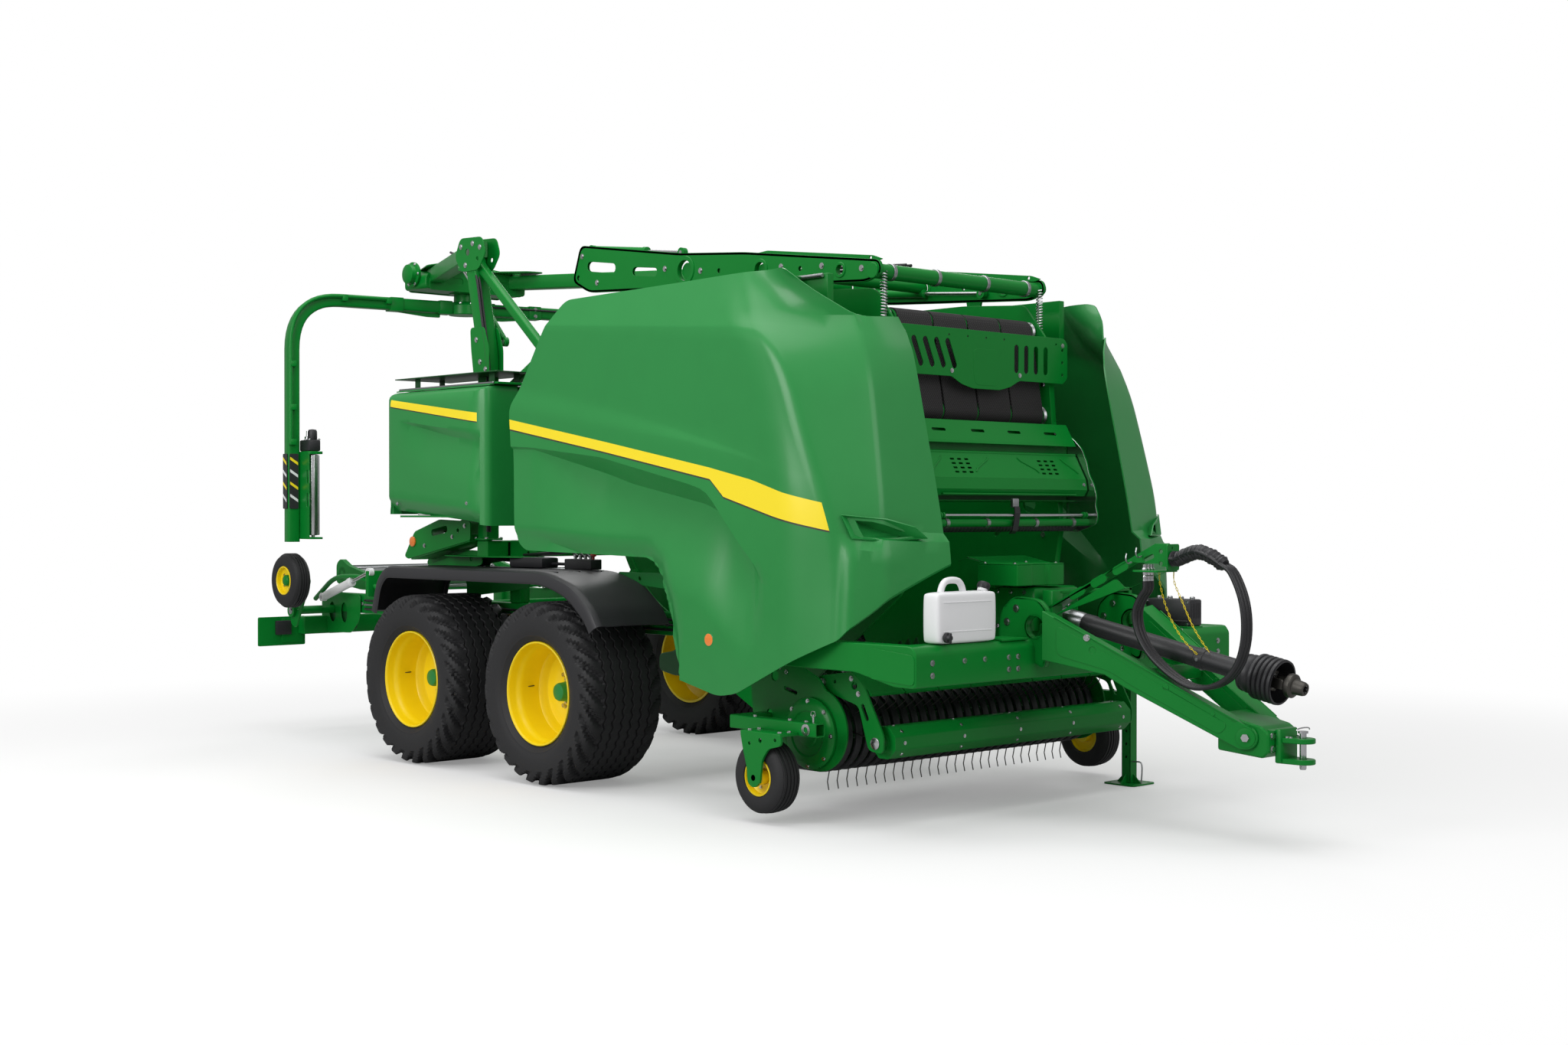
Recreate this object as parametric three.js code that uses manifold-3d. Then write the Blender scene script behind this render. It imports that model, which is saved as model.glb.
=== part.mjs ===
// Round baler with a film wrapper behind it, on a tandem axle and towed by a low drawbar.
// Millimetres, +Z up, +X towards the tractor, +Y to the machine's left. While it is built, X is
// measured from the front tandem axle; at the end the machine is moved so that the origin lies
// under the middle of its length.
import * as THREE from 'three';
import { mergeVertices } from 'three/addons/utils/BufferGeometryUtils.js';
import Module from 'manifold-3d';

const wasm = await Module();
wasm.setup();

// ---- driving dimensions -------------------------------------------------------------------
const seat = 0.3;                 // gap kept between pieces that touch
const hitchTipX = 4205;           // front of the drawbar eye
const rearEndX = -3490;           // back of the rear light boards
const tyreRadius = 530;
const tyreWidth = 560;
const trackHalf = 1140;           // centre of a tyre from the machine's middle
const tandemSpacing = 1338;
const rimRadius = 301.5;
const chamberHalf = 605;          // half of the bale chamber's inside width
const chamberPlate = 18;
const shieldHalf = 1420;          // outside face of the side shields
const shieldWall = 24;
const railHalf = 720;             // inside face of a chassis rail
const railWidth = 80;
const railBottom = 860;
const railHeight = 140;
const railFrontX = 1470;
const pickupHalf = 1000;          // half of the pickup's working width
const reelRadius = 305;           // tine tips
const bandRadius = 205;           // outside of the stripper bands
const gaugeRadius = 188;
const wrapX = -2800;              // turning centre of the wrap arms
const wrapReach = 1314;           // turning centre to the middle of a vertical arm
const wrapBeamZ = 3060;
const wrapParkAngle = -8.3;       // degrees about Z from straight across
const tableRollerRadius = 105;
const ptoRadius = 27;
const guardBore = 36;
const guardRadius = 49;
const hoseRadius = 12.5;
const wheelSides = 24;

const axleX = [0, -tandemSpacing];
const wheelNames = ['front', 'rear'];

// ---- colours ------------------------------------------------------------------------------
const paint = (color, roughness, metalness) =>
  new THREE.MeshStandardMaterial({ color, roughness, metalness });
const green = paint(0x1f7a35, 0.35, 0.1);
const darkGreen = paint(0x145a28, 0.45, 0.1);
const yellow = paint(0xf7d800, 0.4, 0.1);
const rubber = paint(0x1c1c1e, 0.85, 0);
const plastic = paint(0x2b2b2e, 0.55, 0);
const steel = paint(0x9a9da0, 0.35, 0.8);
const whitePlastic = paint(0xe9e9ea, 0.4, 0);

// ---- solids: closed three.js geometries, joined and cut ------------------------------------
const toSolid = (geometry) => {
  const bare = geometry.index ? geometry.toNonIndexed() : geometry.clone();
  for (const name of ['normal', 'uv']) bare.deleteAttribute(name);
  const merged = mergeVertices(bare, 1e-3);
  return new wasm.Manifold(new wasm.Mesh({
    numProp: 3,
    vertProperties: new Float32Array(merged.attributes.position.array),
    triVerts: new Uint32Array(merged.index.array),
  }));
};

const toGeometry = (solid) => {
  const mesh = solid.getMesh();
  const geometry = new THREE.BufferGeometry();
  geometry.setAttribute('position', new THREE.BufferAttribute(new Float32Array(mesh.vertProperties), 3));
  geometry.setIndex(new THREE.BufferAttribute(new Uint32Array(mesh.triVerts), 1));
  return geometry;
};

const join = (...solids) => solids.reduce((sum, next) => sum.add(next));
const cut = (solid, ...tools) => tools.reduce((rest, tool) => rest.subtract(tool), solid);

// the same solid on the machine's other side
const mirrored = (solid) => {
  const mesh = solid.getMesh();
  const vertProperties = new Float32Array(mesh.vertProperties);
  for (let i = 1; i < vertProperties.length; i += 3) vertProperties[i] *= -1;
  const triVerts = new Uint32Array(mesh.triVerts);
  for (let i = 0; i < triVerts.length; i += 3) {
    [triVerts[i], triVerts[i + 1]] = [triVerts[i + 1], triVerts[i]];
  }
  return new wasm.Manifold(new wasm.Mesh({ numProp: 3, vertProperties, triVerts }));
};

const box = (x0, x1, y0, y1, z0, z1) => {
  const geometry = new THREE.BoxGeometry(x1 - x0, y1 - y0, z1 - z0);
  geometry.translate((x0 + x1) / 2, (y0 + y1) / 2, (z0 + z1) / 2);
  return toSolid(geometry);
};

const shapeOf = (points) => new THREE.Shape(points.map(([u, v]) => new THREE.Vector2(u, v)));

// an outline of [x, z] points, given thickness across the machine from y0 to y1
const plateXZ = (outline, y0, y1, holes = []) => {
  const shape = outline instanceof THREE.Shape ? outline : shapeOf(outline);
  const geometry = new THREE.ExtrudeGeometry(shape, { depth: y1 - y0, bevelEnabled: false,
    curveSegments: 6 });
  geometry.rotateX(Math.PI / 2);
  geometry.translate(0, y1, 0);
  const drills = holes.map(([x, z, radius]) => rod([x, y0 - 1, z], [x, y1 + 1, z], radius, 12));
  return cut(toSolid(geometry), ...drills);
};

// an outline of [y, z] points, given thickness along the machine from x0 to x1
const plateYZ = (outline, x0, x1) => {
  const geometry = new THREE.ExtrudeGeometry(shapeOf(outline), { depth: x1 - x0, bevelEnabled: false });
  geometry.applyMatrix4(new THREE.Matrix4().makeBasis(
    new THREE.Vector3(0, 1, 0), new THREE.Vector3(0, 0, 1), new THREE.Vector3(1, 0, 0)));
  geometry.translate(x0, 0, 0);
  return toSolid(geometry);
};

// turns a geometry whose length is along Z so that it runs from point a towards point b
const alongLine = (geometry, a, b) => {
  const from = new THREE.Vector3(...a);
  const direction = new THREE.Vector3(...b).sub(from).normalize();
  const upright = Math.abs(direction.z) > 0.99 ? new THREE.Vector3(1, 0, 0) : new THREE.Vector3(0, 0, 1);
  const across = new THREE.Vector3().crossVectors(upright, direction).normalize();
  const up = new THREE.Vector3().crossVectors(direction, across);
  geometry.applyMatrix4(new THREE.Matrix4().makeBasis(across, up, direction).setPosition(from));
  return geometry;
};
// turns a solid by `angle` about the upright through the origin, then moves it to [x, y]
const swung = (solid, angle, [x, y]) => toSolid(toGeometry(solid).rotateZ(angle).translate(x, y, 0));
const distance = (a, b) => new THREE.Vector3(...a).distanceTo(new THREE.Vector3(...b));

// a rectangular tube from a to b, `width` across the machine and `height` up
const beam = (a, b, width, height) => {
  const length = distance(a, b);
  const geometry = new THREE.BoxGeometry(width, height, length);
  geometry.translate(0, 0, length / 2);
  return toSolid(alongLine(geometry, a, b));
};

// a solid of revolution: [radius, distance] points along the line from a towards b
const turned = (profile, a, b, sides = 24) => {
  const geometry = new THREE.LatheGeometry(profile.map(([r, s]) => new THREE.Vector2(r, s)), sides);
  geometry.rotateX(Math.PI / 2);
  return toSolid(alongLine(geometry, a, b));
};
const rod = (a, b, radius, sides = 16) => {
  const length = distance(a, b);
  return turned([[0, 0], [radius, 0], [radius, length], [0, length]], a, b, sides);
};

// a round tube on a smooth curve through the points
const tubeThrough = (points, radius, sides, steps) => {
  const curve = new THREE.CatmullRomCurve3(points.map((p) => new THREE.Vector3(...p)), false, 'centripetal');
  const section = new THREE.Shape(Array.from({ length: sides }, (_, i) => new THREE.Vector2(
    radius * Math.cos((2 * Math.PI * i) / sides), radius * Math.sin((2 * Math.PI * i) / sides))));
  return toSolid(new THREE.ExtrudeGeometry(section, { steps, extrudePath: curve, bevelEnabled: false }));
};

// a closed wall between plan outlines ([x, y] points, equally many) at rising heights
const loft = (levels) => {
  const count = levels[0].plan.length;
  const positions = levels.flatMap(({ z, plan }) => plan.flatMap(([x, y]) => [x, y, z]));
  const index = [];
  for (let level = 0; level + 1 < levels.length; level += 1) {
    for (let i = 0; i < count; i += 1) {
      const a = level * count + i;
      const b = level * count + ((i + 1) % count);
      index.push(a, b, b + count, a, b + count, a + count);
    }
  }
  for (const level of [0, levels.length - 1]) {
    const contour = levels[level].plan.map(([x, y]) => new THREE.Vector2(x, y));
    for (const [a, b, c] of THREE.ShapeUtils.triangulateShape(contour, [])) {
      const face = [a, b, c].map((i) => i + level * count);
      index.push(...(level === 0 ? face.reverse() : face));
    }
  }
  const geometry = new THREE.BufferGeometry();
  geometry.setAttribute('position', new THREE.BufferAttribute(new Float32Array(positions), 3));
  geometry.setIndex(index);
  return toSolid(geometry);
};

// ---- the machine --------------------------------------------------------------------------
const machine = new THREE.Group();
const wrapper = new THREE.Group();     // everything that turns with the wrap arms
const addTo = (group, name, solid, material, position = [0, 0, 0]) => {
  const mesh = new THREE.Mesh(toGeometry(solid), material);
  mesh.name = name;
  mesh.position.set(...position);
  group.add(mesh);
};
const add = (name, solid, material, position) => addTo(machine, name, solid, material, position);
// builds a left-hand solid once and adds it as a right and a left piece
const addPair = (name, solid, material, position = [0, 0, 0]) => {
  const [x, y, z] = position;
  add(`${name}_right`, mirrored(solid), material, [x, -y, z]);
  add(`${name}_left`, solid, material, [x, y, z]);
};

// ---- wheels and bogies --------------------------------------------------------------------
const wheelInner = trackHalf - tyreWidth / 2;
const shoulder = 36;

const tyre = () => {
  const bead = rimRadius + seat;
  const half = tyreWidth / 2;
  return turned([
    [bead, -half + 42], [tyreRadius - 128, -half + 4], [tyreRadius - 62, -half],
    [tyreRadius - 16, -half + shoulder * 0.7], [tyreRadius, -half + shoulder * 2],
    [tyreRadius, half - shoulder * 2], [tyreRadius - 16, half - shoulder * 0.7],
    [tyreRadius - 62, half], [tyreRadius - 128, half - 4], [bead, half - 42], [bead, -half + 42],
  ], [0, 0, 0], [0, 1, 0], wheelSides);
};

const hubRadius = 95;
const hubInner = 40;              // hub face inboard of the tyre's inner wall
const rim = () => {
  const half = tyreWidth / 2;
  const wall = 15;
  return turned([
    [0, -half + hubInner], [hubRadius, -half + hubInner], [hubRadius, -50], [rimRadius - 60, -50],
    [rimRadius - wall, -90], [rimRadius - wall, -half + 36], [rimRadius, -half + 36],
    [rimRadius, half - 34], [rimRadius - wall, half - 34], [rimRadius - wall, 0], [rimRadius - 60, -25],
    [hubRadius, -25], [hubRadius - 10, 96], [0, 104],
  ], [0, 0, 0], [0, 1, 0], wheelSides);
};

axleX.forEach((x, i) => {
  addPair(`tyre_${wheelNames[i]}`, tyre(), rubber, [x, trackHalf, tyreRadius]);
  addPair(`rim_${wheelNames[i]}`, rim(), yellow, [x, trackHalf, tyreRadius]);
});

const bogieX = -tandemSpacing / 2;
const bogieInner = railHalf - 15;
const bogieWidth = 100;
const bogie = () => {
  const y0 = bogieInner;
  const y1 = y0 + bogieWidth;
  const low = tyreRadius - 95;
  const top = tyreRadius + 90;
  const walkingBeam = plateXZ([
    [-tandemSpacing - 100, low + 30], [-tandemSpacing + 60, low], [-60, low], [100, low + 30],
    [100, top - 40], [bogieX + 200, top + 60], [bogieX - 200, top + 60], [-tandemSpacing - 100, top - 40],
  ], y0, y1);
  const bracket = box(bogieX - 110, bogieX + 110, y0, y1, top, railBottom - seat);
  const axles = axleX.map((x) => rod([x, y0 + 10, tyreRadius],
    [x, wheelInner + hubInner - seat, tyreRadius], 55));
  return join(walkingBeam, bracket, ...axles);
};
addPair('bogie', bogie(), darkGreen);

// ---- chassis --------------------------------------------------------------------------------
const railTop = railBottom + railHeight;
const crossBeamRearX = 2720;
const crossBeamFrontX = 2880;
const chassisRearX = rearEndX + 100;
const postX = -1050;              // foot of the wrapper's posts
const postHalf = 950;             // inside face of a post
const postSize = 100;
const outriggerBottom = 1290;
const outriggerTop = 1400;
const tailBarBottom = 700;
const tailBarTop = 830;
const frontMemberTop = railBottom + 80;   // the opening tailgate swings just above it
const tableHalf = 690;
const tablePivot = [-2780, 1030];

const chassis = () => {
  const trestle = join(
    box(tablePivot[0] - 60, tablePivot[0] + 60, railHalf + 5, railHalf + 45, railTop - 5, tablePivot[1] + 50),
    rod([tablePivot[0], railHalf + 6, tablePivot[1]], [tablePivot[0], tableHalf + seat, tablePivot[1]], 26),
  );
  const side = join(
    trestle,
    box(chassisRearX, railFrontX, railHalf, railHalf + railWidth, railBottom, railTop),
    box(postX - 60, postX + 60, railHalf, railHalf + railWidth, railTop - 5, outriggerTop),
    box(chassisRearX - 60, chassisRearX + 60, railHalf - 30, railHalf + 90, tailBarBottom, railTop),
  );
  const members = [
    box(postX - 60, postX + 60, -postHalf - postSize, postHalf + postSize, outriggerBottom, outriggerTop),
    box(-120, -20, -railHalf - 5, railHalf + 5, railBottom, frontMemberTop),
    box(-2050, -1950, -railHalf - 5, railHalf + 5, railBottom, railTop - 30),
    box(chassisRearX - 60, chassisRearX + 40, -1000, 1000, tailBarBottom, tailBarTop),
  ];
  const boardHalf = 1300;
  const boards = plateYZ([[-boardHalf, 620], [boardHalf, 620], [boardHalf, 830], [-boardHalf, 830]],
    rearEndX, rearEndX + 30);
  const boardGap = box(rearEndX - 10, rearEndX + 40, -930, 930, 600, 850);
  const boardStays = [-1, 1].map((s) => box(rearEndX + 20, chassisRearX - 50, Math.min(s * 935, s * 990),
    Math.max(s * 935, s * 990), tailBarBottom, tailBarTop - 10));
  return join(side, mirrored(side), ...members, cut(boards, boardGap), ...boardStays);
};
add('chassis_frame', chassis(), green);

// ---- front cross beam, drawbar and hitch ------------------------------------------------------
const beamHalf = 1300;
const beamBottom = 745;
const beamTop = 940;
const armInner = 1200;            // inside face of the cross beam's side arms
const armRearX = 1290;
const pivotY = 400;
const pivotX = 2810;
const earWidth = 40;

const crossBeam = () => {
  const across = box(crossBeamRearX, crossBeamFrontX, -beamHalf, beamHalf, beamBottom, beamTop);
  const arm = plateXZ([
    [armRearX, 800], [2480, 800], [crossBeamRearX + 20, beamBottom], [crossBeamFrontX, beamBottom],
    [crossBeamFrontX, beamTop], [armRearX, beamTop],
  ], armInner, beamHalf);
  const link = box(armRearX, armRearX + 90, railHalf + railWidth + seat, armInner + 5, 870, beamTop);
  const ear = plateXZ([
    [2640, beamTop - 10], [crossBeamFrontX + 60, beamTop - 160], [2960, 900], [2960, 1080],
    [2900, 1140], [2740, 1150], [2660, 1080],
  ], pivotY - earWidth / 2, pivotY + earWidth / 2, [[pivotX + 70, 1000, 55]]);
  return join(across, arm, mirrored(arm), link, mirrored(link), ear, mirrored(ear));
};
add('cross_beam', crossBeam(), green);

const drawbarStart = [2960 + seat, pivotY + 13];
const drawbarTip = [3900, 120];
const drawbarWidth = 96;
const bossRadius = 57;
const drawbar = () => {
  const reach = Math.hypot(drawbarTip[0] - drawbarStart[0], drawbarTip[1] - drawbarStart[1]);
  const inward = Math.atan2(drawbarTip[1] - drawbarStart[1], drawbarTip[0] - drawbarStart[0]);
  // seen square on, from the ear: deep at the back, then an even height down to a round boss
  const outline = new THREE.Shape();
  outline.moveTo(-60, 1110);
  outline.lineTo(reach + 50, 558);
  outline.absarc(reach + 24, 514, bossRadius, Math.PI / 3, -Math.PI / 2, true);
  outline.lineTo(reach - 10, 458);
  outline.lineTo(414, 723);
  outline.lineTo(309, 782);
  outline.lineTo(-60, 850);
  const straight = plateXZ(outline, -drawbarWidth / 2, drawbarWidth / 2);
  const arm = cut(swung(straight, inward, drawbarStart), box(0, drawbarStart[0], 0, beamHalf, 0, 2000));
  const head = plateXZ([
    [3760, 440], [4010, 420], [4040, 450], [4040, 540], [4000, 570], [3760, 620],
  ], -130, 130);
  const tie = box(3380, 3440, -255, 255, 740, 820);
  return join(arm, mirrored(arm), head, tie);
};
add('drawbar', drawbar(), green);

const eyeRadius = 58;
const eyeX = hitchTipX - eyeRadius;
const clevis = () => {
  const rear = 4040 + seat;
  const ear = (z0, z1) => {
    const plan = new THREE.Shape();
    plan.moveTo(rear, -65);
    plan.lineTo(eyeX, -eyeRadius);
    plan.absarc(eyeX, 0, eyeRadius, -Math.PI / 2, Math.PI / 2, false);
    plan.lineTo(rear, 65);
    const geometry = new THREE.ExtrudeGeometry(plan,
      { depth: z1 - z0, bevelEnabled: false, curveSegments: 6 });
    geometry.translate(0, 0, z0);
    return toSolid(geometry);
  };
  const back = box(rear, rear + 34, -75, 75, 396, 560);
  const pin = rod([eyeX, 0, 370], [eyeX, 0, 560], 16);
  const knob = box(eyeX - 14, eyeX + 14, -60, 60, 548, 566);
  return join(back, ear(396, 420), ear(494, 518), pin, knob);
};
add('hitch_clevis', clevis(), green);

// ---- parking jack on the left arm -------------------------------------------------------------
const jackX = 2290;
const footHalf = 110;
const legSize = 62;
const sleeveWall = 8;
const jackGap = 0.8;
const jackY = armInner - seat - legSize / 2 - sleeveWall - jackGap;
add('jack_leg', join(
  box(jackX - footHalf, jackX + footHalf, jackY - footHalf, jackY + footHalf, 0, 14),
  box(jackX - legSize / 2, jackX + legSize / 2, jackY - legSize / 2, jackY + legSize / 2, 10, 960),
), green);
const sleeveHalf = legSize / 2 + jackGap + sleeveWall;
add('jack_sleeve', cut(
  box(jackX - sleeveHalf, jackX + sleeveHalf, jackY - sleeveHalf, armInner - seat, 700, 960),
  box(jackX - legSize / 2 - jackGap, jackX + legSize / 2 + jackGap,
    jackY - legSize / 2 - jackGap, jackY + legSize / 2 + jackGap, 600, 1100),
), green);

// ---- pickup -----------------------------------------------------------------------------------
const reelX = 1940;
const reelZ = 440;
const pickupPivot = [1500, 860];
const endPlateInner = pickupHalf + 50;
const endPlateOuter = endPlateInner + 15;
const caseOuter = endPlateOuter + 35;
const bandPlateX = 1600;          // back plate that carries the bands
const bandWall = 14;
const bandCount = 9;
const gaugeX = 1880;
const gaugeZ = 238;
const gaugeInner = 1245;
const gaugeWidth = 150;
const forkY = gaugeInner + gaugeWidth + 8;

const pickupFrame = () => {
  const plate = new THREE.Shape();
  plate.moveTo(pickupPivot[0] - 50, pickupPivot[1] + 45);
  plate.lineTo(pickupPivot[0] + 50, pickupPivot[1] + 45);
  plate.lineTo(2000, 720);
  plate.absarc(reelX + 40, reelZ + 20, 215, Math.PI * 0.42, -Math.PI * 0.62, true);
  plate.lineTo(1620, 320);
  plate.lineTo(1500, 420);
  const endPlate = plateXZ(plate, endPlateInner, endPlateOuter);
  const camCase = turned([[0, 0], [185, 0], [185, 22], [150, 35], [0, 35]],
    [reelX, endPlateOuter - 1, reelZ], [reelX, caseOuter + 10, reelZ], 18);
  const pin = rod([pickupPivot[0], endPlateInner + 5, pickupPivot[1]],
    [pickupPivot[0], armInner - seat, pickupPivot[1]], 22);
  const tubeX = bandPlateX - bandWall - seat - 38;
  const crossTube = rod([tubeX, -endPlateInner - 5, 460], [tubeX, endPlateInner + 5, 460], 38);
  const gaugeBar = box(1560, 2200, 1225, 1290, 455, 525);
  const gaugeStay = box(1560, 1640, endPlateOuter - 5, 1230, 455, 525);
  const fork = plateXZ([
    [1780, 455], [2080, 455], [2080, 400], [1990, 390], [1940, 330], [gaugeX + 45, gaugeZ - 25],
    [gaugeX - 35, gaugeZ - 40], [gaugeX - 50, gaugeZ + 30], [1800, 380],
  ], forkY, forkY + 16);
  const forkTop = box(1780, 2080, 1280, forkY + 16, 455, 475);
  const gaugeAxle = rod([gaugeX, gaugeInner + gaugeWidth + seat, gaugeZ], [gaugeX, forkY + 10, gaugeZ], 18);
  const side = join(endPlate, camCase, pin, gaugeBar, gaugeStay, fork, forkTop, gaugeAxle);
  return join(side, mirrored(side), crossTube);
};
add('pickup_frame', pickupFrame(), green);

const pickupBands = () => {
  const inner = bandRadius - bandWall;
  const outline = new THREE.Shape();
  outline.moveTo(bandPlateX - bandWall, reelZ + bandRadius);
  outline.lineTo(bandPlateX - bandWall, reelZ + inner);
  outline.lineTo(reelX, reelZ + inner);
  outline.absarc(reelX, reelZ, inner, Math.PI / 2, -Math.PI / 2, true);
  outline.lineTo(bandPlateX - bandWall, reelZ - inner);
  outline.lineTo(bandPlateX - bandWall, reelZ - bandRadius);
  outline.lineTo(reelX, reelZ - bandRadius);
  outline.absarc(reelX, reelZ, bandRadius, -Math.PI / 2, Math.PI / 2, false);
  const bandWidth = 60;
  const pitch = (2 * pickupHalf - bandWidth) / (bandCount - 1);
  const bands = Array.from({ length: bandCount }, (_, i) => {
    const y = -pickupHalf + i * pitch;
    return plateXZ(outline.clone(), y, y + bandWidth);
  });
  const back = box(bandPlateX - bandWall, bandPlateX, -pickupHalf, pickupHalf,
    reelZ - bandRadius, reelZ + bandRadius);
  return join(back, ...bands);
};
add('pickup_bands', pickupBands(), darkGreen);

const pickupReel = () => {
  const bars = 4;
  const bandWidth = 60;
  const pitch = (2 * pickupHalf - bandWidth) / (bandCount - 1);
  const pieces = [rod([reelX, -endPlateInner + seat, reelZ], [reelX, endPlateInner - seat, reelZ], 50)];
  for (let bar = 0; bar < bars; bar += 1) {
    const angle = (2 * Math.PI * (bar + 0.5)) / bars;
    for (let gap = 0; gap + 1 < bandCount; gap += 1) {
      const y = -pickupHalf + bandWidth + gap * pitch + (pitch - bandWidth) / 2;
      const tip = [reelX + reelRadius * Math.cos(angle), y, reelZ + reelRadius * Math.sin(angle)];
      pieces.push(beam([reelX, y, reelZ], tip, 14, 14));
    }
  }
  return join(...pieces);
};
add('pickup_reel', pickupReel(), steel);

const rollerX = 2360;
const rollerZ = 420;
const rollerRadius = 88;
const guardPivot = [1990, 705];
const windGuard = () => {
  const y0 = pickupHalf + 15;
  const y1 = y0 + 16;
  const arm = plateXZ([
    [guardPivot[0] - 40, guardPivot[1] + 30], [2200, 770], [2280, 700], [rollerX + 55, rollerZ + 40],
    [rollerX + 50, rollerZ - 50], [rollerX - 50, rollerZ - 40], [2240, 600],
    [guardPivot[0] - 30, guardPivot[1] - 35],
  ], y0, y1);
  const pin = rod([guardPivot[0], y1 - 4, guardPivot[1]],
    [guardPivot[0], endPlateInner - seat, guardPivot[1]], 18);
  const hood = plateXZ([
    [2060, 800], [2150, 800], [2320, 660], [2312, 648], [2150, 782], [2060, 782],
  ], -y0 - 4, y0 + 4);
  const frontBar = box(2160, 2210, -y0 - 4, y0 + 4, 700, 750);
  return join(arm, mirrored(arm), pin, mirrored(pin), hood, frontBar);
};
add('wind_guard', windGuard(), green);

add('wind_guard_roller', join(
  rod([rollerX, -pickupHalf + 20, rollerZ], [rollerX, pickupHalf - 20, rollerZ], rollerRadius, 8),
  rod([rollerX, -pickupHalf - 15 + seat, rollerZ], [rollerX, pickupHalf + 15 - seat, rollerZ], 20),
), green);

const gaugeWheel = () => turned([
  [0, 0], [38, 0], [38, 45], [88, 45], [95, 8], [gaugeRadius - 50, 0], [gaugeRadius - 12, 14],
  [gaugeRadius, 40],
  [gaugeRadius, gaugeWidth - 40], [gaugeRadius - 12, gaugeWidth - 14], [gaugeRadius - 50, gaugeWidth],
  [95, gaugeWidth - 8], [88, gaugeWidth - 45], [38, gaugeWidth - 45], [38, gaugeWidth], [0, gaugeWidth],
], [0, 0, 0], [0, 1, 0], 18);
addPair('gauge_wheel', gaugeWheel(), rubber, [gaugeX, gaugeInner, gaugeZ]);

const rotorX = 1150;
const rotorZ = 620;
const feedRotor = () => {
  const half = chamberHalf - 20;
  const core = rod([rotorX, -chamberHalf + seat, rotorZ], [rotorX, chamberHalf - seat, rotorZ], 55);
  const stars = 5;
  const star = Array.from({ length: 8 }, (_, i) => {
    const angle = (2 * Math.PI * i) / 8;
    const radius = i % 2 ? 110 : 215;
    return [rotorX + radius * Math.cos(angle), rotorZ + radius * Math.sin(angle)];
  });
  return join(core, ...Array.from({ length: stars }, (_, i) => {
    const y = -half + (i * (2 * half - 12)) / (stars - 1);
    return plateXZ(star, y, y + 12);
  }));
};
add('feed_rotor', feedRotor(), darkGreen);

// ---- bale chamber -----------------------------------------------------------------------------
const hingeX = 620;
const hingeZ = 2700;
const bindingRearX = 2226;
const plateOuter = chamberHalf + chamberPlate;
// each side carries its shield on a long hinge bar
const shieldHingeY = 985;
const shieldHingeZ = 2800;
const shieldPinRadius = 12;
const hingeBarX = [620, 1960];
const hingeBar = () => join(
  box(900, 960, plateOuter - 4, shieldHingeY - 20, 2560, 2600),
  box(1800, 1860, plateOuter - 4, shieldHingeY - 20, 2560, 2600),
  box(...hingeBarX, shieldHingeY - 60, shieldHingeY - shieldPinRadius - seat, 2560, 2812),
);
const chamberSide = () => join(
  plateXZ([
    [hingeX + 20, 880], [820, 560], [1180, 380], [1400, 560], [1560, 700], [2160, 1150], [2220, 1500],
    [2160, 2100], [2120, 2560], [1960, 2760], [1500, 2790], [hingeX + 80, 2790], [hingeX + 55, 2640],
    [hingeX + 20, 2600],
  ], chamberHalf, plateOuter),
  box(hingeX + 60, railFrontX, plateOuter - 4, railHalf - seat, railBottom + 10, railTop - 10),
  box(1500, 1560, plateOuter - 4, plateOuter + 60, railTop, 2700),
  box(hingeX + 60, bindingRearX - seat, plateOuter - 4, plateOuter + 60, 1690, 1750),
  box(hingeX + 44, hingeX + 80, plateOuter - 4, plateOuter + 60, 2640, 2790),
  box(hingeX - 60, hingeX + 80, plateOuter + 30 + seat, plateOuter + 60, 2640, 2790),
  hingeBar(),
);
addPair('chamber_side', chamberSide(), green);

const tailgate = () => {
  const skin = 30;
  const outer = new THREE.Shape();
  const centre = [hingeX, 1730];
  const radius = 880;
  outer.moveTo(hingeX, hingeZ + 40);
  outer.lineTo(hingeX - 60, hingeZ + 30);
  outer.absarc(centre[0], centre[1], radius, Math.PI * 0.56, Math.PI * 1.5, false);
  outer.lineTo(hingeX, 1730 - radius);
  const cavity = new THREE.Shape();
  cavity.moveTo(hingeX + 50, 1730 + radius - skin);
  cavity.lineTo(hingeX, 1730 + radius - skin);
  cavity.absarc(centre[0], centre[1], radius - skin, Math.PI / 2, Math.PI * 1.5, false);
  cavity.lineTo(hingeX + 50, 1730 - radius + skin);
  const inside = chamberHalf;
  const body = plateXZ(outer, -plateOuter, plateOuter);
  const hinge = rod([hingeX, -plateOuter - 30, hingeZ + 20], [hingeX, plateOuter + 30, hingeZ + 20], 34);
  const rollers = [0, 1, 2].map((i) => {
    const angle = Math.PI * (0.78 + 0.22 * i);
    const [x, z] = [centre[0] + (radius - 14) * Math.cos(angle), centre[1] + (radius - 14) * Math.sin(angle)];
    return rod([x, -plateOuter - 20, z], [x, plateOuter + 20, z], 48, 12);
  });
  return join(cut(body, plateXZ(cavity, -inside, inside)), hinge, ...rollers);
};
add('tailgate', tailgate(), green);

const beltLoop = () => {
  const upper = [2000, 2600];
  const lower = [2085, 2120];
  const half = chamberHalf - 40;
  const r = 62;
  const roller = ([x, z]) => rod([x, -half, z], [x, half, z], r, 16);
  const shaft = ([x, z]) => rod([x, -chamberHalf + seat, z], [x, chamberHalf - seat, z], 24);
  const slab = beam([upper[0], 0, upper[1]], [lower[0], 0, lower[1]], 2 * half, 2 * r - 1);
  return join(slab, roller(upper), roller(lower), shaft(upper), shaft(lower));
};
add('belt_loop', beltLoop(), plastic);

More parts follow.
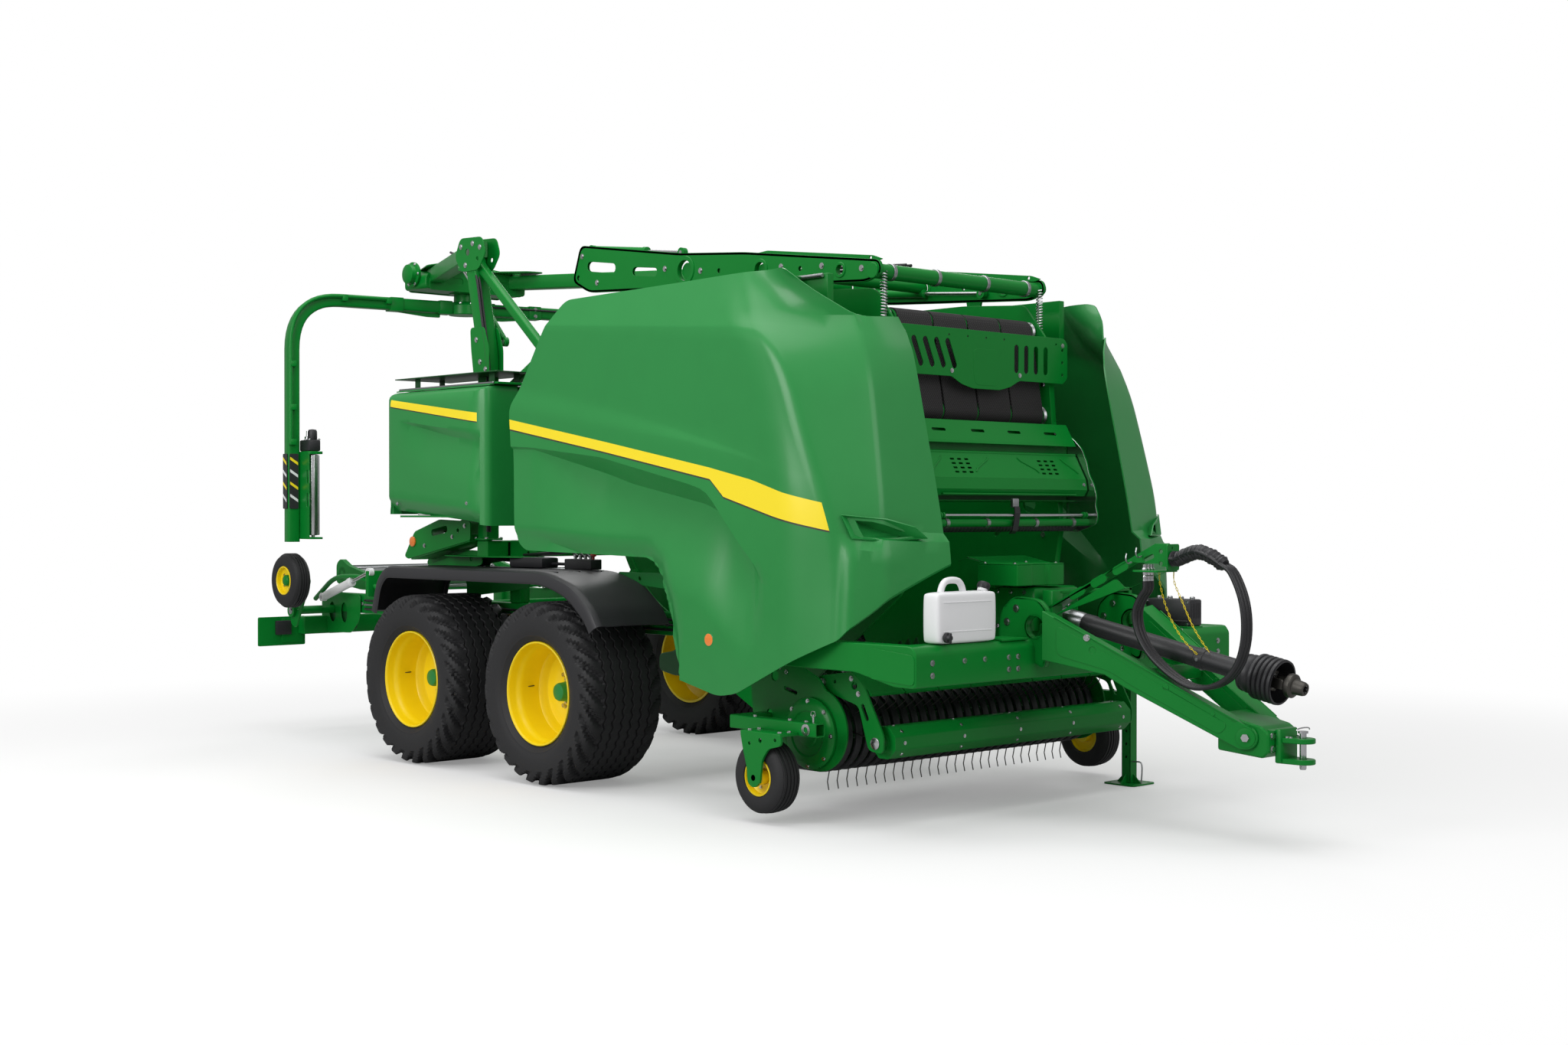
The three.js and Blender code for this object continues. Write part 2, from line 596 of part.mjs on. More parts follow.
const grilleHalf = 700;
const frontGrille = () => {
  const across = [
    [-grilleHalf, 2300], [-300, 2240], [300, 2240], [grilleHalf, 2300], [grilleHalf, 2560],
    [-grilleHalf, 2560],
  ];
  const slots = [-540, -420, 420, 540].flatMap((y) => [
    box(2150, 2300, y - 12, y + 12, 2440, 2520), box(2150, 2300, y - 12, y + 12, 2330, 2400)]);
  const panel = cut(plateYZ(across, 2186, 2200), ...slots);
  const stay = box(2060, 2190, plateOuter + seat, 690, 2490, 2540);
  return join(panel, stay, mirrored(stay));
};
add('front_grille', frontGrille(), green);

const boxHalf = 655;
const endPlate = 14;
const bindingBox = () => {
  const end = plateXZ([
    [bindingRearX, 1460], [2440, 1500], [2450, 1620], [2400, 1760], [2330, 1960], [2250, 2010],
    [bindingRearX, 1990],
  ], boxHalf, boxHalf + endPlate);
  const tray = box(bindingRearX, 2300, -boxHalf - 4, boxHalf + 4, 1620, 1650);
  const back = box(bindingRearX, 2240, -boxHalf - 4, boxHalf + 4, 1620, 2060);
  const rodAt = (x, z, r, n) => rod([x, -boxHalf - 4, z], [x, boxHalf + 4, z], r, n);
  return join(end, mirrored(end), tray, back, rodAt(2405, 1560, 9, 8), rodAt(2370, 1520, 24, 10),
    rodAt(2290, 1500, 30, 10));
};
add('binding_box', bindingBox(), green);

const coverHinge = [2262, 1880];
const bindingCover = () => {
  const half = boxHalf - 8;
  const wall = 10;
  const outer = [[2250, 1868], [2262, 1898], [2300, 1890], [2372, 1760], [2385, 1700], [2360, 1662]];
  const inner = [[2352, 1668], [2374, 1700], [2362, 1756], [2294, 1880 - wall / 2], [2258, 1868]];
  const skin = plateXZ([...outer, ...inner], -half, half);
  const cheek = plateXZ(outer, half - wall, half);
  const pin = rod([coverHinge[0], half - 2, coverHinge[1]],
    [coverHinge[0], boxHalf - seat, coverHinge[1]], 8, 8);
  const side = join(cheek, pin);
  return join(skin, side, mirrored(side));
};
add('binding_cover', bindingCover(), green);

const tensionFrame = () => {
  const y0 = plateOuter + 37;
  const y1 = y0 + 20;
  const arm = plateXZ([
    [-600, 3010], [-520, 3230], [430, 3090], [1000, 3040], [2050, 2900], [2070, 2830], [1960, 2790],
    [900, 2850], [480, 2880], [-430, 2930],
  ], y0, y1, [[480, 2985, 62], [1130, 2930, 44], [1760, 2870, 30]]);
  const post = plateXZ([[1500, 2700 + seat], [1560, 2700 + seat], [1600, 2870], [1460, 2870]], y0, y1);
  const tube = rod([2005, -y1, 2845], [2005, y1, 2845], 42);
  return join(arm, mirrored(arm), post, mirrored(post), tube);
};
add('tension_frame', tensionFrame(), green);

// ---- side shields -------------------------------------------------------------------------------
// a line of [x, y] points moved by `gap` to its right-hand side
const besideLine = (points, gap) => points.map(([x, y], i) => {
  const [x0, y0] = points[Math.max(i - 1, 0)];
  const [x1, y1] = points[Math.min(i + 1, points.length - 1)];
  const run = Math.hypot(x1 - x0, y1 - y0);
  return [x + (gap * (y1 - y0)) / run, y - (gap * (x1 - x0)) / run];
});

const shield = () => {
  // at each height: the side, how far forward it is flat, then the bend, the front corner, the inner edge
  const level = (z, sideY, flatX, bend, corner, edge) => {
    const outside = [[-420, sideY], [flatX, sideY], bend, corner, edge];
    return { z, plan: [...outside, ...besideLine(outside, shieldWall).reverse()].reverse() };
  };
  const y = shieldHalf;
  const wall = loft([
    level(560, y - 8, 2150, [2400, y - 70], [2515, y - 290], [2630, y - 640]),
    level(1300, y, 2150, [2390, y - 110], [2515, y - 290], [2620, y - 640]),
    level(1600, y, 1900, [2355, y - 150], [2508, y - 290], [2571, y - 637]),
    level(2000, y, 1600, [2150, y - 130], [2426, y - 327], [2480, y - 635]),
    level(2300, y - 6, 1500, [2000, y - 70], [2355, y - 354], [2412, y - 635]),
    level(2480, y - 16, 1500, [1800, y - 40], [2262, y - 380], [2372, y - 630]),
    level(2572, y - 34, 1500, [1700, y - 50], [2204, y - 390], [2350, y - 560]),
    level(2830, y - 110, 1500, [1700, y - 112], [1960, y - 125], [2100, y - 300]),
  ]);
  const outline = new THREE.Shape();
  outline.moveTo(-110, 1356);
  outline.lineTo(960, 1330);
  outline.quadraticCurveTo(1110, 1280, 1150, 1080);
  outline.lineTo(1225, 710);
  outline.lineTo(1600, 630);
  outline.lineTo(1740, 650);
  outline.lineTo(2400, 955);
  outline.lineTo(2450, 1005);
  outline.lineTo(2530, 1110);
  outline.lineTo(2640, 1300);
  outline.lineTo(2700, 1400);
  outline.lineTo(2700, 2560);
  outline.lineTo(2215, 2566);
  outline.lineTo(1945, 2820);
  outline.lineTo(210, 2783);
  outline.lineTo(60, 2600);
  outline.lineTo(-232, 2180);
  outline.lineTo(-170, 1400);
  const skin = wall.intersect(plateXZ(outline, 700, y + 80));
  const flange = plateYZ([
    [shieldHingeY, shieldHingeZ - 9], [y - 270, 2790], [y - 116, 2744], [y - 98, 2760], [y - 260, 2806],
    [shieldHingeY, shieldHingeZ + 9],
  ], hingeBarX[0] - 60, hingeBarX[1] - 20);
  const pin = rod([hingeBarX[0] - 60, shieldHingeY, shieldHingeZ],
    [hingeBarX[1] - 20, shieldHingeY, shieldHingeZ],
    shieldPinRadius, 10);
  return join(skin, flange, pin);
};
addPair('side_shield', shield(), green);

// ---- wrapper posts and booms -----------------------------------------------------------------------
const postTopX = -1200;
const kneeZ = 2560;
const boomZ = 3240;
const headHalf = 430;
const headBottom = 3160;
const headTop = 3350;
const gantry = () => {
  const y = postHalf + postSize / 2;
  const knee = [postX, y, kneeZ];
  const top = [postTopX, y, boomZ - 40];
  const side = join(
    box(postX - postSize / 2, postX + postSize / 2, y - postSize / 2, y + postSize / 2,
    outriggerTop + seat, kneeZ + 20),
    beam([knee[0], y, knee[2] - 15], top, postSize, postSize),
    beam([postTopX + 35, y, boomZ], [wrapX + 60, 300, boomZ + 25], postSize, 110),
    beam([postTopX + 40, y, boomZ - 90], [-420, y, kneeZ - 40], 60, 60),
    beam([-470, y, kneeZ - 30], [postX, y, kneeZ - 330], 50, 50),
  );
  const head = box(wrapX - 130, wrapX + 150, -headHalf, headHalf, headBottom, headTop);
  const motor = rod([wrapX, -headHalf + 5, 3300], [wrapX, -headHalf - 70, 3300], 88);
  return join(side, mirrored(side), head, motor);
};
add('gantry', gantry(), green);

// ---- wrap arms, which turn together under the head ---------------------------------------------------
const armEndZ = 1370;
const armBend = 260;
const wrapSection = 90;
const dispenserTop = 2150;
const wrapArm = () => {
  const section = [wrapSection, wrapSection];
  const side = join(
    beam([0, 0, wrapBeamZ], [0, wrapReach - armBend, wrapBeamZ], ...section),
    beam([0, wrapReach - armBend - 30, wrapBeamZ + 6], [0, wrapReach + 6, wrapBeamZ - armBend - 30],
    ...section),
    box(-wrapSection / 2, wrapSection / 2, wrapReach - wrapSection / 2, wrapReach + wrapSection / 2,
      armEndZ, wrapBeamZ - armBend + 40),
  );
  const hub = turned([[0, 0], [120, 0], [120, 20], [80, 50], [80, headBottom - wrapBeamZ - seat],
    [0, headBottom - wrapBeamZ - seat]],
    [0, 0, wrapBeamZ], [0, 0, wrapBeamZ + 1], 20);
  return join(side, mirrored(side), hub);
};
const dispenser = () => {
  const inner = wrapReach - wrapSection / 2 - seat;
  const bottom = armEndZ + 20;
  const plate = (z0, z1) => box(-210, 70, inner - 105, inner, z0, z1);
  const roller = (x, r) => rod([x, inner - 52, bottom + 5], [x, inner - 52, dispenserTop - 160], r, 16);
  return join(plate(bottom, bottom + 16), plate(dispenserTop - 175, dispenserTop - 155),
    box(-190, 30, inner - 95, inner, dispenserTop - 160, dispenserTop), roller(-150, 44), roller(-40, 44));
};
// half a turn about the centre, so that the two arms' gear is the same way round
const halfTurn = (solid) => {
  const mesh = solid.getMesh();
  const vertProperties = new Float32Array(mesh.vertProperties);
  for (let i = 0; i < vertProperties.length; i += 3) {
    vertProperties[i] *= -1;
    vertProperties[i + 1] *= -1;
  }
  return new wasm.Manifold(new wasm.Mesh({ numProp: 3, vertProperties, triVerts: mesh.triVerts }));
};
addTo(wrapper, 'wrap_arm', wrapArm(), green);
addTo(wrapper, 'film_dispenser_left', dispenser(), steel);
addTo(wrapper, 'film_dispenser_right', halfTurn(dispenser()), steel);
wrapper.position.set(wrapX, 0, 0);
wrapper.rotation.z = THREE.MathUtils.degToRad(wrapParkAngle);
machine.add(wrapper);

// ---- wrapping table ----------------------------------------------------------------------------------
const tableSide = 40;
const tableRollerZ = 1120;
const tableRollerX = [-2160, -3360];
const wrappingTable = () => {
  const side = plateXZ([
    [-2100, 1190], [-2100, 1060], [-2500, 1020], [-3100, 1020], [-3440, 1060], [-3440, 1200], [-3380, 1240],
    [-3280, 1190], [-2900, 1110], [-2600, 1110], [-2250, 1190],
  ], tableHalf - tableSide, tableHalf);
  const ties = [-2560, -2980].map((x) => box(x - 40, x + 40, -tableHalf + 5, tableHalf - 5, 1025, 1085));
  return join(side, mirrored(side), ...ties);
};
add('wrapping_table', wrappingTable(), green);
['front', 'rear'].forEach((name, i) => {
  const inside = tableHalf - tableSide;
  const [x, z] = [tableRollerX[i], tableRollerZ + 10 * i];
  add(`table_roller_${name}`, join(
    rod([x, -inside + 30, z], [x, inside - 30, z], tableRollerRadius - 45, 20),
    rod([x, -inside + seat, z], [x, inside - seat, z], 22),
  ), steel);
});
// ---- bale turner ----------------------------------------------------------------------------------------
const turnerPivot = [-3280, 790];
const turnerWheel = [-3100, 1100];
const turnerY = 1120;
const turnerRadius = 190;
const turnerArm = () => join(
  beam([turnerPivot[0], turnerY, turnerPivot[1]], [turnerWheel[0], turnerY, turnerWheel[1]], 16, 120),
  rod([turnerPivot[0], 800 + seat, turnerPivot[1] + 90], [turnerPivot[0], turnerY, turnerPivot[1] + 90], 30),
  rod([turnerWheel[0], turnerY, turnerWheel[1]], [turnerWheel[0], turnerY + 60 - seat, turnerWheel[1]], 24),
);
add('turner_arm', mirrored(turnerArm()), green);
add('turner_wheel', mirrored(turned([
  [0, 0], [40, 0], [40, 30], [90, 30], [98, 4], [150, 0], [turnerRadius, 34], [turnerRadius, 96], [150, 130],
  [98, 126], [90, 100], [40, 100], [40, 118], [0, 118],
], [turnerWheel[0], turnerY + 60, turnerWheel[1]], [turnerWheel[0], turnerY + 61, turnerWheel[1]], 18)),
rubber);

// ---- fenders and film lockers -------------------------------------------------------------------
const fenderTop = 1230;
const fenderWall = 12;
const fenderFlat = 60;
const fender = () => {
  const inner = railHalf + railWidth + seat;
  const rear = -tandemSpacing;
  const top = [
    [rear - 462, 940], [rear - 402, 1140], [rear - 302, fenderTop],
    [fenderFlat, fenderTop], [330, 1155], [500, 1030], [560, 930],
  ];
  const under = top.map(([x, z]) => [x + (x < 0 ? fenderWall : -fenderWall), z - fenderWall]).reverse();
  const sheet = plateXZ([...top, ...under], inner + 60, 1390);
  const stay = (x) => join(
    box(x - 25, x + 25, inner, inner + 45, railBottom + 20, fenderTop - 6),
    box(x - 25, x + 25, inner, inner + 70, fenderTop - 60, fenderTop - 6));
  const lip = plateXZ([
    [rear - 302, fenderTop], [fenderFlat, fenderTop], [fenderFlat, fenderTop - 60],
    [rear - 302, fenderTop - 60],
  ], 1380, 1392);
  return join(sheet, stay(-1500), stay(0), lip);
};
addPair('fender', fender(), plastic);

const lockerRear = -1580;
const lockerFront = -525;
const lockerTop = 2330;
const lockerInner = postHalf + postSize + seat;
const lockerPivotY = shieldHalf - 102;
const lockerPivotZ = lockerTop + 22;
const lockerPinRadius = 8;
const filmRack = () => join(
  box(lockerRear + 60, lockerFront - 60, lockerInner, lockerInner + 14, 1540, lockerPivotZ - 6),
  box(lockerRear + 60, lockerFront - 60, lockerInner, 1360, 1540, 1560),
  box(lockerRear - 20, lockerFront + 20, lockerInner, lockerPivotY - lockerPinRadius - seat,
    lockerPivotZ - 8, lockerPivotZ + 8),
);
addPair('film_rack', filmRack(), green);

const filmDoor = () => {
  const y = shieldHalf - 4;
  const wall = 18;
  const section = [
    [lockerPivotY, lockerPivotZ + 7], [y - 40, lockerTop - 10], [y - 8, lockerTop - 70], [y, lockerTop - 150],
    [y, 1400], [y - wall, 1400], [y - wall, lockerTop - 146], [y - 26, lockerTop - 78],
    [y - 52, lockerTop - 26],
    [lockerPivotY, lockerPivotZ - 7],
  ];
  const cover = plateYZ(section, lockerRear, lockerFront);
  const pin = rod([lockerRear, lockerPivotY, lockerPivotZ], [lockerFront, lockerPivotY, lockerPivotZ],
    lockerPinRadius, 10);
  const trim = plateXZ([
    [lockerRear - 20, 1480], [lockerRear + 20, 1590], [-700, 1520], [lockerFront + 20, 1490],
    [lockerFront + 20, 1300],
    [lockerRear - 20, 1300],
  ], 1000, 1500);
  const cheek = (x) => plateYZ([
    [1120, 1400], [y - 4, 1400], [y - 4, lockerTop - 150], [y - 40, lockerTop - 40], [1120, lockerTop - 60],
  ], x, x + wall);
  return join(cut(join(cover, cheek(lockerFront - wall), cheek(lockerRear)), trim), pin);
};
addPair('film_door', filmDoor(), green);

// ---- driveline ----------------------------------------------------------------------------------
const ptoRear = [2875, 0, 1000];
const ptoFront = [4160, 0, 745];
const ptoLength = distance(ptoRear, ptoFront);
const gearbox = () => {
  const flangeBack = [ptoRear[0] - 200, 0, ptoRear[2] + 200 * (255 / 1285)];
  const flange = rod(flangeBack, ptoRear, 54, 20);
  const body = box(2260, 2690, -190, 190, 950 + seat, 1190);
  const cover = box(2440, 2710, -350, 30, 1195, 1312);
  const hood = plateXZ([[2200, 1160], [2460, 1180], [2460, 1300], [2260, 1340], [2200, 1320]], -230, 250);
  const foot = box(2560, crossBeamRearX - seat, -150, 150, 800, 1000);
  return join(body, cover, hood, flange, foot);
};
add('gearbox', gearbox(), green);

const bell = ptoLength - 360;
add('pto_guard', turned([
  [guardBore, seat], [guardRadius + 5, seat], [guardRadius + 5, 60], [guardRadius, 70], [guardRadius, bell],
  [92, bell + 30], [96, bell + 90], [112, bell + 100], [112, bell + 235], [100, bell + 235],
  [100, bell + 110],
  [84, bell + 100], [80, bell + 40], [guardBore, bell + 10], [guardBore, seat],
], ptoRear, ptoFront, 20), plastic);
add('pto_shaft', turned([
  [0, seat], [ptoRadius, seat], [ptoRadius, bell + 60], [52, bell + 110], [56, bell + 200], [44, bell + 262],
  [58, bell + 270], [58, bell + 300], [36, bell + 310], [30, ptoLength], [0, ptoLength],
], ptoRear, ptoFront, 16), steel);

// ---- hoses on their bracket ---------------------------------------------------------------------
const bracketY = -150;
const couplerZ = 1284;            // underside of the shelf that the hoses are parked on
const shelfY = 470;
const hoseEnd = [3424, 1240];
const hoseSides = [-246, -220, -194];
const hoseBracket = () => {
  const side = plateXZ([
    [2720, 1050], [2790, 1030], [3200, 1240], [3260, 1190], [3518, 1290], [3518, 1425], [3440, 1425],
  ], bracketY - 30, bracketY - 22);
  const top = plateXZ([[2720, 1065], [2730, 1056], [3446, 1416], [3440, 1426]], bracketY - 30, bracketY + 90);
  const front = box(3508, 3518, bracketY - 42, bracketY + 60, 1290, 1422);
  const parking = box(3360, 3512, -270, bracketY + 60, couplerZ, couplerZ + 10);
  const foot = box(crossBeamRearX + 10, 2800, bracketY - 30, bracketY + 60, beamTop + seat, 1176);
  const couplers = hoseSides.map((y) => rod([hoseEnd[0], y, hoseEnd[1] + seat], [hoseEnd[0], y, couplerZ + 5],
    hoseRadius, 8));
  const bridge = box(2760, 2800, bracketY + 30, shelfY + 30, 1154, 1176);
  const drop = box(2760, 2800, shelfY, shelfY + 30, beamTop + seat, 1176);
  const shelf = box(2760, 3190, shelfY, shelfY + 125, 966, 980);
  const control = box(2890, 3185, shelfY + 8, shelfY + 118, 975, 1120);
  return join(side, top, front, parking, foot, ...couplers, bridge, drop, shelf, control);
};
add('hose_bracket', hoseBracket(), green);

const sleeveRadius = 40;
const sleevePath = [
  [3518 + seat, -150, 1350], [3552, -150, 1350], [3620, -172, 1370], [3710, -205, 1386], [3800, -220, 1362],
  [3862, -220, 1326],
];
add('hose_sleeve', tubeThrough(sleevePath, sleeveRadius, 12, 10), plastic);

// the free hoses leave the sleeve, hang in a loop and come back to their couplers; [x, z] points
const hoseRoute = [
  [3862.3, 1325.8], [3899.5, 1304.2], [3942, 1235], [3972, 1150], [3984, 1055], [3976, 955], [3945, 865],
  [3882, 790], [3790, 748], [3690, 742], [3592, 780], [3502, 838], [3424, 912], [3374, 1000], [3362, 1090],
  [3392, 1160], [3424, 1204], hoseEnd,
];
hoseSides.forEach((y, i) => {
  add(`hose_${i + 1}`, tubeThrough(hoseRoute.map(([x, z]) => [x, y, z]), hoseRadius, 8, 30), rubber);
});

// two light chains keep the driveline guard from turning
const chainRadius = 5;
const chains = [
  [[3440, -150, couplerZ - seat], [3441, -148, 1240], [3462, -134, 1130], [3500, -108, 1020],
  [3545, -80, 940],
    [3590, -51, 884]],
  [[3490, -100, couplerZ - seat], [3491, -99, 1240], [3530, -80, 1130], [3575, -62, 1020], [3620, -44, 940],
    [3648, -31, 896]],
];
chains.forEach((route, i) => add(`guard_chain_${i + 1}`, tubeThrough(route, chainRadius, 6, 14), yellow));

// ---- tank on the cross beam ---------------------------------------------------------------------
const tankX = 2815;
const tankTop = 1195;
const tank = () => {
  const body = box(tankX - 60, tankX + 60, -1130, -690, beamTop + seat, tankTop);
  const grip = join(
    beam([tankX, -1040, tankTop - 4], [tankX, -1005, tankTop + 62], 34, 34),
    beam([tankX, -1015, tankTop + 55], [tankX, -925, tankTop + 55], 34, 34),
    beam([tankX, -900, tankTop - 4], [tankX, -935, tankTop + 62], 34, 34));
  const neck = rod([tankX, -745, tankTop - 5], [tankX, -728, tankTop + 42], 32, 14);
  return join(body, grip, neck);
};
add('tank', tank(), whitePlastic);

machine.position.x = -(hitchTipX + rearEndX) / 2;
export default machine;
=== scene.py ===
# %% [markdown]
# A round baler with a film wrapper behind it, finished in Blender.
#
# The engineering model gives every piece its place, its size and its joints. This lesson loads it
# as a fixed frame and then makes the looks: painted sheet metal with creases, tyres with their
# tread, tines, belts, hoses and screws. Each step says what the real piece is, how it could be
# made, and why it is made this way.

# %% Frame
import math

import bmesh
import bpy
import numpy as np
from mathutils import Matrix, Vector


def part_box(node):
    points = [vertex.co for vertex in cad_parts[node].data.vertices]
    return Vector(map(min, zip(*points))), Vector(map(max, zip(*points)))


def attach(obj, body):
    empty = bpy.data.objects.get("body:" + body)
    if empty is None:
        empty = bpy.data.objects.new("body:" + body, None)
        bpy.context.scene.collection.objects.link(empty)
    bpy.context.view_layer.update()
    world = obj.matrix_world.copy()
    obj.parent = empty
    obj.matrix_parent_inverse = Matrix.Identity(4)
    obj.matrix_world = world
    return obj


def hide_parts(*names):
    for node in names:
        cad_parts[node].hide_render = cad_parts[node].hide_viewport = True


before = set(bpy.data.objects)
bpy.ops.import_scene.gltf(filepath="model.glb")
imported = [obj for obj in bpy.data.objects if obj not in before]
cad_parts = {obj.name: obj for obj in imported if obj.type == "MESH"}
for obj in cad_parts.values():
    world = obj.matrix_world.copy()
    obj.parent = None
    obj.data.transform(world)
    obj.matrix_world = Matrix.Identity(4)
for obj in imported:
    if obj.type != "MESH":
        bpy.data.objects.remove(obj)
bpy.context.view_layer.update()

# %% [markdown]
# Drawings of a trailed machine are measured from its axle. So every size below is in metres from
# the front tandem axle: X forward, Y to the machine's left, Z up from the ground. One number moves
# that origin to where the frame has it.

# %% Origin on the front axle
wheel_low, wheel_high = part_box("rim_front_left")
axle_x = (wheel_low.x + wheel_high.x) / 2
to_frame = Matrix.Translation((axle_x, 0, 0))


def place(x, y, z):
    """A point given from the front axle, as the frame counts it."""
    return Vector((axle_x + x, y, z))


print("front axle at x =", round(axle_x, 4))

# %% [markdown]
# The camera stands low at the right front corner, at the height of a person's chest, so that the
# verticals stay upright. A normal lens on a 36 mm sensor keeps the machine's proportions.

# %% Camera
LENS, SENSOR = 44.13, 36
STAND = (9.031, -7.936, 1.576)
LOOK_DOWN, HEADING = 0.306, 46.73


def linked(name, data):
    """A new object in the scene."""
    made = bpy.data.objects.new(name, data)
    bpy.context.scene.collection.objects.link(made)
    return made


camera_data = bpy.data.cameras.new("camera")
camera_data.lens = LENS
camera_data.sensor_width = SENSOR
camera = linked("camera", camera_data)
camera.location = place(*STAND)
camera.rotation_euler = (math.radians(90 - LOOK_DOWN), 0, math.radians(HEADING))
bpy.context.scene.camera = camera

# %% [markdown]
# A product hall: a big soft lamp overhead, a soft key from the front, and a weak one from behind,
# over a pale floor. The world is white for the camera and dimmer for the light on the machine, so
# that colours come out about as they are written.

# %% Light and floor
LAMP_SIZE = 5.0
SEEN_LIGHT, FELT_LIGHT = 1.0, 0.42


def soft_lamp(name, position, target, size, power):
    """A square area lamp at `position` that looks at `target`."""
    lamp = bpy.data.lights.new(name, "AREA")
    lamp.shape = "SQUARE"
    lamp.size = size
    lamp.energy = power
    holder = linked(name, lamp)
    aim = place(*target) - place(*position)
    turn = aim.to_track_quat("-Z", "Y").to_matrix().to_4x4()
    holder.matrix_world = Matrix.Translation(place(*position)) @ turn


soft_lamp("lamp_top", (0.5, -1.0, 9.0), (0.5, 0, 1), 9.0, 560)
soft_lamp("lamp_front", (10.0, -2.0, 5.5), (1.5, 0, 1.2), LAMP_SIZE, 170)
soft_lamp("lamp_side", (1.0, -10.0, 5.0), (0.0, 0, 1.4), LAMP_SIZE, 430)
soft_lamp("lamp_back", (-7.0, 8.0, 6.0), (-0.5, 0, 1.4), LAMP_SIZE, 260)

world = bpy.data.worlds.new("world")
world.use_nodes = True
bpy.context.scene.world = world
sky = world.node_tree
sky.nodes.clear()
sky_out = sky.nodes.new("ShaderNodeOutputWorld")
seen = sky.nodes.new("ShaderNodeBackground")
seen.inputs["Strength"].default_value = SEEN_LIGHT
felt = sky.nodes.new("ShaderNodeBackground")
felt.inputs["Strength"].default_value = FELT_LIGHT
ray = sky.nodes.new("ShaderNodeLightPath")
choose = sky.nodes.new("ShaderNodeMixShader")
for background in (seen, felt):
    background.inputs["Color"].default_value = (1, 1, 1, 1)
sky.links.new(ray.outputs["Is Camera Ray"], choose.inputs[0])
sky.links.new(felt.outputs[0], choose.inputs[1])
sky.links.new(seen.outputs[0], choose.inputs[2])
sky.links.new(choose.outputs[0], sky_out.inputs["Surface"])

bpy.context.scene.view_settings.view_transform = "Standard"

# %% [markdown]
# Shader maths reads best as plain sums. `Wire` wraps one socket, and + - * on it add the Math
# nodes. `Surface` holds one material: `node` makes any node from its type, its settings and its
# inputs, and `bump` turns a height into a normal.

# %% Shader helpers


class Wire:
    """One output socket, or a number, that can be used in sums."""

    def __init__(self, surface, socket):
        self.surface = surface
        self.socket = socket

    def _math(self, operation, first, second=None):
        return self.surface.node("ShaderNodeMath", {"operation": operation}, [first, second])

    def __add__(self, other):
        return self._math("ADD", self, other)

    def __mul__(self, other):
        return self._math("MULTIPLY", self, other)

    def __rsub__(self, other):
        return self._math("SUBTRACT", other, self)

    __radd__ = __add__
    __rmul__ = __mul__

    def eased(self, low, high):
        """0 at `low`, 1 at `high`, smooth between them."""
        return self.surface.node("ShaderNodeMapRange", {"interpolation_type": "SMOOTHSTEP"},
                                 {"Value": self, "From Min": low, "From Max": high})


class Surface:
    """A material while it is made."""

    def __init__(self, name, color, roughness=0.5, metallic=0.0, **fixed):
        self.material = bpy.data.materials.new(name)
        self.material.use_nodes = True
        self.tree = self.material.node_tree
        self.shader = self.tree.nodes["Principled BSDF"]
        self.material.diffuse_color = (*color, 1)
        self.color = color
        self.set(**{"Base Color": (*color, 1), "Roughness": roughness, "Metallic": metallic, **fixed})
        self.where = self.node("ShaderNodeTexCoord", output="Object")

    def plug(self, socket, value):
        """Sets one input from a number, a colour or a wire."""
        if isinstance(value, Wire):
            self.tree.links.new(value.socket, socket)
        elif value is not None:
            socket.default_value = value

    def set(self, **inputs):
        for name, value in inputs.items():
            self.plug(self.shader.inputs[name], value)

    def node(self, kind, settings=None, inputs=None, output=0):
        """A node of this type: its settings first, then its inputs by name or by number."""
        made = self.tree.nodes.new(kind)
        for name, value in (settings or {}).items():
            setattr(made, name, value)
        given = inputs.items() if isinstance(inputs, dict) else enumerate(inputs or [])
        for key, value in given:
            self.plug(made.inputs[key], value)
        return Wire(self, made.outputs[output])

    def noise(self, scale, detail=2.0, vector=None):
        """Noise from 0 to 1, with `scale` features per metre."""
        return self.node("ShaderNodeTexNoise", {}, {"Vector": vector or self.where, "Scale": scale,
                                                    "Detail": detail})

    def mix(self, amount, first, second):
        """A colour between two others."""
        return self.node(
            "ShaderNodeMix", {"data_type": "RGBA"}, {0: amount, 6: first, 7: second}, output=2)

    def bump(self, height, depth):
        """Turns a height from 0 to 1 into a normal for a relief `depth` metres deep."""
        return self.node("ShaderNodeBump", {}, {"Strength": 1.0, "Distance": depth, "Height": height},
                         output="Normal")


def linear(red, green, blue):
    """An sRGB colour of 0 to 255 in the linear values that shaders use."""
    return tuple(((c / 255 + 0.055) / 1.055) ** 2.4 if c > 10 else c / 255 / 12.92
                 for c in (red, green, blue))


def shade(color, factor):
    return (*(min(1.0, c * factor) for c in color), 1)


# %% [markdown]
# The machine's green is a two-layer paint: a saturated base under clear coat. New sheet metal is
# never perfectly even, so a slow noise shifts the colour by a few percent, a finer one the gloss,
# and a very fine relief gives the orange peel that breaks up reflections. The same recipe with
# other colours makes the yellow, and a darker green: the same green paint with painted shade in
# it, for the parts that sit in shade.

# %% Paint
ORANGE_PEEL = 0.00004
COAT_ROUGHNESS = 0.2


def paint(name, color, roughness=0.42, coat=0.25, spread=0.08, gloss=0.42):
    made = Surface(name, color, roughness, **{
        "Coat Weight": coat, "Coat Roughness": COAT_ROUGHNESS, "Specular IOR Level": gloss})
    slow = made.noise(1.3, 3)
    fine = made.noise(9.0, 4)
    low, high = shade(color, 1 - spread), shade(color, 1 + spread)
    made.set(**{
        "Base Color": made.mix(slow * 0.6 + fine * 0.4, low, high),
        "Roughness": roughness - 0.05 + fine * 0.1,
        "Normal": made.bump(made.noise(260, 2), ORANGE_PEEL),
    })
    return made.material


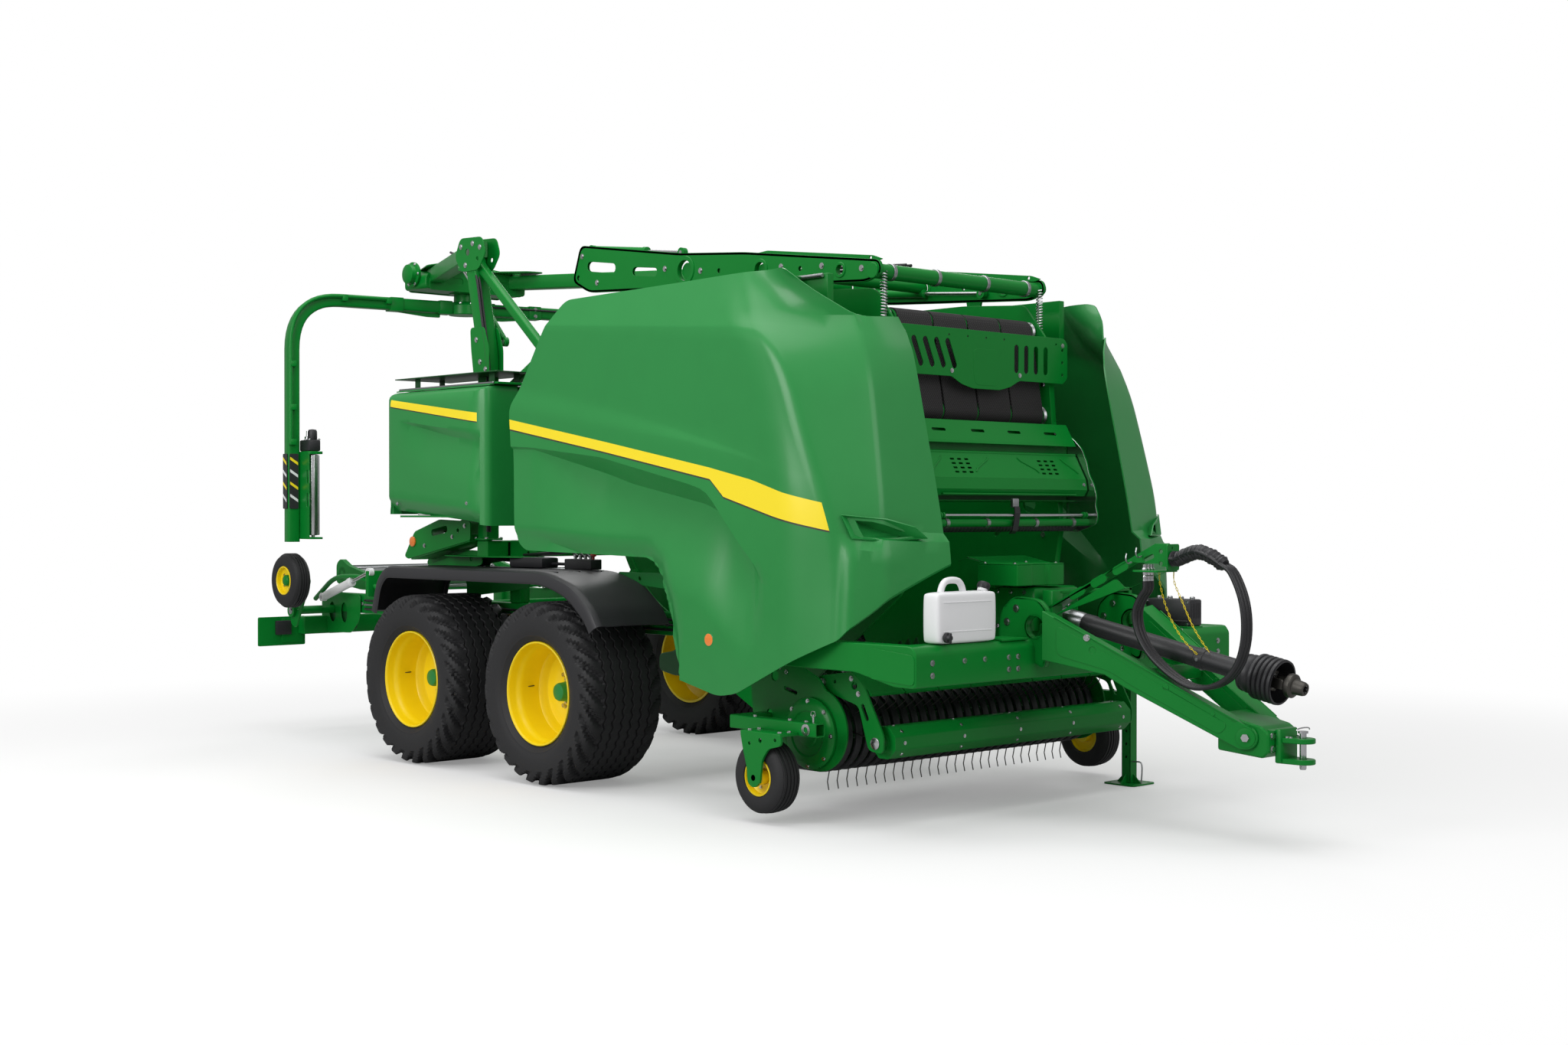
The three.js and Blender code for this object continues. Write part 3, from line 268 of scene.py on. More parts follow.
green = paint("green_paint", linear(26, 134, 58), coat=0.3)
frame_green = paint("frame_green_paint", linear(4, 124, 42), 0.36, 0.12, gloss=0.2)
# painted shade: a darker copy of the machine's green, for the parts that sit in shade
shade_painted_green = paint("dark_green_paint", linear(8, 78, 30), 0.5, 0.15)
yellow = paint("yellow_paint", linear(255, 221, 8), 0.4, 0.3, spread=0.03)
stripe_yellow = paint("stripe_film", linear(255, 228, 30), 0.45, 0.2, spread=0.02)
outline_black = paint("outline_film", linear(58, 58, 50), 0.5, 0.1)

# %% [markdown]
# Rubber is matt and slightly grey where it has been handled: a fine grain roughens it, and a slow
# noise lightens it. Plastic mouldings have a leather-like grain, and hoses a smooth, faintly
# polished skin. Bright metal is brushed or plated steel, with streaks in its gloss.

# %% Rubber, plastic and metal


def rough_skin(name, color, roughness, grain, relief, spread=0.25, **fixed):
    made = Surface(name, color, roughness, **fixed)
    slow = made.noise(3.0, 4)
    tiny = made.noise(grain, 3)
    low, high = shade(color, 1 - spread), shade(color, 1 + spread)
    made.set(**{
        "Base Color": made.mix(slow * 0.5 + tiny * 0.5, low, high),
        "Roughness": roughness - 0.08 + tiny * 0.16,
        "Normal": made.bump(tiny, relief),
    })
    return made.material


tyre_rubber = rough_skin("tyre_rubber", linear(31, 31, 33), 0.66, 180, 0.0004)
black_plastic = rough_skin("black_plastic", linear(38, 38, 41), 0.46, 420, 0.00012, 0.12)
hose_rubber = rough_skin("hose_rubber", linear(30, 30, 33), 0.40, 300, 0.00006, 0.12)
white_plastic = rough_skin("white_plastic", linear(238, 238, 240), 0.4, 240, 0.00006, 0.03)


def metal(name, color, roughness, streaks):
    made = Surface(name, color, roughness, 1.0)
    stretch = made.node("ShaderNodeMapping", {}, {"Vector": made.where, "Scale": (streaks, streaks, 6)})
    brushed = made.noise(14, 3, stretch)
    made.set(**{
        "Base Color": made.mix(brushed, shade(color, 0.85), shade(color, 1.1)),
        "Roughness": roughness - 0.06 + brushed * 0.14,
    })
    return made.material


steel = metal("steel", linear(172, 174, 176), 0.34, 40)
bright_steel = metal("plated_steel", linear(205, 206, 208), 0.2, 20)
tine_steel = metal("tine_steel", linear(88, 86, 82), 0.42, 30)
orange_lens = rough_skin("orange_lens", linear(240, 132, 48), 0.25, 300, 0.0002, 0.08,
                         **{"Coat Weight": 0.6})
red_lens = rough_skin("red_lens", linear(190, 24, 20), 0.25, 300, 0.0002, 0.08, **{"Coat Weight": 0.6})


def woven_belt():
    """Baling belt: black rubber with the diamond relief that grips the bale."""
    made = Surface("belt_rubber", linear(40, 38, 39), 0.6)
    across = made.node("ShaderNodeTexWave", {"bands_direction": "DIAGONAL"},
                       {"Vector": made.where, "Scale": 42.0})
    flip = made.node("ShaderNodeMapping", {}, {"Vector": made.where, "Scale": (1, -1, 1)})
    back = made.node("ShaderNodeTexWave", {"bands_direction": "DIAGONAL"},
                     {"Vector": flip, "Scale": 42.0})
    weave = across * back
    made.set(**{
        "Base Color": made.mix(weave, shade(made.color, 0.5), shade(made.color, 2.1)),
        "Roughness": 0.75 - weave * 0.25,
        "Normal": made.bump(weave, 0.0015),
    })
    return made.material


belt_rubber = woven_belt()
print(len(bpy.data.materials), "materials")

# %% [markdown]
# The floor is one big pale plane. It is stage, not machine, and only has to catch the shadow. Near
# the machine it is an ordinary matt floor; further out it melts into the white of the hall, so that
# no horizon shows.

# %% Floor


def hall_floor():
    made = Surface("floor", (0.9, 0.9, 0.9), 0.9)
    ray = made.node("ShaderNodeLightPath", output="Is Camera Ray")
    made.set(**{"Base Color": made.mix(ray, (0.42, 0.42, 0.42, 1), (0.9, 0.9, 0.9, 1))})
    reach = made.node("ShaderNodeVectorMath", {"operation": "LENGTH"}, [made.where], output="Value")
    white = made.node("ShaderNodeEmission", {}, {"Color": (1, 1, 1, 1), "Strength": 1.0})
    fade = (reach.eased(3.2, 8.5) * 0.75 + 0.25) * ray
    mixed = made.node("ShaderNodeMixShader", {}, [fade])
    made.tree.links.new(made.shader.outputs[0], mixed.socket.node.inputs[1])
    made.tree.links.new(white.socket, mixed.socket.node.inputs[2])
    made.tree.links.new(mixed.socket, made.tree.nodes["Material Output"].inputs["Surface"])
    return made.material


FLOOR = 60
floor_mesh = bpy.data.meshes.new("floor")
corners = [(x * FLOOR, y * FLOOR, 0) for x, y in ((-1, -1), (1, -1), (1, 1), (-1, 1))]
floor_mesh.from_pydata(corners, [], [(0, 1, 2, 3)])
floor_mesh.materials.append(hall_floor())
floor = linked("floor", floor_mesh)

# %% [markdown]
# Workshop parts are cut, turned, bent and welded, so the helpers do the same: `sheet_cut` cuts a
# plate with its holes, `turned` spins a profile, `pipe` bends a tube along a path and `block` is a
# bar with broken edges. Each gives a closed mesh in its own place. A flat 2D curve does the cutting,
# because it fills an outline with any number of holes and breaks the edges in one go.

# %% Cutting, turning and bending


def corner_curve(first, corner, last, steps, count):
    """The curve that bends round a corner: the first `count` points of `steps` + 1."""
    return [(1 - t) ** 2 * first + 2 * t * (1 - t) * corner + t * t * last
            for t in (k / steps for k in range(count))]


def rounded(points, radius, steps=5):
    """A closed outline with its corners turned into arcs."""
    made = []
    count = len(points)
    for i in range(count):
        corner = Vector(points[i]).to_2d()
        before = Vector(points[i - 1]).to_2d() - corner
        after = Vector(points[(i + 1) % count]).to_2d() - corner
        reach = min(radius, before.length * 0.45, after.length * 0.45)
        start = corner + before.normalized() * reach
        end = corner + after.normalized() * reach
        made += [tuple(p) for p in corner_curve(start, corner, end, steps, steps + 1)]
    return made


def oblong(x0, y0, x1, y1):
    """The outline of a rectangle between two corners."""
    return [(x0, y0), (x1, y0), (x1, y1), (x0, y1)]


def ring(x, y, radius, sides=20, squash=1.0, turn=0.0):
    """A round or oval outline."""
    made = []
    for k in range(sides):
        a = 2 * math.pi * k / sides
        u, v = radius * math.cos(a), radius * squash * math.sin(a)
        made.append((x + u * math.cos(turn) - v * math.sin(turn),
                     y + u * math.sin(turn) + v * math.cos(turn)))
    return made


def slot_hole(x0, y0, x1, y1, radius, steps=6):
    """A long hole with round ends from one centre to the other."""
    turn = math.atan2(y1 - y0, x1 - x0)
    ends = [(x1, y1, turn - math.pi / 2), (x0, y0, turn + math.pi / 2)]
    return [(x + radius * math.cos(a + math.pi * k / steps),
             y + radius * math.sin(a + math.pi * k / steps)) for x, y, a in ends
            for k in range(steps + 1)]


def sheet_cut(outline, thickness, holes=(), edge=0.001):
    """A plate in the XY plane, centred on Z = 0."""
    curve = bpy.data.curves.new("cut", "CURVE")
    curve.dimensions = "2D"
    curve.fill_mode = "BOTH"
    edge = min(edge, thickness * 0.4)
    curve.extrude = thickness / 2 - edge
    curve.bevel_depth = edge
    curve.bevel_resolution = 0
    curve.offset = -edge
    for line in (outline, *holes):
        spline = curve.splines.new("POLY")
        spline.points.add(len(line) - 1)
        spline.points.foreach_set("co", [c for x, y in line for c in (x, y, 0, 1)])
        spline.use_cyclic_u = True
    holder = bpy.data.objects.new("cut", curve)
    mesh = bpy.data.meshes.new_from_object(holder)
    bpy.data.objects.remove(holder)
    bpy.data.curves.remove(curve)
    return mesh


def from_rings(rings, wrap=False):
    """A mesh through rings of equally many points. Both ends are capped unless they meet."""
    sides = len(rings[0])
    points = [p for line in rings for p in line]
    faces = []
    for r in range(len(rings) if wrap else len(rings) - 1):
        a, b = r * sides, ((r + 1) % len(rings)) * sides
        faces += [(a + k, a + (k + 1) % sides, b + (k + 1) % sides, b + k) for k in range(sides)]
    if not wrap:
        faces += [tuple(range(sides))[::-1], tuple(range(len(points) - sides, len(points)))]
    mesh = bpy.data.meshes.new("rings")
    mesh.from_pydata([tuple(p) for p in points], [], faces)
    return mesh


def turned(profile, sides=32):
    """A closed body of revolution about Z from [radius, height] points, from axis to axis or in a loop."""
    loop = profile[0][0] > 0
    rings = []
    for k in range(sides):
        a = 2 * math.pi * k / sides
        rings.append([(r * math.cos(a), r * math.sin(a), h) for r, h in profile])
    return from_rings(rings, wrap=True) if loop else spun(profile, sides)


def spun(profile, sides):
    """A body of revolution whose profile starts and ends on the axis."""
    middle = profile[1:-1]
    mesh = bpy.data.meshes.new("spun")
    points = [(0, 0, profile[0][1]), (0, 0, profile[-1][1])]
    for r, h in middle:
        points += [(r * math.cos(2 * math.pi * k / sides), r * math.sin(2 * math.pi * k / sides), h)
                   for k in range(sides)]
    faces = []
    last = 2 + (len(middle) - 1) * sides
    for k in range(sides):
        n = (k + 1) % sides
        faces.append((0, 2 + n, 2 + k))
        faces.append((1, last + k, last + n))
        for m in range(len(middle) - 1):
            a, b = 2 + m * sides, 2 + (m + 1) * sides
            faces.append((a + k, a + n, b + n, b + k))
    mesh.from_pydata(points, [], faces)
    return mesh


def smooth_path(points, per=4):
    """Points on a smooth curve through the given ones (a centripetal Catmull-Rom curve)."""
    p = [Vector(q) for q in points]
    p = [p[0] * 2 - p[1], *p, p[-1] * 2 - p[-2]]
    made = []
    for a, b, c, d in zip(p, p[1:], p[2:], p[3:]):
        ab, bc, cd = ((v - u).length ** 0.5 for u, v in ((a, b), (b, c), (c, d)))
        leave = ((b - a) / ab - (c - a) / (ab + bc) + (c - b) / bc) * bc
        arrive = ((c - b) / bc - (d - b) / (bc + cd) + (d - c) / cd) * bc
        for t in (k / per for k in range(per)):
            made.append(b * (2 * t**3 - 3 * t * t + 1) + leave * (t**3 - 2 * t * t + t)
                        + c * (3 * t * t - 2 * t**3) + arrive * (t**3 - t * t))
    return [*made, p[-2]]


def pipe(points, radius, sides=12):
    """A round bar or tube along a path. `radius` is a number or one for each point."""
    path = [Vector(q) for q in points]
    radii = radius if hasattr(radius, "__len__") else [radius] * len(path)
    along = (path[1] - path[0]).normalized()
    across = along.orthogonal().normalized()
    rings = []
    for i, centre in enumerate(path):
        ahead = (path[min(i + 1, len(path) - 1)] - path[max(i - 1, 0)]).normalized()
        across = (across - ahead * across.dot(ahead)).normalized()
        third = ahead.cross(across)
        rings.append([centre + radii[i] * (across * math.cos(a) + third * math.sin(a))
                      for a in (2 * math.pi * k / sides for k in range(sides))])
    return from_rings(rings)


def bar(start, end, radius, sides=16, edge=0.002):
    """A straight round bar with broken edges."""
    a, b = Vector(start), Vector(end)
    step = (b - a).normalized() * edge
    return pipe([a, a + step, b - step, b], [radius - edge, radius, radius, radius - edge], sides)


def mesh_of(bm):
    """The mesh of a bmesh. Uses the bmesh up."""
    mesh = bpy.data.meshes.new("part")
    bm.to_mesh(mesh)
    bm.free()
    return mesh


def block(low, high, edge=0.003):
    """A straight bar or box between two corners, with its edges broken."""
    bm = bmesh.new()
    bmesh.ops.create_cube(bm, size=1.0)
    size = Vector(high) - Vector(low)
    bmesh.ops.scale(bm, vec=size, verts=bm.verts)
    bmesh.ops.translate(bm, vec=(Vector(high) + Vector(low)) / 2, verts=bm.verts)
    bmesh.ops.bevel(bm, geom=bm.edges, offset=min(edge, min(size) * 0.4), segments=2, affect="EDGES",
                    profile=0.5)
    return mesh_of(bm)


def girder(start, end, width, height, edge=0.004):
    """A box section from start to end, `width` across and `height` up."""
    a, b = Vector(start), Vector(end)
    mesh = block((-width / 2, -height / 2, 0), (width / 2, height / 2, (b - a).length), edge)
    mesh.transform(line_up(a, b))
    return mesh


def line_up(start, end):
    """The matrix that lays local Z from start towards end, with local Y upward."""
    a, b = Vector(start), Vector(end)
    ahead = (b - a).normalized()
    upward = Vector((1, 0, 0)) if abs(ahead.z) > 0.99 else Vector((0, 0, 1))
    across = upward.cross(ahead).normalized()
    turn = Matrix((across, ahead.cross(across), ahead)).transposed().to_4x4()
    return Matrix.Translation(a) @ turn


def facing(axis, distance):
    """The matrix that stands a flat plate up: "y" keeps X and Z, "x" keeps Y and Z, "z" lies flat."""
    columns = {"y": ((1, 0, 0), (0, 0, 1), (0, -1, 0)), "x": ((0, 1, 0), (0, 0, 1), (1, 0, 0)),
               "z": ((1, 0, 0), (0, 1, 0), (0, 0, 1))}[axis]
    shift = {"y": (0, distance, 0), "x": (distance, 0, 0), "z": (0, 0, distance)}[axis]
    return Matrix.Translation(shift) @ Matrix(columns).transposed().to_4x4()


# %% [markdown]
# A finished piece is many such parts welded together, each with its own finish. `Piece` gathers
# them, can mirror itself to the machine's other side, and at the end becomes one mesh that rides
# on its body and stands for its plain frame parts. Smooth shading with sharp edges above 32 degrees
# keeps round things round and flat things flat.

# %% Pieces
SHARP = math.radians(32)
made_pieces = []


class Piece:
    """One piece of the machine while it is put together."""

    def __init__(self, name, body, slot, replaced=()):
        self.name, self.body, self.slot_name, self.replaced = name, body, slot, replaced
        self.bm = bmesh.new()
        self.materials = []

    def add(self, mesh, material, matrix=None):
        """Welds a mesh on and uses it up. A list of materials follows the mesh's own face marks."""
        if matrix is not None:
            mesh.transform(matrix)
        given = material if isinstance(material, list) else [material]
        marked = len(given) > 1
        tidy = bmesh.new()
        tidy.from_mesh(mesh)
        bmesh.ops.remove_doubles(tidy, verts=tidy.verts, dist=1e-5)
        bmesh.ops.recalc_face_normals(tidy, faces=tidy.faces)
        for finish in given:
            if finish not in self.materials:
                self.materials.append(finish)
        for face in tidy.faces:
            face.material_index = self.materials.index(given[face.material_index if marked else 0])
        tidy.to_mesh(mesh)
        tidy.free()
        self.bm.from_mesh(mesh)
        bpy.data.meshes.remove(mesh)
        return self

    def plate(self, outline, wall, axis, distance, corner=0, holes=(), finish=frame_green, edge=0.001,
              steps=5):
        """Welds on a plate, stood up by `facing`. `corner` rounds its outline."""
        shape = rounded(outline, corner, steps) if corner else outline
        return self.add(sheet_cut(shape, wall, holes, edge), finish, facing(axis, distance))

    def box(self, low, high, edge=0.003, finish=frame_green):
        """Welds on a box between two corners."""
        return self.add(block(low, high, edge), finish)

    def spread(self, template, places, finish=bright_steel):
        """Welds on a copy of the template at every matrix in `places`."""
        return self.add(copies(template, places, finish), finish)

    def join(self, other):
        """Welds another piece on and uses it up."""
        return self.add(mesh_of(other.bm), other.materials)

    def spin(self, profile, sides, matrix=None, finish=frame_green):
        """Welds on a turned part."""
        return self.add(turned(profile, sides), finish, matrix)

    def rod(self, start, end, radius, sides=16, finish=frame_green):
        """Welds on a straight round bar."""
        return self.add(bar(start, end, radius, sides), finish)

    def tube(self, path, radius, sides=12, finish=frame_green):
        """Welds on a bent round bar or hose."""
        return self.add(pipe(path, radius, sides), finish)

    def flip(self):
        """Turns the piece into its mirror image on the machine's other side."""
        for vertex in self.bm.verts:
            vertex.co.y *= -1
        bmesh.ops.reverse_faces(self.bm, faces=self.bm.faces)
        return self

    def both_sides(self):
        """Adds the piece's mirror image to it."""
        copy = bmesh.ops.duplicate(self.bm, geom=self.bm.verts[:] + self.bm.edges[:] + self.bm.faces[:])
        for item in copy["geom"]:
            if isinstance(item, bmesh.types.BMVert):
                item.co.y *= -1
        bmesh.ops.reverse_faces(self.bm, faces=[f for f in copy["geom"]
                                                if isinstance(f, bmesh.types.BMFace)])
        return self

    def done(self, turn=None):
        """Makes the object, at its place in the frame."""
        bmesh.ops.remove_doubles(self.bm, verts=self.bm.verts, dist=1e-5)
        mesh = bpy.data.meshes.new(self.name)
        self.bm.to_mesh(mesh)
        self.bm.free()
        mesh.transform(to_frame @ turn if turn else to_frame)
        for material in self.materials:
            mesh.materials.append(material)
        mesh.polygons.foreach_set("use_smooth", [True] * len(mesh.polygons))
        mesh.set_sharp_from_angle(angle=SHARP)
        made = linked(self.name, mesh)
        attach(made, self.body)
        if self.replaced:
            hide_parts(*self.replaced)
        made_pieces.append(made)
        return made


def left_and_right(name, body, slot, replaced, build):
    """Builds a piece on the left and its mirror image on the right."""
    for side in ("left", "right"):
        piece = Piece(f"{name}_{side}", body.format(side), slot, [r.format(side) for r in replaced])
        build(piece)
        if side == "right":
            piece.flip()
        piece.done()


# %% [markdown]
# Screws, tines, tread blocks and ribs repeat. One Geometry Nodes tree does them all: it takes a
# template and a set of points, each with its own turn and size, puts a copy of the template on
# every point, and makes the copies real. The points come from short loops, and the result is baked
# into a plain mesh that a piece can weld on.

# %% Copies on points


def copy_tree():
    tree = bpy.data.node_groups.new("copies_on_points", "GeometryNodeTree")
    face = tree.interface
    face.new_socket("Points", in_out="INPUT", socket_type="NodeSocketGeometry")
    face.new_socket("Template", in_out="INPUT", socket_type="NodeSocketObject")
    face.new_socket("Finish", in_out="INPUT", socket_type="NodeSocketMaterial")
    face.new_socket("Copies", in_out="OUTPUT", socket_type="NodeSocketGeometry")
    entry = tree.nodes.new("NodeGroupInput")
    leave = tree.nodes.new("NodeGroupOutput")
    template = tree.nodes.new("GeometryNodeObjectInfo")
    spread = tree.nodes.new("GeometryNodeInstanceOnPoints")
    turn = tree.nodes.new("GeometryNodeInputNamedAttribute")
    turn.data_type = "FLOAT_VECTOR"
    turn.inputs["Name"].default_value = "turn"
    size = tree.nodes.new("GeometryNodeInputNamedAttribute")
    size.data_type = "FLOAT_VECTOR"
    size.inputs["Name"].default_value = "size"
    real = tree.nodes.new("GeometryNodeRealizeInstances")
    finish = tree.nodes.new("GeometryNodeSetMaterial")
    link = tree.links.new
    link(entry.outputs["Points"], spread.inputs["Points"])
    link(entry.outputs["Template"], template.inputs["Object"])
    link(template.outputs["Geometry"], spread.inputs["Instance"])
    link(turn.outputs["Attribute"], spread.inputs["Rotation"])
    link(size.outputs["Attribute"], spread.inputs["Scale"])
    link(spread.outputs["Instances"], real.inputs["Geometry"])
    link(real.outputs["Geometry"], finish.inputs["Geometry"])
    link(entry.outputs["Finish"], finish.inputs["Material"])
    link(finish.outputs["Geometry"], leave.inputs["Copies"])
    return tree


copies_on_points = copy_tree()


def evaluated(holder):
    """The mesh of an object after its modifiers. Uses the object up."""
    graph = bpy.context.evaluated_depsgraph_get()
    mesh = bpy.data.meshes.new_from_object(holder.evaluated_get(graph))
    bpy.data.objects.remove(holder)
    return mesh


def baked(tree, base_mesh, **settings):
    """Runs a tree on a mesh and gives the plain mesh that comes out."""
    holder = linked("points", base_mesh)
    modifier = holder.modifiers.new("tree", "NODES")
    modifier.node_group = tree
    for item in tree.interface.items_tree:
        if item.in_out == "INPUT" and item.name in settings:
            modifier[item.identifier] = settings[item.name]
    return evaluated(holder)


def copies(template, places, material):
    """The template at every matrix in `places`, as one mesh."""
    points = bpy.data.meshes.new("points")
    points.from_pydata([m.to_translation() for m in places], [], [])
    turns = points.attributes.new("turn", "FLOAT_VECTOR", "POINT")
    sizes = points.attributes.new("size", "FLOAT_VECTOR", "POINT")
    turns.data.foreach_set("vector", [c for m in places for c in m.to_euler()])
    sizes.data.foreach_set("vector", [c for m in places for c in m.to_scale()])
    holder = linked("template", template)
    mesh = baked(copies_on_points, points, Template=holder, Finish=material)
    bpy.data.objects.remove(holder)
    return mesh


def screw_head(radius=0.010, height=0.007):
    """A hexagon screw on its washer, standing on Z = 0."""
    bm = bmesh.new()
    for outline, low, high in (
            (ring(0, 0, radius * 1.45, 12), -0.002, 0.002), (ring(0, 0, radius, 6), 0.0, height)):
        mesh = from_rings([[(x, y, z) for x, y in outline] for z in (low, high)])
        bm.from_mesh(mesh)
        bpy.data.meshes.remove(mesh)
    return mesh_of(bm)


def outward(axis, sign=1):
    """The turn that points local Z along an axis of the machine."""
    return {"x": Matrix.Rotation(sign * math.pi / 2, 4, "Y"),
            "y": Matrix.Rotation(-sign * math.pi / 2, 4, "X"),
            "z": Matrix.Rotation(0 if sign > 0 else math.pi, 4, "X")}[axis]


def screws(piece, points, axis="y", sign=1, radius=0.010):
    """Screw heads on a piece, at points of its surface, facing along an axis."""
    piece.spread(screw_head(radius), [Matrix.Translation(p) @ outward(axis, sign) for p in points])


def round_axis(here, count, reach, height):
    """Places in a ring round the local Z of `here`."""
    turns = (Matrix.Rotation(2 * math.pi * k / count, 4, "Z") for k in range(count))
    return [here @ turn @ Matrix.Translation((reach, 0, height)) for turn in turns]


print("helpers ready")

# %% [markdown]
# Three hydraulic hoses hang in a loop between a sleeve and their parking couplers. A hose keeps its
# length and bends evenly, so each is a round tube along one smooth curve. A fabric sleeve holds
# them together near the bracket: it is stiff, thick and a little wrinkled. The two guard chains are
# real chains, one link turned a quarter from the next, which keep the drive shaft's guard from
# turning.

# %% Hoses, sleeve and chains
HOSE_RADIUS = 0.0125
HOSE_SIDES = (-0.246, -0.220, -0.194)
hose_line = [(3.8623, 1.3258), (3.8995, 1.3042), (3.942, 1.235), (3.972, 1.150), (3.984, 1.055),
             (3.976, 0.955), (3.945, 0.865), (3.882, 0.790), (3.790, 0.748), (3.690, 0.742),
             (3.592, 0.780), (3.502, 0.838), (3.424, 0.912), (3.374, 1.000), (3.362, 1.090),
             (3.392, 1.160), (3.424, 1.204), (3.424, 1.240)]
sleeve_line = [(3.5183, -0.150, 1.350), (3.552, -0.150, 1.350), (3.620, -0.172, 1.370),
               (3.710, -0.205, 1.386), (3.800, -0.220, 1.362), (3.862, -0.220, 1.326)]


def line_length(points):
    return sum((b - a).length for a, b in zip(points, points[1:]))


def hose_sleeve():
    """The sleeve gathers in soft folds, so its radius varies along it."""
    path = smooth_path(sleeve_line, 12)
    radii = [0.0345 + 0.003 * math.sin(i * 1.9) + 0.0015 * math.sin(i * 0.7) for i in range(len(path))]
    radii[0] = radii[-1] = 0.03
    piece = Piece("hose_wrap", "chassis", "black_plastic", ["hose_sleeve"])
    piece.tube(path, radii, 20, black_plastic)
    return piece.done()


sleeve = hose_sleeve()
for number, side in enumerate(HOSE_SIDES, 1):
    inside = [(x, y + side - HOSE_SIDES[1], z) for x, y, z in sleeve_line[:-1]]
    route = smooth_path(inside + [(x, side, z) for x, z in hose_line], 4)
    hose = Piece(f"pressure_hose_{number}", "chassis", "hose_rubber", [f"hose_{number}"])
    hose.tube(route, HOSE_RADIUS, 16, hose_rubber)
    hose = hose.done()
    path = [place(*p) for p in route]
    round(line_length(path), 3)

chain_lines = [
    [(3.440, -0.150, 1.2837), (3.441, -0.148, 1.240), (3.462, -0.134, 1.130), (3.500, -0.108, 1.020),
     (3.545, -0.080, 0.940), (3.590, -0.051, 0.884)],
    [(3.490, -0.100, 1.2837), (3.491, -0.099, 1.240), (3.530, -0.080, 1.130), (3.575, -0.062, 1.020),
     (3.620, -0.044, 0.940), (3.648, -0.031, 0.896)]]
LINK = 0.016


def chain_link():
    """One oval link along local X, of round wire."""
    half, bend, wire = LINK * 0.38, 0.0036, 0.0014
    oval = [(half + bend * math.cos(a), bend * math.sin(a))
            for a in (math.radians(d) for d in range(-75, 90, 50))]
    oval += [(-x, -y) for x, y in oval]
    path = [(x, y, 0) for x, y in oval]
    rings = []
    for i, (x, y, _) in enumerate(path):
        before, after = Vector(path[i - 1]), Vector(path[(i + 1) % len(path)])
        ahead = (after - before).normalized()
        out = ahead.cross(Vector((0, 0, 1)))
        rings.append([Vector((x, y, 0)) + wire * (out * math.cos(k) + Vector((0, 0, 1)) * math.sin(k))
                      for k in (2 * math.pi * j / 6 for j in range(6))])
    return from_rings(rings, wrap=True)


def links_along(route):
    """One matrix for each link, alternately turned a quarter."""
    length = line_length(route)
    count = round(length / LINK)
    made, walked, spot = [], 0.0, 0
    for i in range(count):
        target = (i + 0.5) * length / count
        while walked + (route[spot + 1] - route[spot]).length < target:
            walked += (route[spot + 1] - route[spot]).length
            spot += 1
        a, b = route[spot], route[spot + 1]
        ahead = (b - a).normalized()
        turn = ahead.to_track_quat("X", "Z").to_matrix().to_4x4()
        made.append(Matrix.Translation(a + ahead * (target - walked)) @ turn
                    @ Matrix.Rotation(i * math.pi / 2, 4, "X"))
    return made


for number, line in enumerate(chain_lines, 1):
    route = smooth_path(line, 8)
    chain = Piece(f"link_chain_{number}", "chassis", "yellow_paint", [f"guard_chain_{number}"])
    chain.spread(chain_link(), links_along(route), stripe_yellow)
    chain = chain.done()
    path = [place(*p) for p in route]
    round(line_length(path), 3)
    print(chain.name, round(line_length(path), 3), "m")


# %% [markdown]
# Big panels are pressed or laid up in a mould: one thin wall with creases, a step or two, and a
# soft roll at the corner. `skin` makes such a wall from a grid of points. Each column runs up the
# panel, and its rows are the crease lines, so every crease is crisp without a very fine mesh. The
# grid is copied inwards by the wall's thickness and closed round its rim.

# %% Panels from a grid


def skin(grid, wall, finish_of=lambda column, row: 0):
    """A closed wall on a grid of points [column][row]. `wall` is its thickness to the inside."""
    p = np.array(grid, dtype=float)
    along = np.gradient(p, axis=0)
    up = np.gradient(p, axis=1)
    out = np.cross(up, along)
    out /= np.linalg.norm(out, axis=2, keepdims=True)
    inner = p - out * wall
    columns, rows = p.shape[:2]
    points = np.concatenate([p.reshape(-1, 3), inner.reshape(-1, 3)])
    back = columns * rows
    faces, marks = [], []
    for c in range(columns - 1):
        for r in range(rows - 1):
            a, b = c * rows + r, (c + 1) * rows + r
            mark = finish_of(c, r)
            faces += [(a, a + 1, b + 1, b), (a + back, b + back, b + back + 1, a + back + 1)]
            marks += [mark, 0]
    rim = [c * rows for c in range(columns)] + [(columns - 1) * rows + r for r in range(1, rows)]
    rim += [c * rows + rows - 1 for c in range(columns - 2, -1, -1)] + [r for r in range(rows - 2, 0, -1)]
    for a, b in zip(rim, [*rim[1:], rim[0]]):
        faces.append((a, b, b + back, a + back))
        marks.append(0)
    mesh = bpy.data.meshes.new("skin")
    mesh.from_pydata(points.tolist(), [], faces)
    mesh.polygons.foreach_set("material_index", marks)
    return mesh


def carve(mesh, tool, operation="INTERSECT"):
    """Cuts one closed mesh with another."""
    for item in (mesh, tool):
        bm = bmesh.new()
        bm.from_mesh(item)
        bmesh.ops.remove_doubles(bm, verts=bm.verts, dist=1e-5)
        bmesh.ops.recalc_face_normals(bm, faces=bm.faces)
        bm.to_mesh(item)
        bm.free()
    work, blade = linked("work", mesh), linked("blade", tool)
    modifier = work.modifiers.new("carve", "BOOLEAN")
    modifier.operation, modifier.solver, modifier.object = operation, "MANIFOLD", blade
    made = evaluated(work)
    bpy.data.objects.remove(blade)
    bpy.data.meshes.remove(tool)
    return made


def line_at(line, x):
    """The height of a line of [x, z] points at x."""
    xs, zs = zip(*sorted(line))
    return float(np.interp(x, xs, zs))


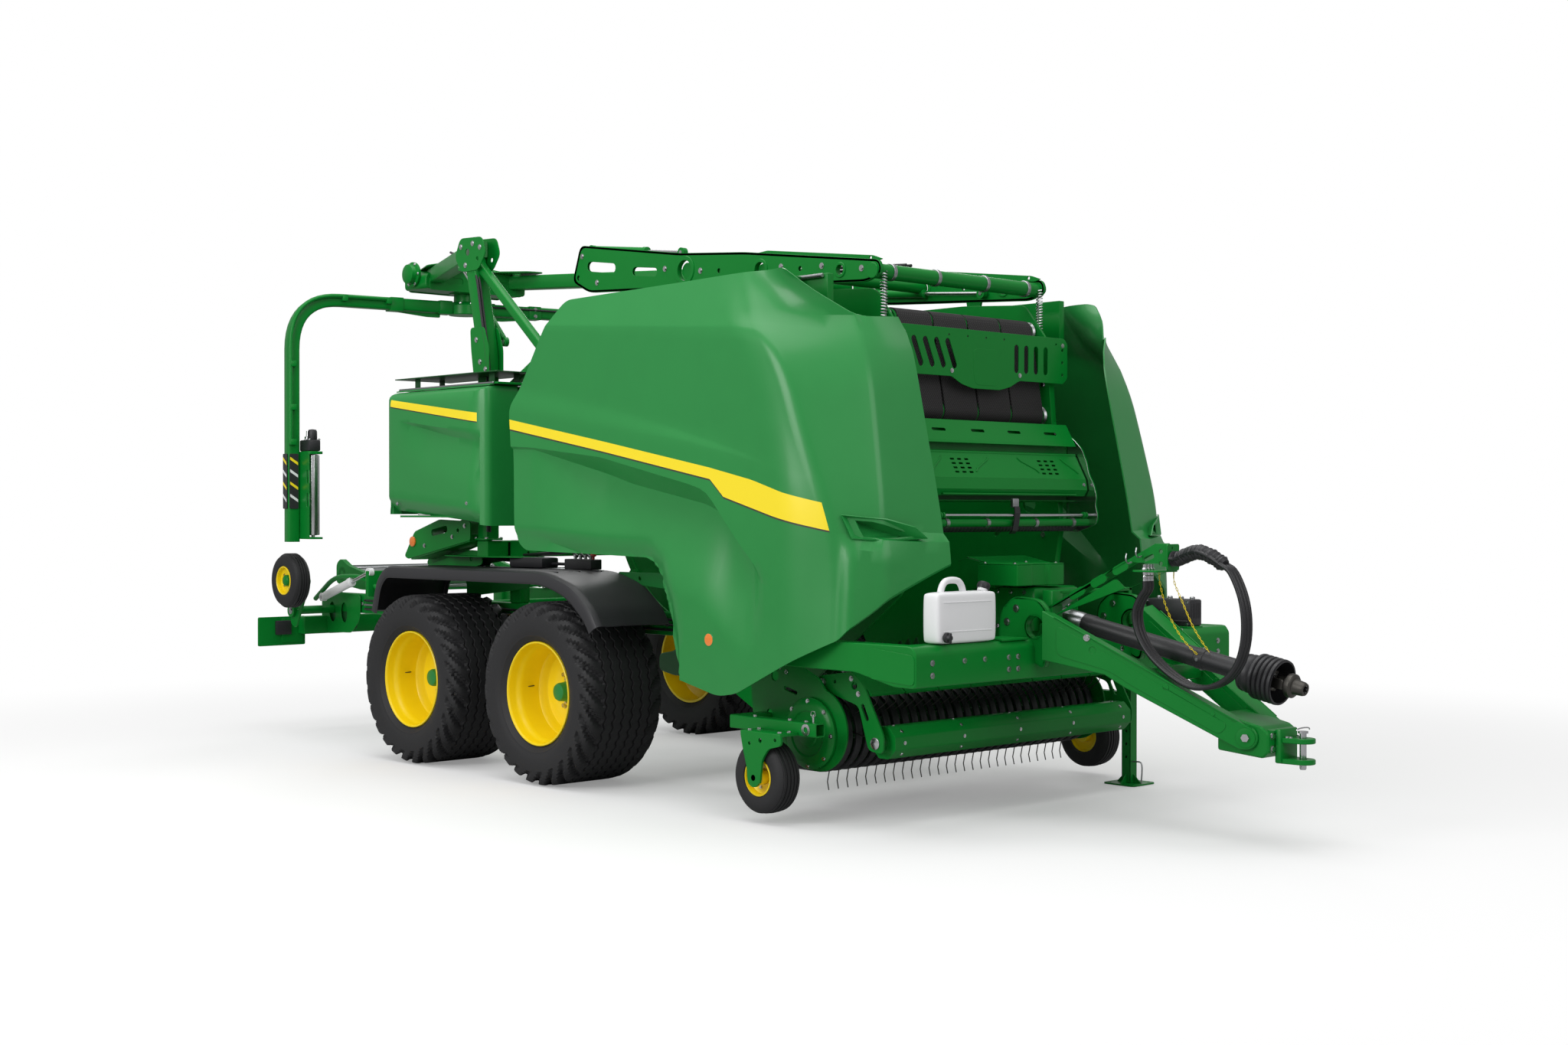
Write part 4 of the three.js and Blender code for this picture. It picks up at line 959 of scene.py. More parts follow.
# %% [markdown]
# The side shield is the machine's face: a swinging panel some 2.9 m long. Seen from above it runs
# straight along the side, turns in softly, and has a crease at the front corner; seen from the side
# it carries a ledge, a stripe and a long groove that falls towards the front. So the wall is first
# laid out as plan lines at rising heights, and the creases are its rows.

# %% Side shield shape
SIDE = 1.420
WALL = 0.008
# height, side, end of the flat part, bend, corner, inner edge; each [x, y]
shield_levels = [
    (0.560, -0.008, 2.150, (2.400, -0.070), (2.515, -0.290), (2.630, -0.640)),
    (1.300, 0.000, 2.150, (2.390, -0.110), (2.515, -0.290), (2.620, -0.640)),
    (1.600, 0.000, 2.150, (2.325, -0.070), (2.508, -0.290), (2.571, -0.637)),
    (2.000, 0.000, 2.020, (2.180, -0.030), (2.426, -0.327), (2.480, -0.635)),
    (2.300, 0.000, 1.920, (2.075, -0.020), (2.355, -0.354), (2.412, -0.635)),
    (2.430, 0.000, 1.820, (1.970, -0.018), (2.290, -0.372), (2.385, -0.632)),
    (2.572, 0.000, 1.700, (1.850, -0.030), (2.204, -0.390), (2.350, -0.560)),
    (2.830, 0.000, 1.500, (1.700, -0.010), (1.960, -0.075), (2.100, -0.300)),
]
shield_outline = [(-0.110, 1.356), (0.960, 1.330), (1.075, 1.250), (1.150, 1.080), (1.225, 0.710),
                  (1.600, 0.630), (1.740, 0.650), (2.400, 0.955), (2.450, 1.005), (2.530, 1.110),
                  (2.640, 1.300), (2.700, 1.400), (2.700, 2.560), (2.215, 2.566), (1.945, 2.820),
                  (0.210, 2.783), (0.060, 2.600), (-0.232, 2.180), (-0.170, 1.400)]
FRONT_END = 3.2
# the long creases, as [x, z]; past their last point they go on level
groove_low = [(-0.5, 1.952), (-0.004, 1.937), (0.782, 1.731), (1.386, 1.620), (1.475, 1.591),
              (1.548, 1.538), (1.707, 1.397), (1.861, 1.277), (1.951, 1.213), (FRONT_END, 1.15)]
groove_top = [(-0.5, 1.975), (-0.004, 1.947), (0.624, 1.880), (1.386, 1.722), (1.497, 1.692),
              (1.548, 1.653), (1.749, 1.444), (1.931, 1.269), (1.958, 1.221), (FRONT_END, 1.16)]
stripe_low = [(-0.5, 2.108), (0.670, 1.907), (1.550, 1.747), (1.655, 1.655), (2.031, 1.554),
              (2.418, 1.468), (FRONT_END, 1.30)]
stripe_top = [(-0.5, 2.163), (0.670, 1.963), (1.540, 1.808), (1.871, 1.739), (2.092, 1.674),
              (2.344, 1.614), (FRONT_END, 1.39)]
ledge_low = [(-0.5, 2.214), (0.556, 2.057), (1.296, 1.953), (1.717, 1.870), (2.04, 1.790),
             (FRONT_END, 1.50)]
ledge_top = [(-0.5, 2.389), (-0.103, 2.306), (0.670, 2.165), (1.213, 2.035), (1.737, 1.902),
             (2.04, 1.813), (FRONT_END, 1.52)]
brow = [(-0.5, 2.686), (0.031, 2.646), (1.500, 2.534), (1.695, 2.519), (1.850, 2.484), (1.970, 2.430),
        (2.200, 2.300)]
STRIPE_FRONT = 2.335
GROOVE_DEPTH = 0.115
LEDGE_DEPTH = 0.022
TOP_LEAN = 0.40
# the edge over the wheels is rolled inwards
wheel_edge = [(-0.60, 1.365), (-0.110, 1.356), (0.960, 1.330), (1.060, 1.262), (1.150, 1.080),
              (1.225, 0.710)]
ROLL_DEPTH, ROLL_WIDTH = 0.075, 0.13
NOSE_RISE = 0.042


def smooth_step(low, high, x):
    t = min(1.0, max(0.0, (x - low) / (high - low)))
    return t * t * (3 - 2 * t)


def plan_at(z):
    """The plan corners at a height. Between levels they ease over, except at the top's sharp lean."""
    heights = [level[0] for level in shield_levels]
    table = np.array([[-0.42, lv[1], lv[2], lv[1], *lv[3], *lv[4], *lv[5]] for lv in shield_levels])
    reach = 0.14 * smooth_step(2.52, 2.30, z) if z < 2.52 else 0.0
    samples = [z + reach * k / 4 for k in range(-4, 5)] if reach else [z]
    values = np.mean([[np.interp(s, heights, table[:, k]) for k in range(table.shape[1])]
                      for s in samples], axis=0)
    return [Vector((values[k], SIDE + values[k + 1])) for k in range(0, len(values), 2)]


SOFT_TURNS = {1: (0.10, 7), 2: (0.05, 7), 3: (0.022, 5)}
STRAIGHT_STEPS = (56, 8, 6, 9)


def plan_line(z):
    """The outside of the wall at a height, with soft turns, always in equally many points."""
    corners = plan_at(z)
    made = []
    start = corners[0]
    for i in range(1, len(corners)):
        end = corners[i]
        leave = end
        turn = []
        if i in SOFT_TURNS:
            reach, steps = SOFT_TURNS[i]
            before, after = corners[i - 1] - end, corners[i + 1] - end
            reach = min(reach, before.length * 0.4, after.length * 0.4)
            first, leave = end + before.normalized() * reach, end + after.normalized() * reach
            turn = corner_curve(first, end, leave, steps, steps)
            end = first
        steps = STRAIGHT_STEPS[i - 1]
        made += [start.lerp(end, k / steps) for k in range(steps)] + turn
        start = leave
    return made + [start]


plan_cache = {}


def on_plan(column, z):
    """A point of the outside surface. Heights are looked up in 5 mm steps and blended."""
    step = 0.005
    base = math.floor(z / step)
    for key in (base, base + 1):
        if key not in plan_cache:
            plan_cache[key] = plan_line(key * step)
    t = z / step - base
    return plan_cache[base][column].lerp(plan_cache[base + 1][column], t)


def to_line(points, x, z):
    """The distance from a point to an open line."""
    spot, best = Vector((x, z)), 9.0
    for a, b in zip(points, points[1:]):
        start, along = Vector(a), Vector(b) - Vector(a)
        share = min(1.0, max(0.0, (spot - start).dot(along) / along.length_squared))
        best = min(best, (spot - start - along * share).length)
    return best


SHIELD_FOOT, SHIELD_SHOULDER, SHIELD_TOP = 0.56, 2.572, 2.83
# every relief fades out between two X, and the one on the nose also between two Z
GROOVE_FADE, LEDGE_FADE, LEAN_FADE = (1.96, 1.80), (2.05, 1.1), (2.10, 1.80)
NOSE_FADE, NOSE_STEP = (2.375, 2.425), (1.448, 1.430)
ROLL_FRONT, ROLL_TOP = 1.30, 1.70


def shield_grid():
    """All points, column by column, and how many rows lie below each crease."""
    total = len(plan_line(1.0))
    grid, marks = [], []
    for column in range(total):
        creases = []
        for line, gap in ((groove_low, 0), (groove_top, 0.006), (stripe_low, 0.012), (stripe_top, 0.012),
                          (ledge_low, 0.012), (ledge_top, 0.010)):
            z = 1.6
            for _ in range(4):
                z = line_at(line, on_plan(column, z).x)
            creases.append(max(z, creases[-1] + gap) if creases else z)
        levels = [(SHIELD_FOOT, 0), (0.9, 5), (creases[0] - 0.5, 4) if creases[0] > 1.45 else (0.92, 4),
                  (creases[0], 22), (creases[1], 4), (creases[2] - 0.009, 4), (creases[2], 1),
                  (creases[3], 3), (creases[4], 3), (creases[5], 5),
                  (line_at(brow, on_plan(column, 2.5).x), 10)]
        levels += [(max(SHIELD_SHOULDER, levels[-1][0] + 0.03), 3), (SHIELD_TOP, 6)]
        heights, tags = [], []
        for (low, _), (high, steps) in zip(levels, levels[1:]):
            heights += [low + (high - low) * k / steps for k in range(steps)]
            tags += [levels.index((high, steps))] * steps
        heights.append(SHIELD_TOP)
        line = []
        for z in heights:
            spot = on_plan(column, z)
            x = spot.x
            inside = 0.0
            if x < GROOVE_FADE[0]:
                deepest = min(GROOVE_DEPTH,
                              1.15 * (creases[1] - creases[0])) * smooth_step(*GROOVE_FADE, x)
                if z < creases[0]:
                    inside = deepest * smooth_step(creases[0] - 0.5, creases[0], z)
                elif z < creases[1]:
                    inside = deepest * (creases[1] - z) / (creases[1] - creases[0])
            rise = LEDGE_DEPTH * smooth_step(*LEDGE_FADE, x)
            if z > creases[4]:
                inside += rise * smooth_step(creases[4], creases[5], z)
            inside -= NOSE_RISE * smooth_step(*NOSE_FADE, x) * smooth_step(*NOSE_STEP, z)
            away = to_line(wheel_edge, x, z)
            if x < ROLL_FRONT and z < ROLL_TOP:
                inside += ROLL_DEPTH * max(0.0, 1 - away / ROLL_WIDTH) ** 1.4
            edge = line_at(brow, x)
            if z > edge:
                inside += TOP_LEAN * (z - edge) * smooth_step(*LEAN_FADE, x)
            line.append((spot, z, inside))
        grid.append(line)
        marks = tags
    return grid, marks


def shield_points():
    grid, tags = shield_grid()
    p = np.array([[(spot.x, spot.y, z) for spot, z, _ in line] for line in grid])
    out = np.cross(np.gradient(p, axis=1), np.gradient(p, axis=0))
    out[:, :, 2] = 0
    out /= np.linalg.norm(out, axis=2, keepdims=True)
    depth = np.array([[inside for _, _, inside in line] for line in grid])
    return p - out * depth[:, :, None] * np.where(out[:, :, 1:2] < 0, -1, 1), tags


shield_points_out, shield_tags = shield_points()
print("shield grid", shield_points_out.shape)

# %% [markdown]
# Each shield is laid out flat and then trimmed, as a moulding is: the wall is cut with a thick
# plate in the shape of its outline. The stripe is film that lies between two of the creases, with
# a thin dark line under it. A faceted pocket with a bolt at the front corner lets a hand reach the
# latch, and a narrow flange carries the hinge pin.

# %% Side shields


def hull(points):
    """The smallest closed body round some points."""
    bm = bmesh.new()
    for point in points:
        bm.verts.new(point)
    bmesh.ops.convex_hull(bm, input=bm.verts)
    loose = [v for v in bm.verts if not v.link_faces]
    bmesh.ops.delete(bm, geom=loose, context="VERTS")
    return mesh_of(bm)


def stripe_mark(column, row):
    if shield_points_out[column, shield_tags.index(6), 0] > STRIPE_FRONT:
        return 0
    return {7: 1, 6: 2}.get(shield_tags[row], 0)


def add_shield(piece):
    finishes = [green, stripe_yellow, outline_black]
    mesh = skin(shield_points_out, WALL, stripe_mark)
    for finish in finishes:
        mesh.materials.append(finish)
    mesh = carve(mesh, trimmed(shield_outline, 0.05, 1.0, 1.2, "y"))
    rim = [(2.385, 1.300, 1.565), (2.520, 1.115, 1.545), (2.585, 0.980, 1.505), (2.612, 0.920, 1.445),
           (2.530, 1.120, 1.432), (2.430, 1.270, 1.445)]
    floor = [(2.400, 1.150, 1.520), (2.410, 1.080, 1.462), (2.500, 0.960, 1.462)]
    out = Vector((0.62, 0.78, 0)) * 0.12
    mesh = carve(mesh, hull([Vector(p) + out for p in rim] + floor), "DIFFERENCE")
    piece.add(mesh, finishes)
    piece.add(pocket(rim, floor, 0.006), green)
    screws(piece, [(2.440, 1.075, 1.487)], "x", 1, 0.013)
    piece.spin([(0, 0), (0.033, 0), (0.034, 0.003), (0.031, 0.006), (0.020, 0.0075), (0, 0.008)], 32,
               line_up((1.537, SIDE - 0.0085, 0.917), (1.537, SIDE + 1, 0.917)), orange_lens)
    piece.spin([(0, 0), (0.037, 0), (0.038, 0.0015), (0.034, 0.004), (0, 0.004)], 32,
               line_up((1.537, SIDE - 0.007, 0.917), (1.537, SIDE + 1, 0.917)), green)
    flange = [(0.985, 2.791), (1.150, 2.782), (1.296, 2.738), (1.310, 2.752), (1.156, 2.798),
              (0.985, 2.807)]
    piece.plate(flange, 1.00, "x", 1.07, finish=green)
    piece.rod((0.562, 0.985, 2.800), (1.938, 0.985, 2.800), 0.0115, finish=steel)
    for x in (0.75, 1.25, 1.75):
        piece.box((x - 0.04, 0.990, 2.794), (x + 0.04, 1.10, 2.806))


def trimmed(outline, radius, distance, thickness, axis):
    """A thick plate in the shape of an outline, to cut with."""
    mesh = sheet_cut(rounded(outline, radius), thickness, edge=0.0)
    mesh.transform(facing(axis, distance))
    return mesh


def pocket(rim, floor, wall):
    """A faceted dish from its rim down to its floor points, with a wall behind it."""
    bm = bmesh.new()
    front = [bm.verts.new(p) for p in rim]
    deep = [bm.verts.new(p) for p in floor]
    count, depth = len(front), len(deep)
    for i in range(count):
        j = (i + 1) % count
        a, b = deep[i * depth // count], deep[(j * depth // count) % depth]
        bm.faces.new([front[i], front[j], b, a] if a is not b else [front[i], front[j], a])
    bm.faces.new(deep)
    bmesh.ops.recalc_face_normals(bm, faces=bm.faces)
    bmesh.ops.solidify(bm, geom=bm.faces[:], thickness=wall)
    return mesh_of(bm)


left_and_right("shield_panel", "shield_{}", "green_paint", ["side_shield_{}"], add_shield)

# %% [markdown]
# The film locker's door is the same kind of panel: a box lid with rounded corners, its own length
# of the stripe near the top, and a thumb groove that widens towards the front. Its plan is a line
# with round turns at both ends, and its upright section rolls over at the top to the hinge.

# %% Locker doors
DOOR_REAR, DOOR_FRONT = -1.575, -0.530
DOOR_SIDE = 1.413
DOOR_GROOVE, DOOR_ROLL = 0.030, 0.07
door_outline = [(-1.60, 1.490), (-1.545, 1.588), (-0.700, 1.520), (-0.500, 1.490), (-0.500, 2.345),
                (-1.60, 2.345)]
door_stripe_low = [(-1.60, 2.252), (-0.50, 2.106)]
door_stripe_top = [(-1.60, 2.294), (-0.50, 2.160)]
door_groove_low = [(-1.60, 2.148), (-1.42, 2.142), (-1.0, 2.058), (-0.5, 1.975)]
door_groove_top = [(-1.60, 2.156), (-1.42, 2.150), (-1.0, 2.098), (-0.5, 2.048)]
door_bottom = [(-1.60, 1.580), (-1.545, 1.588), (-0.700, 1.520), (-0.500, 1.490)]


def door_points():
    """All points of the door, column by column, and how many rows lie below each line."""
    plan = []
    ends = [(DOOR_REAR, 1.14), (DOOR_REAR, DOOR_SIDE), (DOOR_FRONT - 0.09, DOOR_SIDE),
            (DOOR_FRONT, DOOR_SIDE - 0.05), (DOOR_FRONT, 1.14)]
    steps = [5, 30, 4, 5]
    reach = {1: 0.045, 2: 0.05, 3: 0.035}
    start = Vector(ends[0])
    for i in range(1, len(ends)):
        end = Vector(ends[i])
        turn, leave = [], end
        if i in reach:
            first = end + (start - end).normalized() * reach[i]
            onward = Vector(ends[i + 1]) - end
            leave = end + onward.normalized() * min(reach[i], onward.length * 0.5)
            turn = corner_curve(first, end, leave, 5, 5)
            end = first
        plan += [start.lerp(end, k / steps[i - 1]) for k in range(steps[i - 1])] + turn
        start = leave
    plan.append(start)
    grid, marks = [], []
    for spot in plan:
        x = spot.x
        low, high = line_at(door_groove_low, x), line_at(door_groove_top, x)
        stripe0, stripe1 = line_at(door_stripe_low, x), line_at(door_stripe_top, x)
        base = line_at(door_bottom, x)
        stops = [(base - 0.02, 0), (base + 0.09, 7), (low, 9), (high, 3), (stripe0 - 0.007, 3),
                 (stripe0, 1), (stripe1, 2), (2.302, 2), (2.318, 3), (2.330, 3), (2.337, 3)]
        heights, tags = [], []
        for k in range(1, len(stops)):
            lower, upper, count = stops[k - 1][0], stops[k][0], stops[k][1]
            heights += [lower + (upper - lower) * j / count for j in range(count)]
            tags += [k] * count
        heights.append(stops[-1][0])
        line = []
        for z in heights:
            pull = 0.0
            if spot.y > DOOR_SIDE - 0.02:
                pull = DOOR_GROOVE * smooth_step(-1.45, -1.1, x) * (
                    smooth_step(low - 0.28, low, z) if z < low else max(0.0, (high - z) / (high - low)))
                pull += DOOR_ROLL * max(0.0, 1 - (z - base) / 0.085) ** 1.4
            roof = 0.0
            if z > 2.25:
                t = min(1.0, (z - 2.25) / 0.087)
                roof = 0.115 * (1 - math.sqrt(max(0.0, 1 - t**2.6)))
            inward = (0.02 if x < -1.5 else -0.02) * (roof / 0.115)
            line.append((x + inward, min(spot.y, DOOR_SIDE - roof) - pull, z))
        grid.append(line)
        marks = tags
    return np.array(grid), marks


door_grid, door_tags = door_points()


def add_door(piece):
    finishes = [green, stripe_yellow, outline_black]
    mesh = skin(door_grid, 0.007, lambda c, r: {6: 1, 5: 2}.get(door_tags[r], 0) if 9 < c < 44 else 0)
    for finish in finishes:
        mesh.materials.append(finish)
    piece.add(carve(mesh, trimmed(door_outline, 0.02, 1.25, 0.8, "y")), finishes)
    piece.rod((DOOR_REAR + 0.002, 1.318, 2.352), (DOOR_FRONT - 0.002, 1.318, 2.352), 0.0075, 10, steel)
    hinge = [(1.303, 2.342), (1.345, 2.336), (1.345, 2.343), (1.306, 2.352)]
    piece.plate(hinge, 1.03, "x", (DOOR_REAR + DOOR_FRONT) / 2, finish=green, edge=0.0008)
    screws(piece, [(x, DOOR_SIDE - 0.001, 1.63) for x in (-1.45, -0.68)], "y", 1, 0.008)


left_and_right("locker_lid", "door_{}", "green_paint", ["film_door_{}"], add_door)
print("shields and doors", [len(p.data.polygons) for p in made_pieces[-4:]])

# %% [markdown]
# A flotation tyre is wide and low, with a smooth sidewall, curved lugs round each
# shoulder, and wavy ribs round the middle. It is a body of revolution whose profile is disturbed:
# at each angle the same profile is pushed in where a gap between lugs falls, and the grooves
# wander from side to side. One formula gives the whole tread, so nothing has to be placed by hand.

# %% Tyres
TYRE_RADIUS = 0.530
TREAD_STEPS = 360
LUGS = 26


def tyre_profile():
    """[radius, side, how much the lugs cut, how much the grooves wander]"""
    wall = [(0.3025, 0.236, 0, 0), (0.312, 0.246, 0, 0), (0.330, 0.259, 0, 0), (0.337, 0.266, 0, 0),
            (0.345, 0.267, 0, 0), (0.352, 0.2715, 0, 0), (0.385, 0.2785, 0, 0), (0.420, 0.280, 0, 0),
            (0.446, 0.279, 0, 0), (0.458, 0.2775, 0.55, 0), (0.474, 0.275, 0.8, 0), (0.490, 0.270, 1, 0),
            (0.504, 0.262, 1, 0), (0.515, 0.251, 1, 0), (0.523, 0.237, 1, 0), (0.528, 0.220, 1, 0),
            (0.5295, 0.200, 0.9, 0), (0.530, 0.182, 0.6, 0)]
    tread = []
    for groove in (0.158, 0.096, 0.032, -0.032, -0.096, -0.158):
        for shift, depth in ((0.008, 0), (0.004, 0.011), (-0.004, 0.011), (-0.008, 0)):
            tread.append((TYRE_RADIUS - depth, groove + shift, 0.0, 1.0))
    whole = wall + tread + [(r, -y, cut, wave) for r, y, cut, wave in reversed(wall)]
    return whole + [(0.3025, -0.20, 0, 0), (0.3025, 0.20, 0, 0)]


def tyre():
    """One flotation tyre about Z."""
    profile = tyre_profile()
    rings = []
    for step in range(TREAD_STEPS):
        angle = 2 * math.pi * step / TREAD_STEPS
        wander = 0.007 * math.sin(angle * 2 * LUGS)
        line = []
        for radius, side, cut, wave in profile:
            lean = abs(side) * 6.0 + (0.5 if side < 0 else 0)
            phase = (angle * LUGS / (2 * math.pi) + lean + (TYRE_RADIUS - radius) * 9) % 1.0
            gap = smooth_step(0.0, 0.07, phase) * smooth_step(0.47, 0.36, phase) * cut
            r = radius - gap * (0.022 if radius > 0.50 else 0.012)
            y = side - math.copysign(gap * 0.020, side) + wander * wave
            line.append((r * math.cos(angle), r * math.sin(angle), y))
        rings.append(line)
    return from_rings(rings, wrap=True)


# %% [markdown]
# The rim is rolled sheet steel in yellow: a bright rolled lip, a deep barrel, a step where the disc
# is welded in, and a shallow cone down to the studs. The hub turns inside it and carries a green
# cap. Everything here is turned, so a few profiles are enough, and the nuts go on with copies.

# %% Rims and wheels


def along_y(x, y, z):
    """The matrix that lays a turned part's axis across the machine."""
    return line_up((x, y, z), (x, y + 1, z))


def add_rim(piece, x, y, z):
    here = along_y(x, y, z)
    piece.spin([(0.3015, 0.246), (0.298, 0.249), (0.292, 0.248), (0.288, 0.242), (0.2865, 0.232),
                (0.2855, 0.205), (0.281, 0.186), (0.2745, 0.178), (0.270, 0.15), (0.268, 0.07),
                (0.263, 0.045), (0.252, 0.034), (0.244, 0.010), (0.236, -0.002), (0.20, -0.010),
                (0.160, -0.016), (0.150, -0.022), (0.105, -0.024), (0.094, -0.024), (0.094, -0.05),
                (0.235, -0.05), (0.2865, -0.09), (0.2865, -0.244), (0.3015, -0.244)], 64, here, yellow)
    piece.spin([(0, -0.238), (0.092, -0.238), (0.095, -0.234), (0.095, 0.006), (0.090, 0.012),
                (0.066, 0.014), (0.0, 0.014)], 40, here, yellow)
    piece.spin([(0, 0.008), (0.060, 0.008), (0.060, 0.040), (0.056, 0.046), (0.054, 0.086),
                (0.048, 0.098), (0.035, 0.103), (0, 0.104)], 32, here, green)
    piece.spread(screw_head(0.014, 0.020), round_axis(here, 8, 0.128, -0.023))
    piece.spread(screw_head(0.008, 0.008), round_axis(here, 6, 0.078, 0.012))
    piece.add(pipe([(0.262, 0.02, 0.08), (0.250, 0.02, 0.10), (0.240, 0.02, 0.135)],
                   [0.004, 0.004, 0.003], 8), black_plastic, here)


for axle, x in (("front", 0.0), ("rear", -1.338)):
    left_and_right(f"tyre_{axle}_treaded", f"wheel_{axle}_{{}}", "tyre_rubber", [f"tyre_{axle}_{{}}"],
                   lambda piece, x=x: piece.add(tyre(), tyre_rubber, along_y(x, 1.14, 0.53)))
    left_and_right(f"rim_{axle}_dished", f"wheel_{axle}_{{}}", "yellow_paint", [f"rim_{axle}_{{}}"],
                   lambda piece, x=x: add_rim(piece, x, 1.14, 0.53))
print("tyre", len(made_pieces[-2].data.polygons), "faces")

# %% [markdown]
# The fender over both wheels is one black moulding: a flat top, round shoulders, an outer edge
# that rolls down into a thick band, and a flared flap in front of the front wheel. The moulding is
# swept: one section of the edge goes along the arch, and widens where the flap is.

# %% Fenders
arch = [(-1.795, 0.945), (-1.735, 1.135), (-1.640, 1.222), (0.060, 1.222), (0.330, 1.147), (0.495, 1.022),
        (0.555, 0.935)]


def add_fender(piece):
    path = []
    for i, corner in enumerate(arch):
        here = Vector(corner)
        if 0 < i < len(arch) - 1:
            before, after = Vector(arch[i - 1]) - here, Vector(arch[i + 1]) - here
            reach = min(0.12, before.length * 0.45, after.length * 0.45)
            a, b = here + before.normalized() * reach, here + after.normalized() * reach
            path += corner_curve(a, here, b, 5, 6)
        else:
            path.append(here)
    grid = []
    for i, spot in enumerate(path):
        ahead = (path[min(i + 1, len(path) - 1)] - path[max(i - 1, 0)]).normalized()
        up = Vector((-ahead.y, ahead.x))
        flare = smooth_step(0.15, 0.45, spot.x)
        band = 0.056 + 0.012 * flare
        section = [(0.862, -0.030), (0.862, -0.006), (0.868, 0.0), (1.00, 0.002), (1.20, 0.002),
                   (1.315, 0.0), (1.345, 0.004), (1.366, 0.004), (1.382, -0.004), (1.389, -0.018),
                   (1.3895, -band + 0.006), (1.384, -band)]
        line = [(spot.x + up.x * h, y, spot.y + up.y * h) for y, h in section]
        grid.append(line)
    piece.add(skin(grid, 0.009), black_plastic)
    for x in (-1.5, 0.0):
        piece.add(girder((x, 0.801, 1.185), (x, 0.87, 1.185), 0.05, 0.05), frame_green)
        piece.box((x - 0.025, 0.801, 0.885), (x + 0.025, 0.845, 1.205))
    bolts = [(x, y, 1.226) for x in (-1.58, -1.2, -0.85, -0.5, -0.15, 0.02) for y in (0.93, 1.16)]
    screws(piece, bolts, "z", 1, 0.009)
    for k in range(3):
        piece.tube([(-1.60, 0.95 + 0.16 * k, 1.226), (0.04, 0.95 + 0.16 * k, 1.226)], 0.006, 8,
                   black_plastic)
    brace = [(0.10, 1.165), (0.62, 1.130), (0.80, 1.150), (0.80, 1.225), (0.10, 1.225)]
    piece.plate(brace, 0.006, "y", 0.868, 0.015, [ring(0.30, 1.19, 0.014), ring(0.66, 1.18, 0.014)],
                finish=green)


left_and_right("fender_moulding", "chassis", "black_plastic", ["fender_{}"], add_fender)

# %% [markdown]
# The pickup lifts the crop with a drum of spring tines that reach out between curved strippers.
# The strippers are pressed strips with turned-down edges, bent into a U and bolted side by side on
# a back plate. One strip is made from a section swept along the U, then copied at the tine pitch.

# %% Strippers
REEL_X, REEL_Z = 1.940, 0.440
TINE_ROWS = 28
TINE_PITCH = 1.98 / TINE_ROWS
BAND_RADIUS = 0.2045


def stripper():
    path = [(1.592, REEL_Z + BAND_RADIUS)]
    path += [(x, REEL_Z + BAND_RADIUS) for x in (1.70, 1.82)]
    path += [(REEL_X + BAND_RADIUS * math.sin(a), REEL_Z + BAND_RADIUS * math.cos(a))
             for a in (math.pi * k / 14 for k in range(15))]
    path += [(x, REEL_Z - BAND_RADIUS) for x in (1.82, 1.70)] + [(1.592, REEL_Z - BAND_RADIUS)]
    section = [(-0.0235, -0.011), (-0.0225, -0.003), (-0.016, 0.0), (0.016, 0.0), (0.0225, -0.003),
               (0.0235, -0.011)]
    grid = []
    for y, drop in section:
        line = []
        for i, (x, z) in enumerate(path):
            a, b = path[max(i - 1, 0)], path[min(i + 1, len(path) - 1)]
            ahead = Vector((b[0] - a[0], b[1] - a[1])).normalized()
            line.append((x - ahead.y * drop, y, z + ahead.x * drop))
        grid.append(line)
    return skin(grid, 0.003)


bands = Piece("stripper_row", "pickup", "dark_green_paint", ["pickup_bands"])
spots = [Matrix.Translation((0, -0.99 + TINE_PITCH * k, 0)) for k in range(TINE_ROWS + 1)]
bands.spread(stripper(), spots, black_plastic)
# the back plate takes the darker green, which is painted shade under the pickup
bands.box((1.586, -1.0, REEL_Z - 0.204), (1.600, 1.0, REEL_Z + 0.204), finish=shade_painted_green)
for z in (-0.17, 0.0, 0.17):
    screws(bands, [(1.585, -0.99 + TINE_PITCH * k, REEL_Z + z) for k in range(0, TINE_ROWS + 1, 2)], "x",
           -1, 0.007)
bands.done()

# %% [markdown]
# Each tine is spring wire: it winds three times round its tube, and then runs out with a slight
# bend. Four tubes sit round the shaft on star plates. The wire is one pipe along a computed path,
# and the copies put 28 on each tube.

# %% Tine reel
TINE_TUBE = 0.152


def tine():
    """One tine on a tube along Y, pointing up local Z from the reel's middle."""
    path = []
    for k in range(31):
        a = k * 2 * math.pi * 2.5 / 30
        path.append((0.0215 * math.sin(a), -0.011 + 0.0072 * k / 10, TINE_TUBE + 0.0215 * math.cos(a)))
    path += [(-0.010, 0.011, TINE_TUBE + 0.035), (-0.004, 0.010, 0.215), (0.003, 0.006, 0.26),
             (-0.010, 0.003, 0.302)]
    return pipe(path, 0.0030, 6)


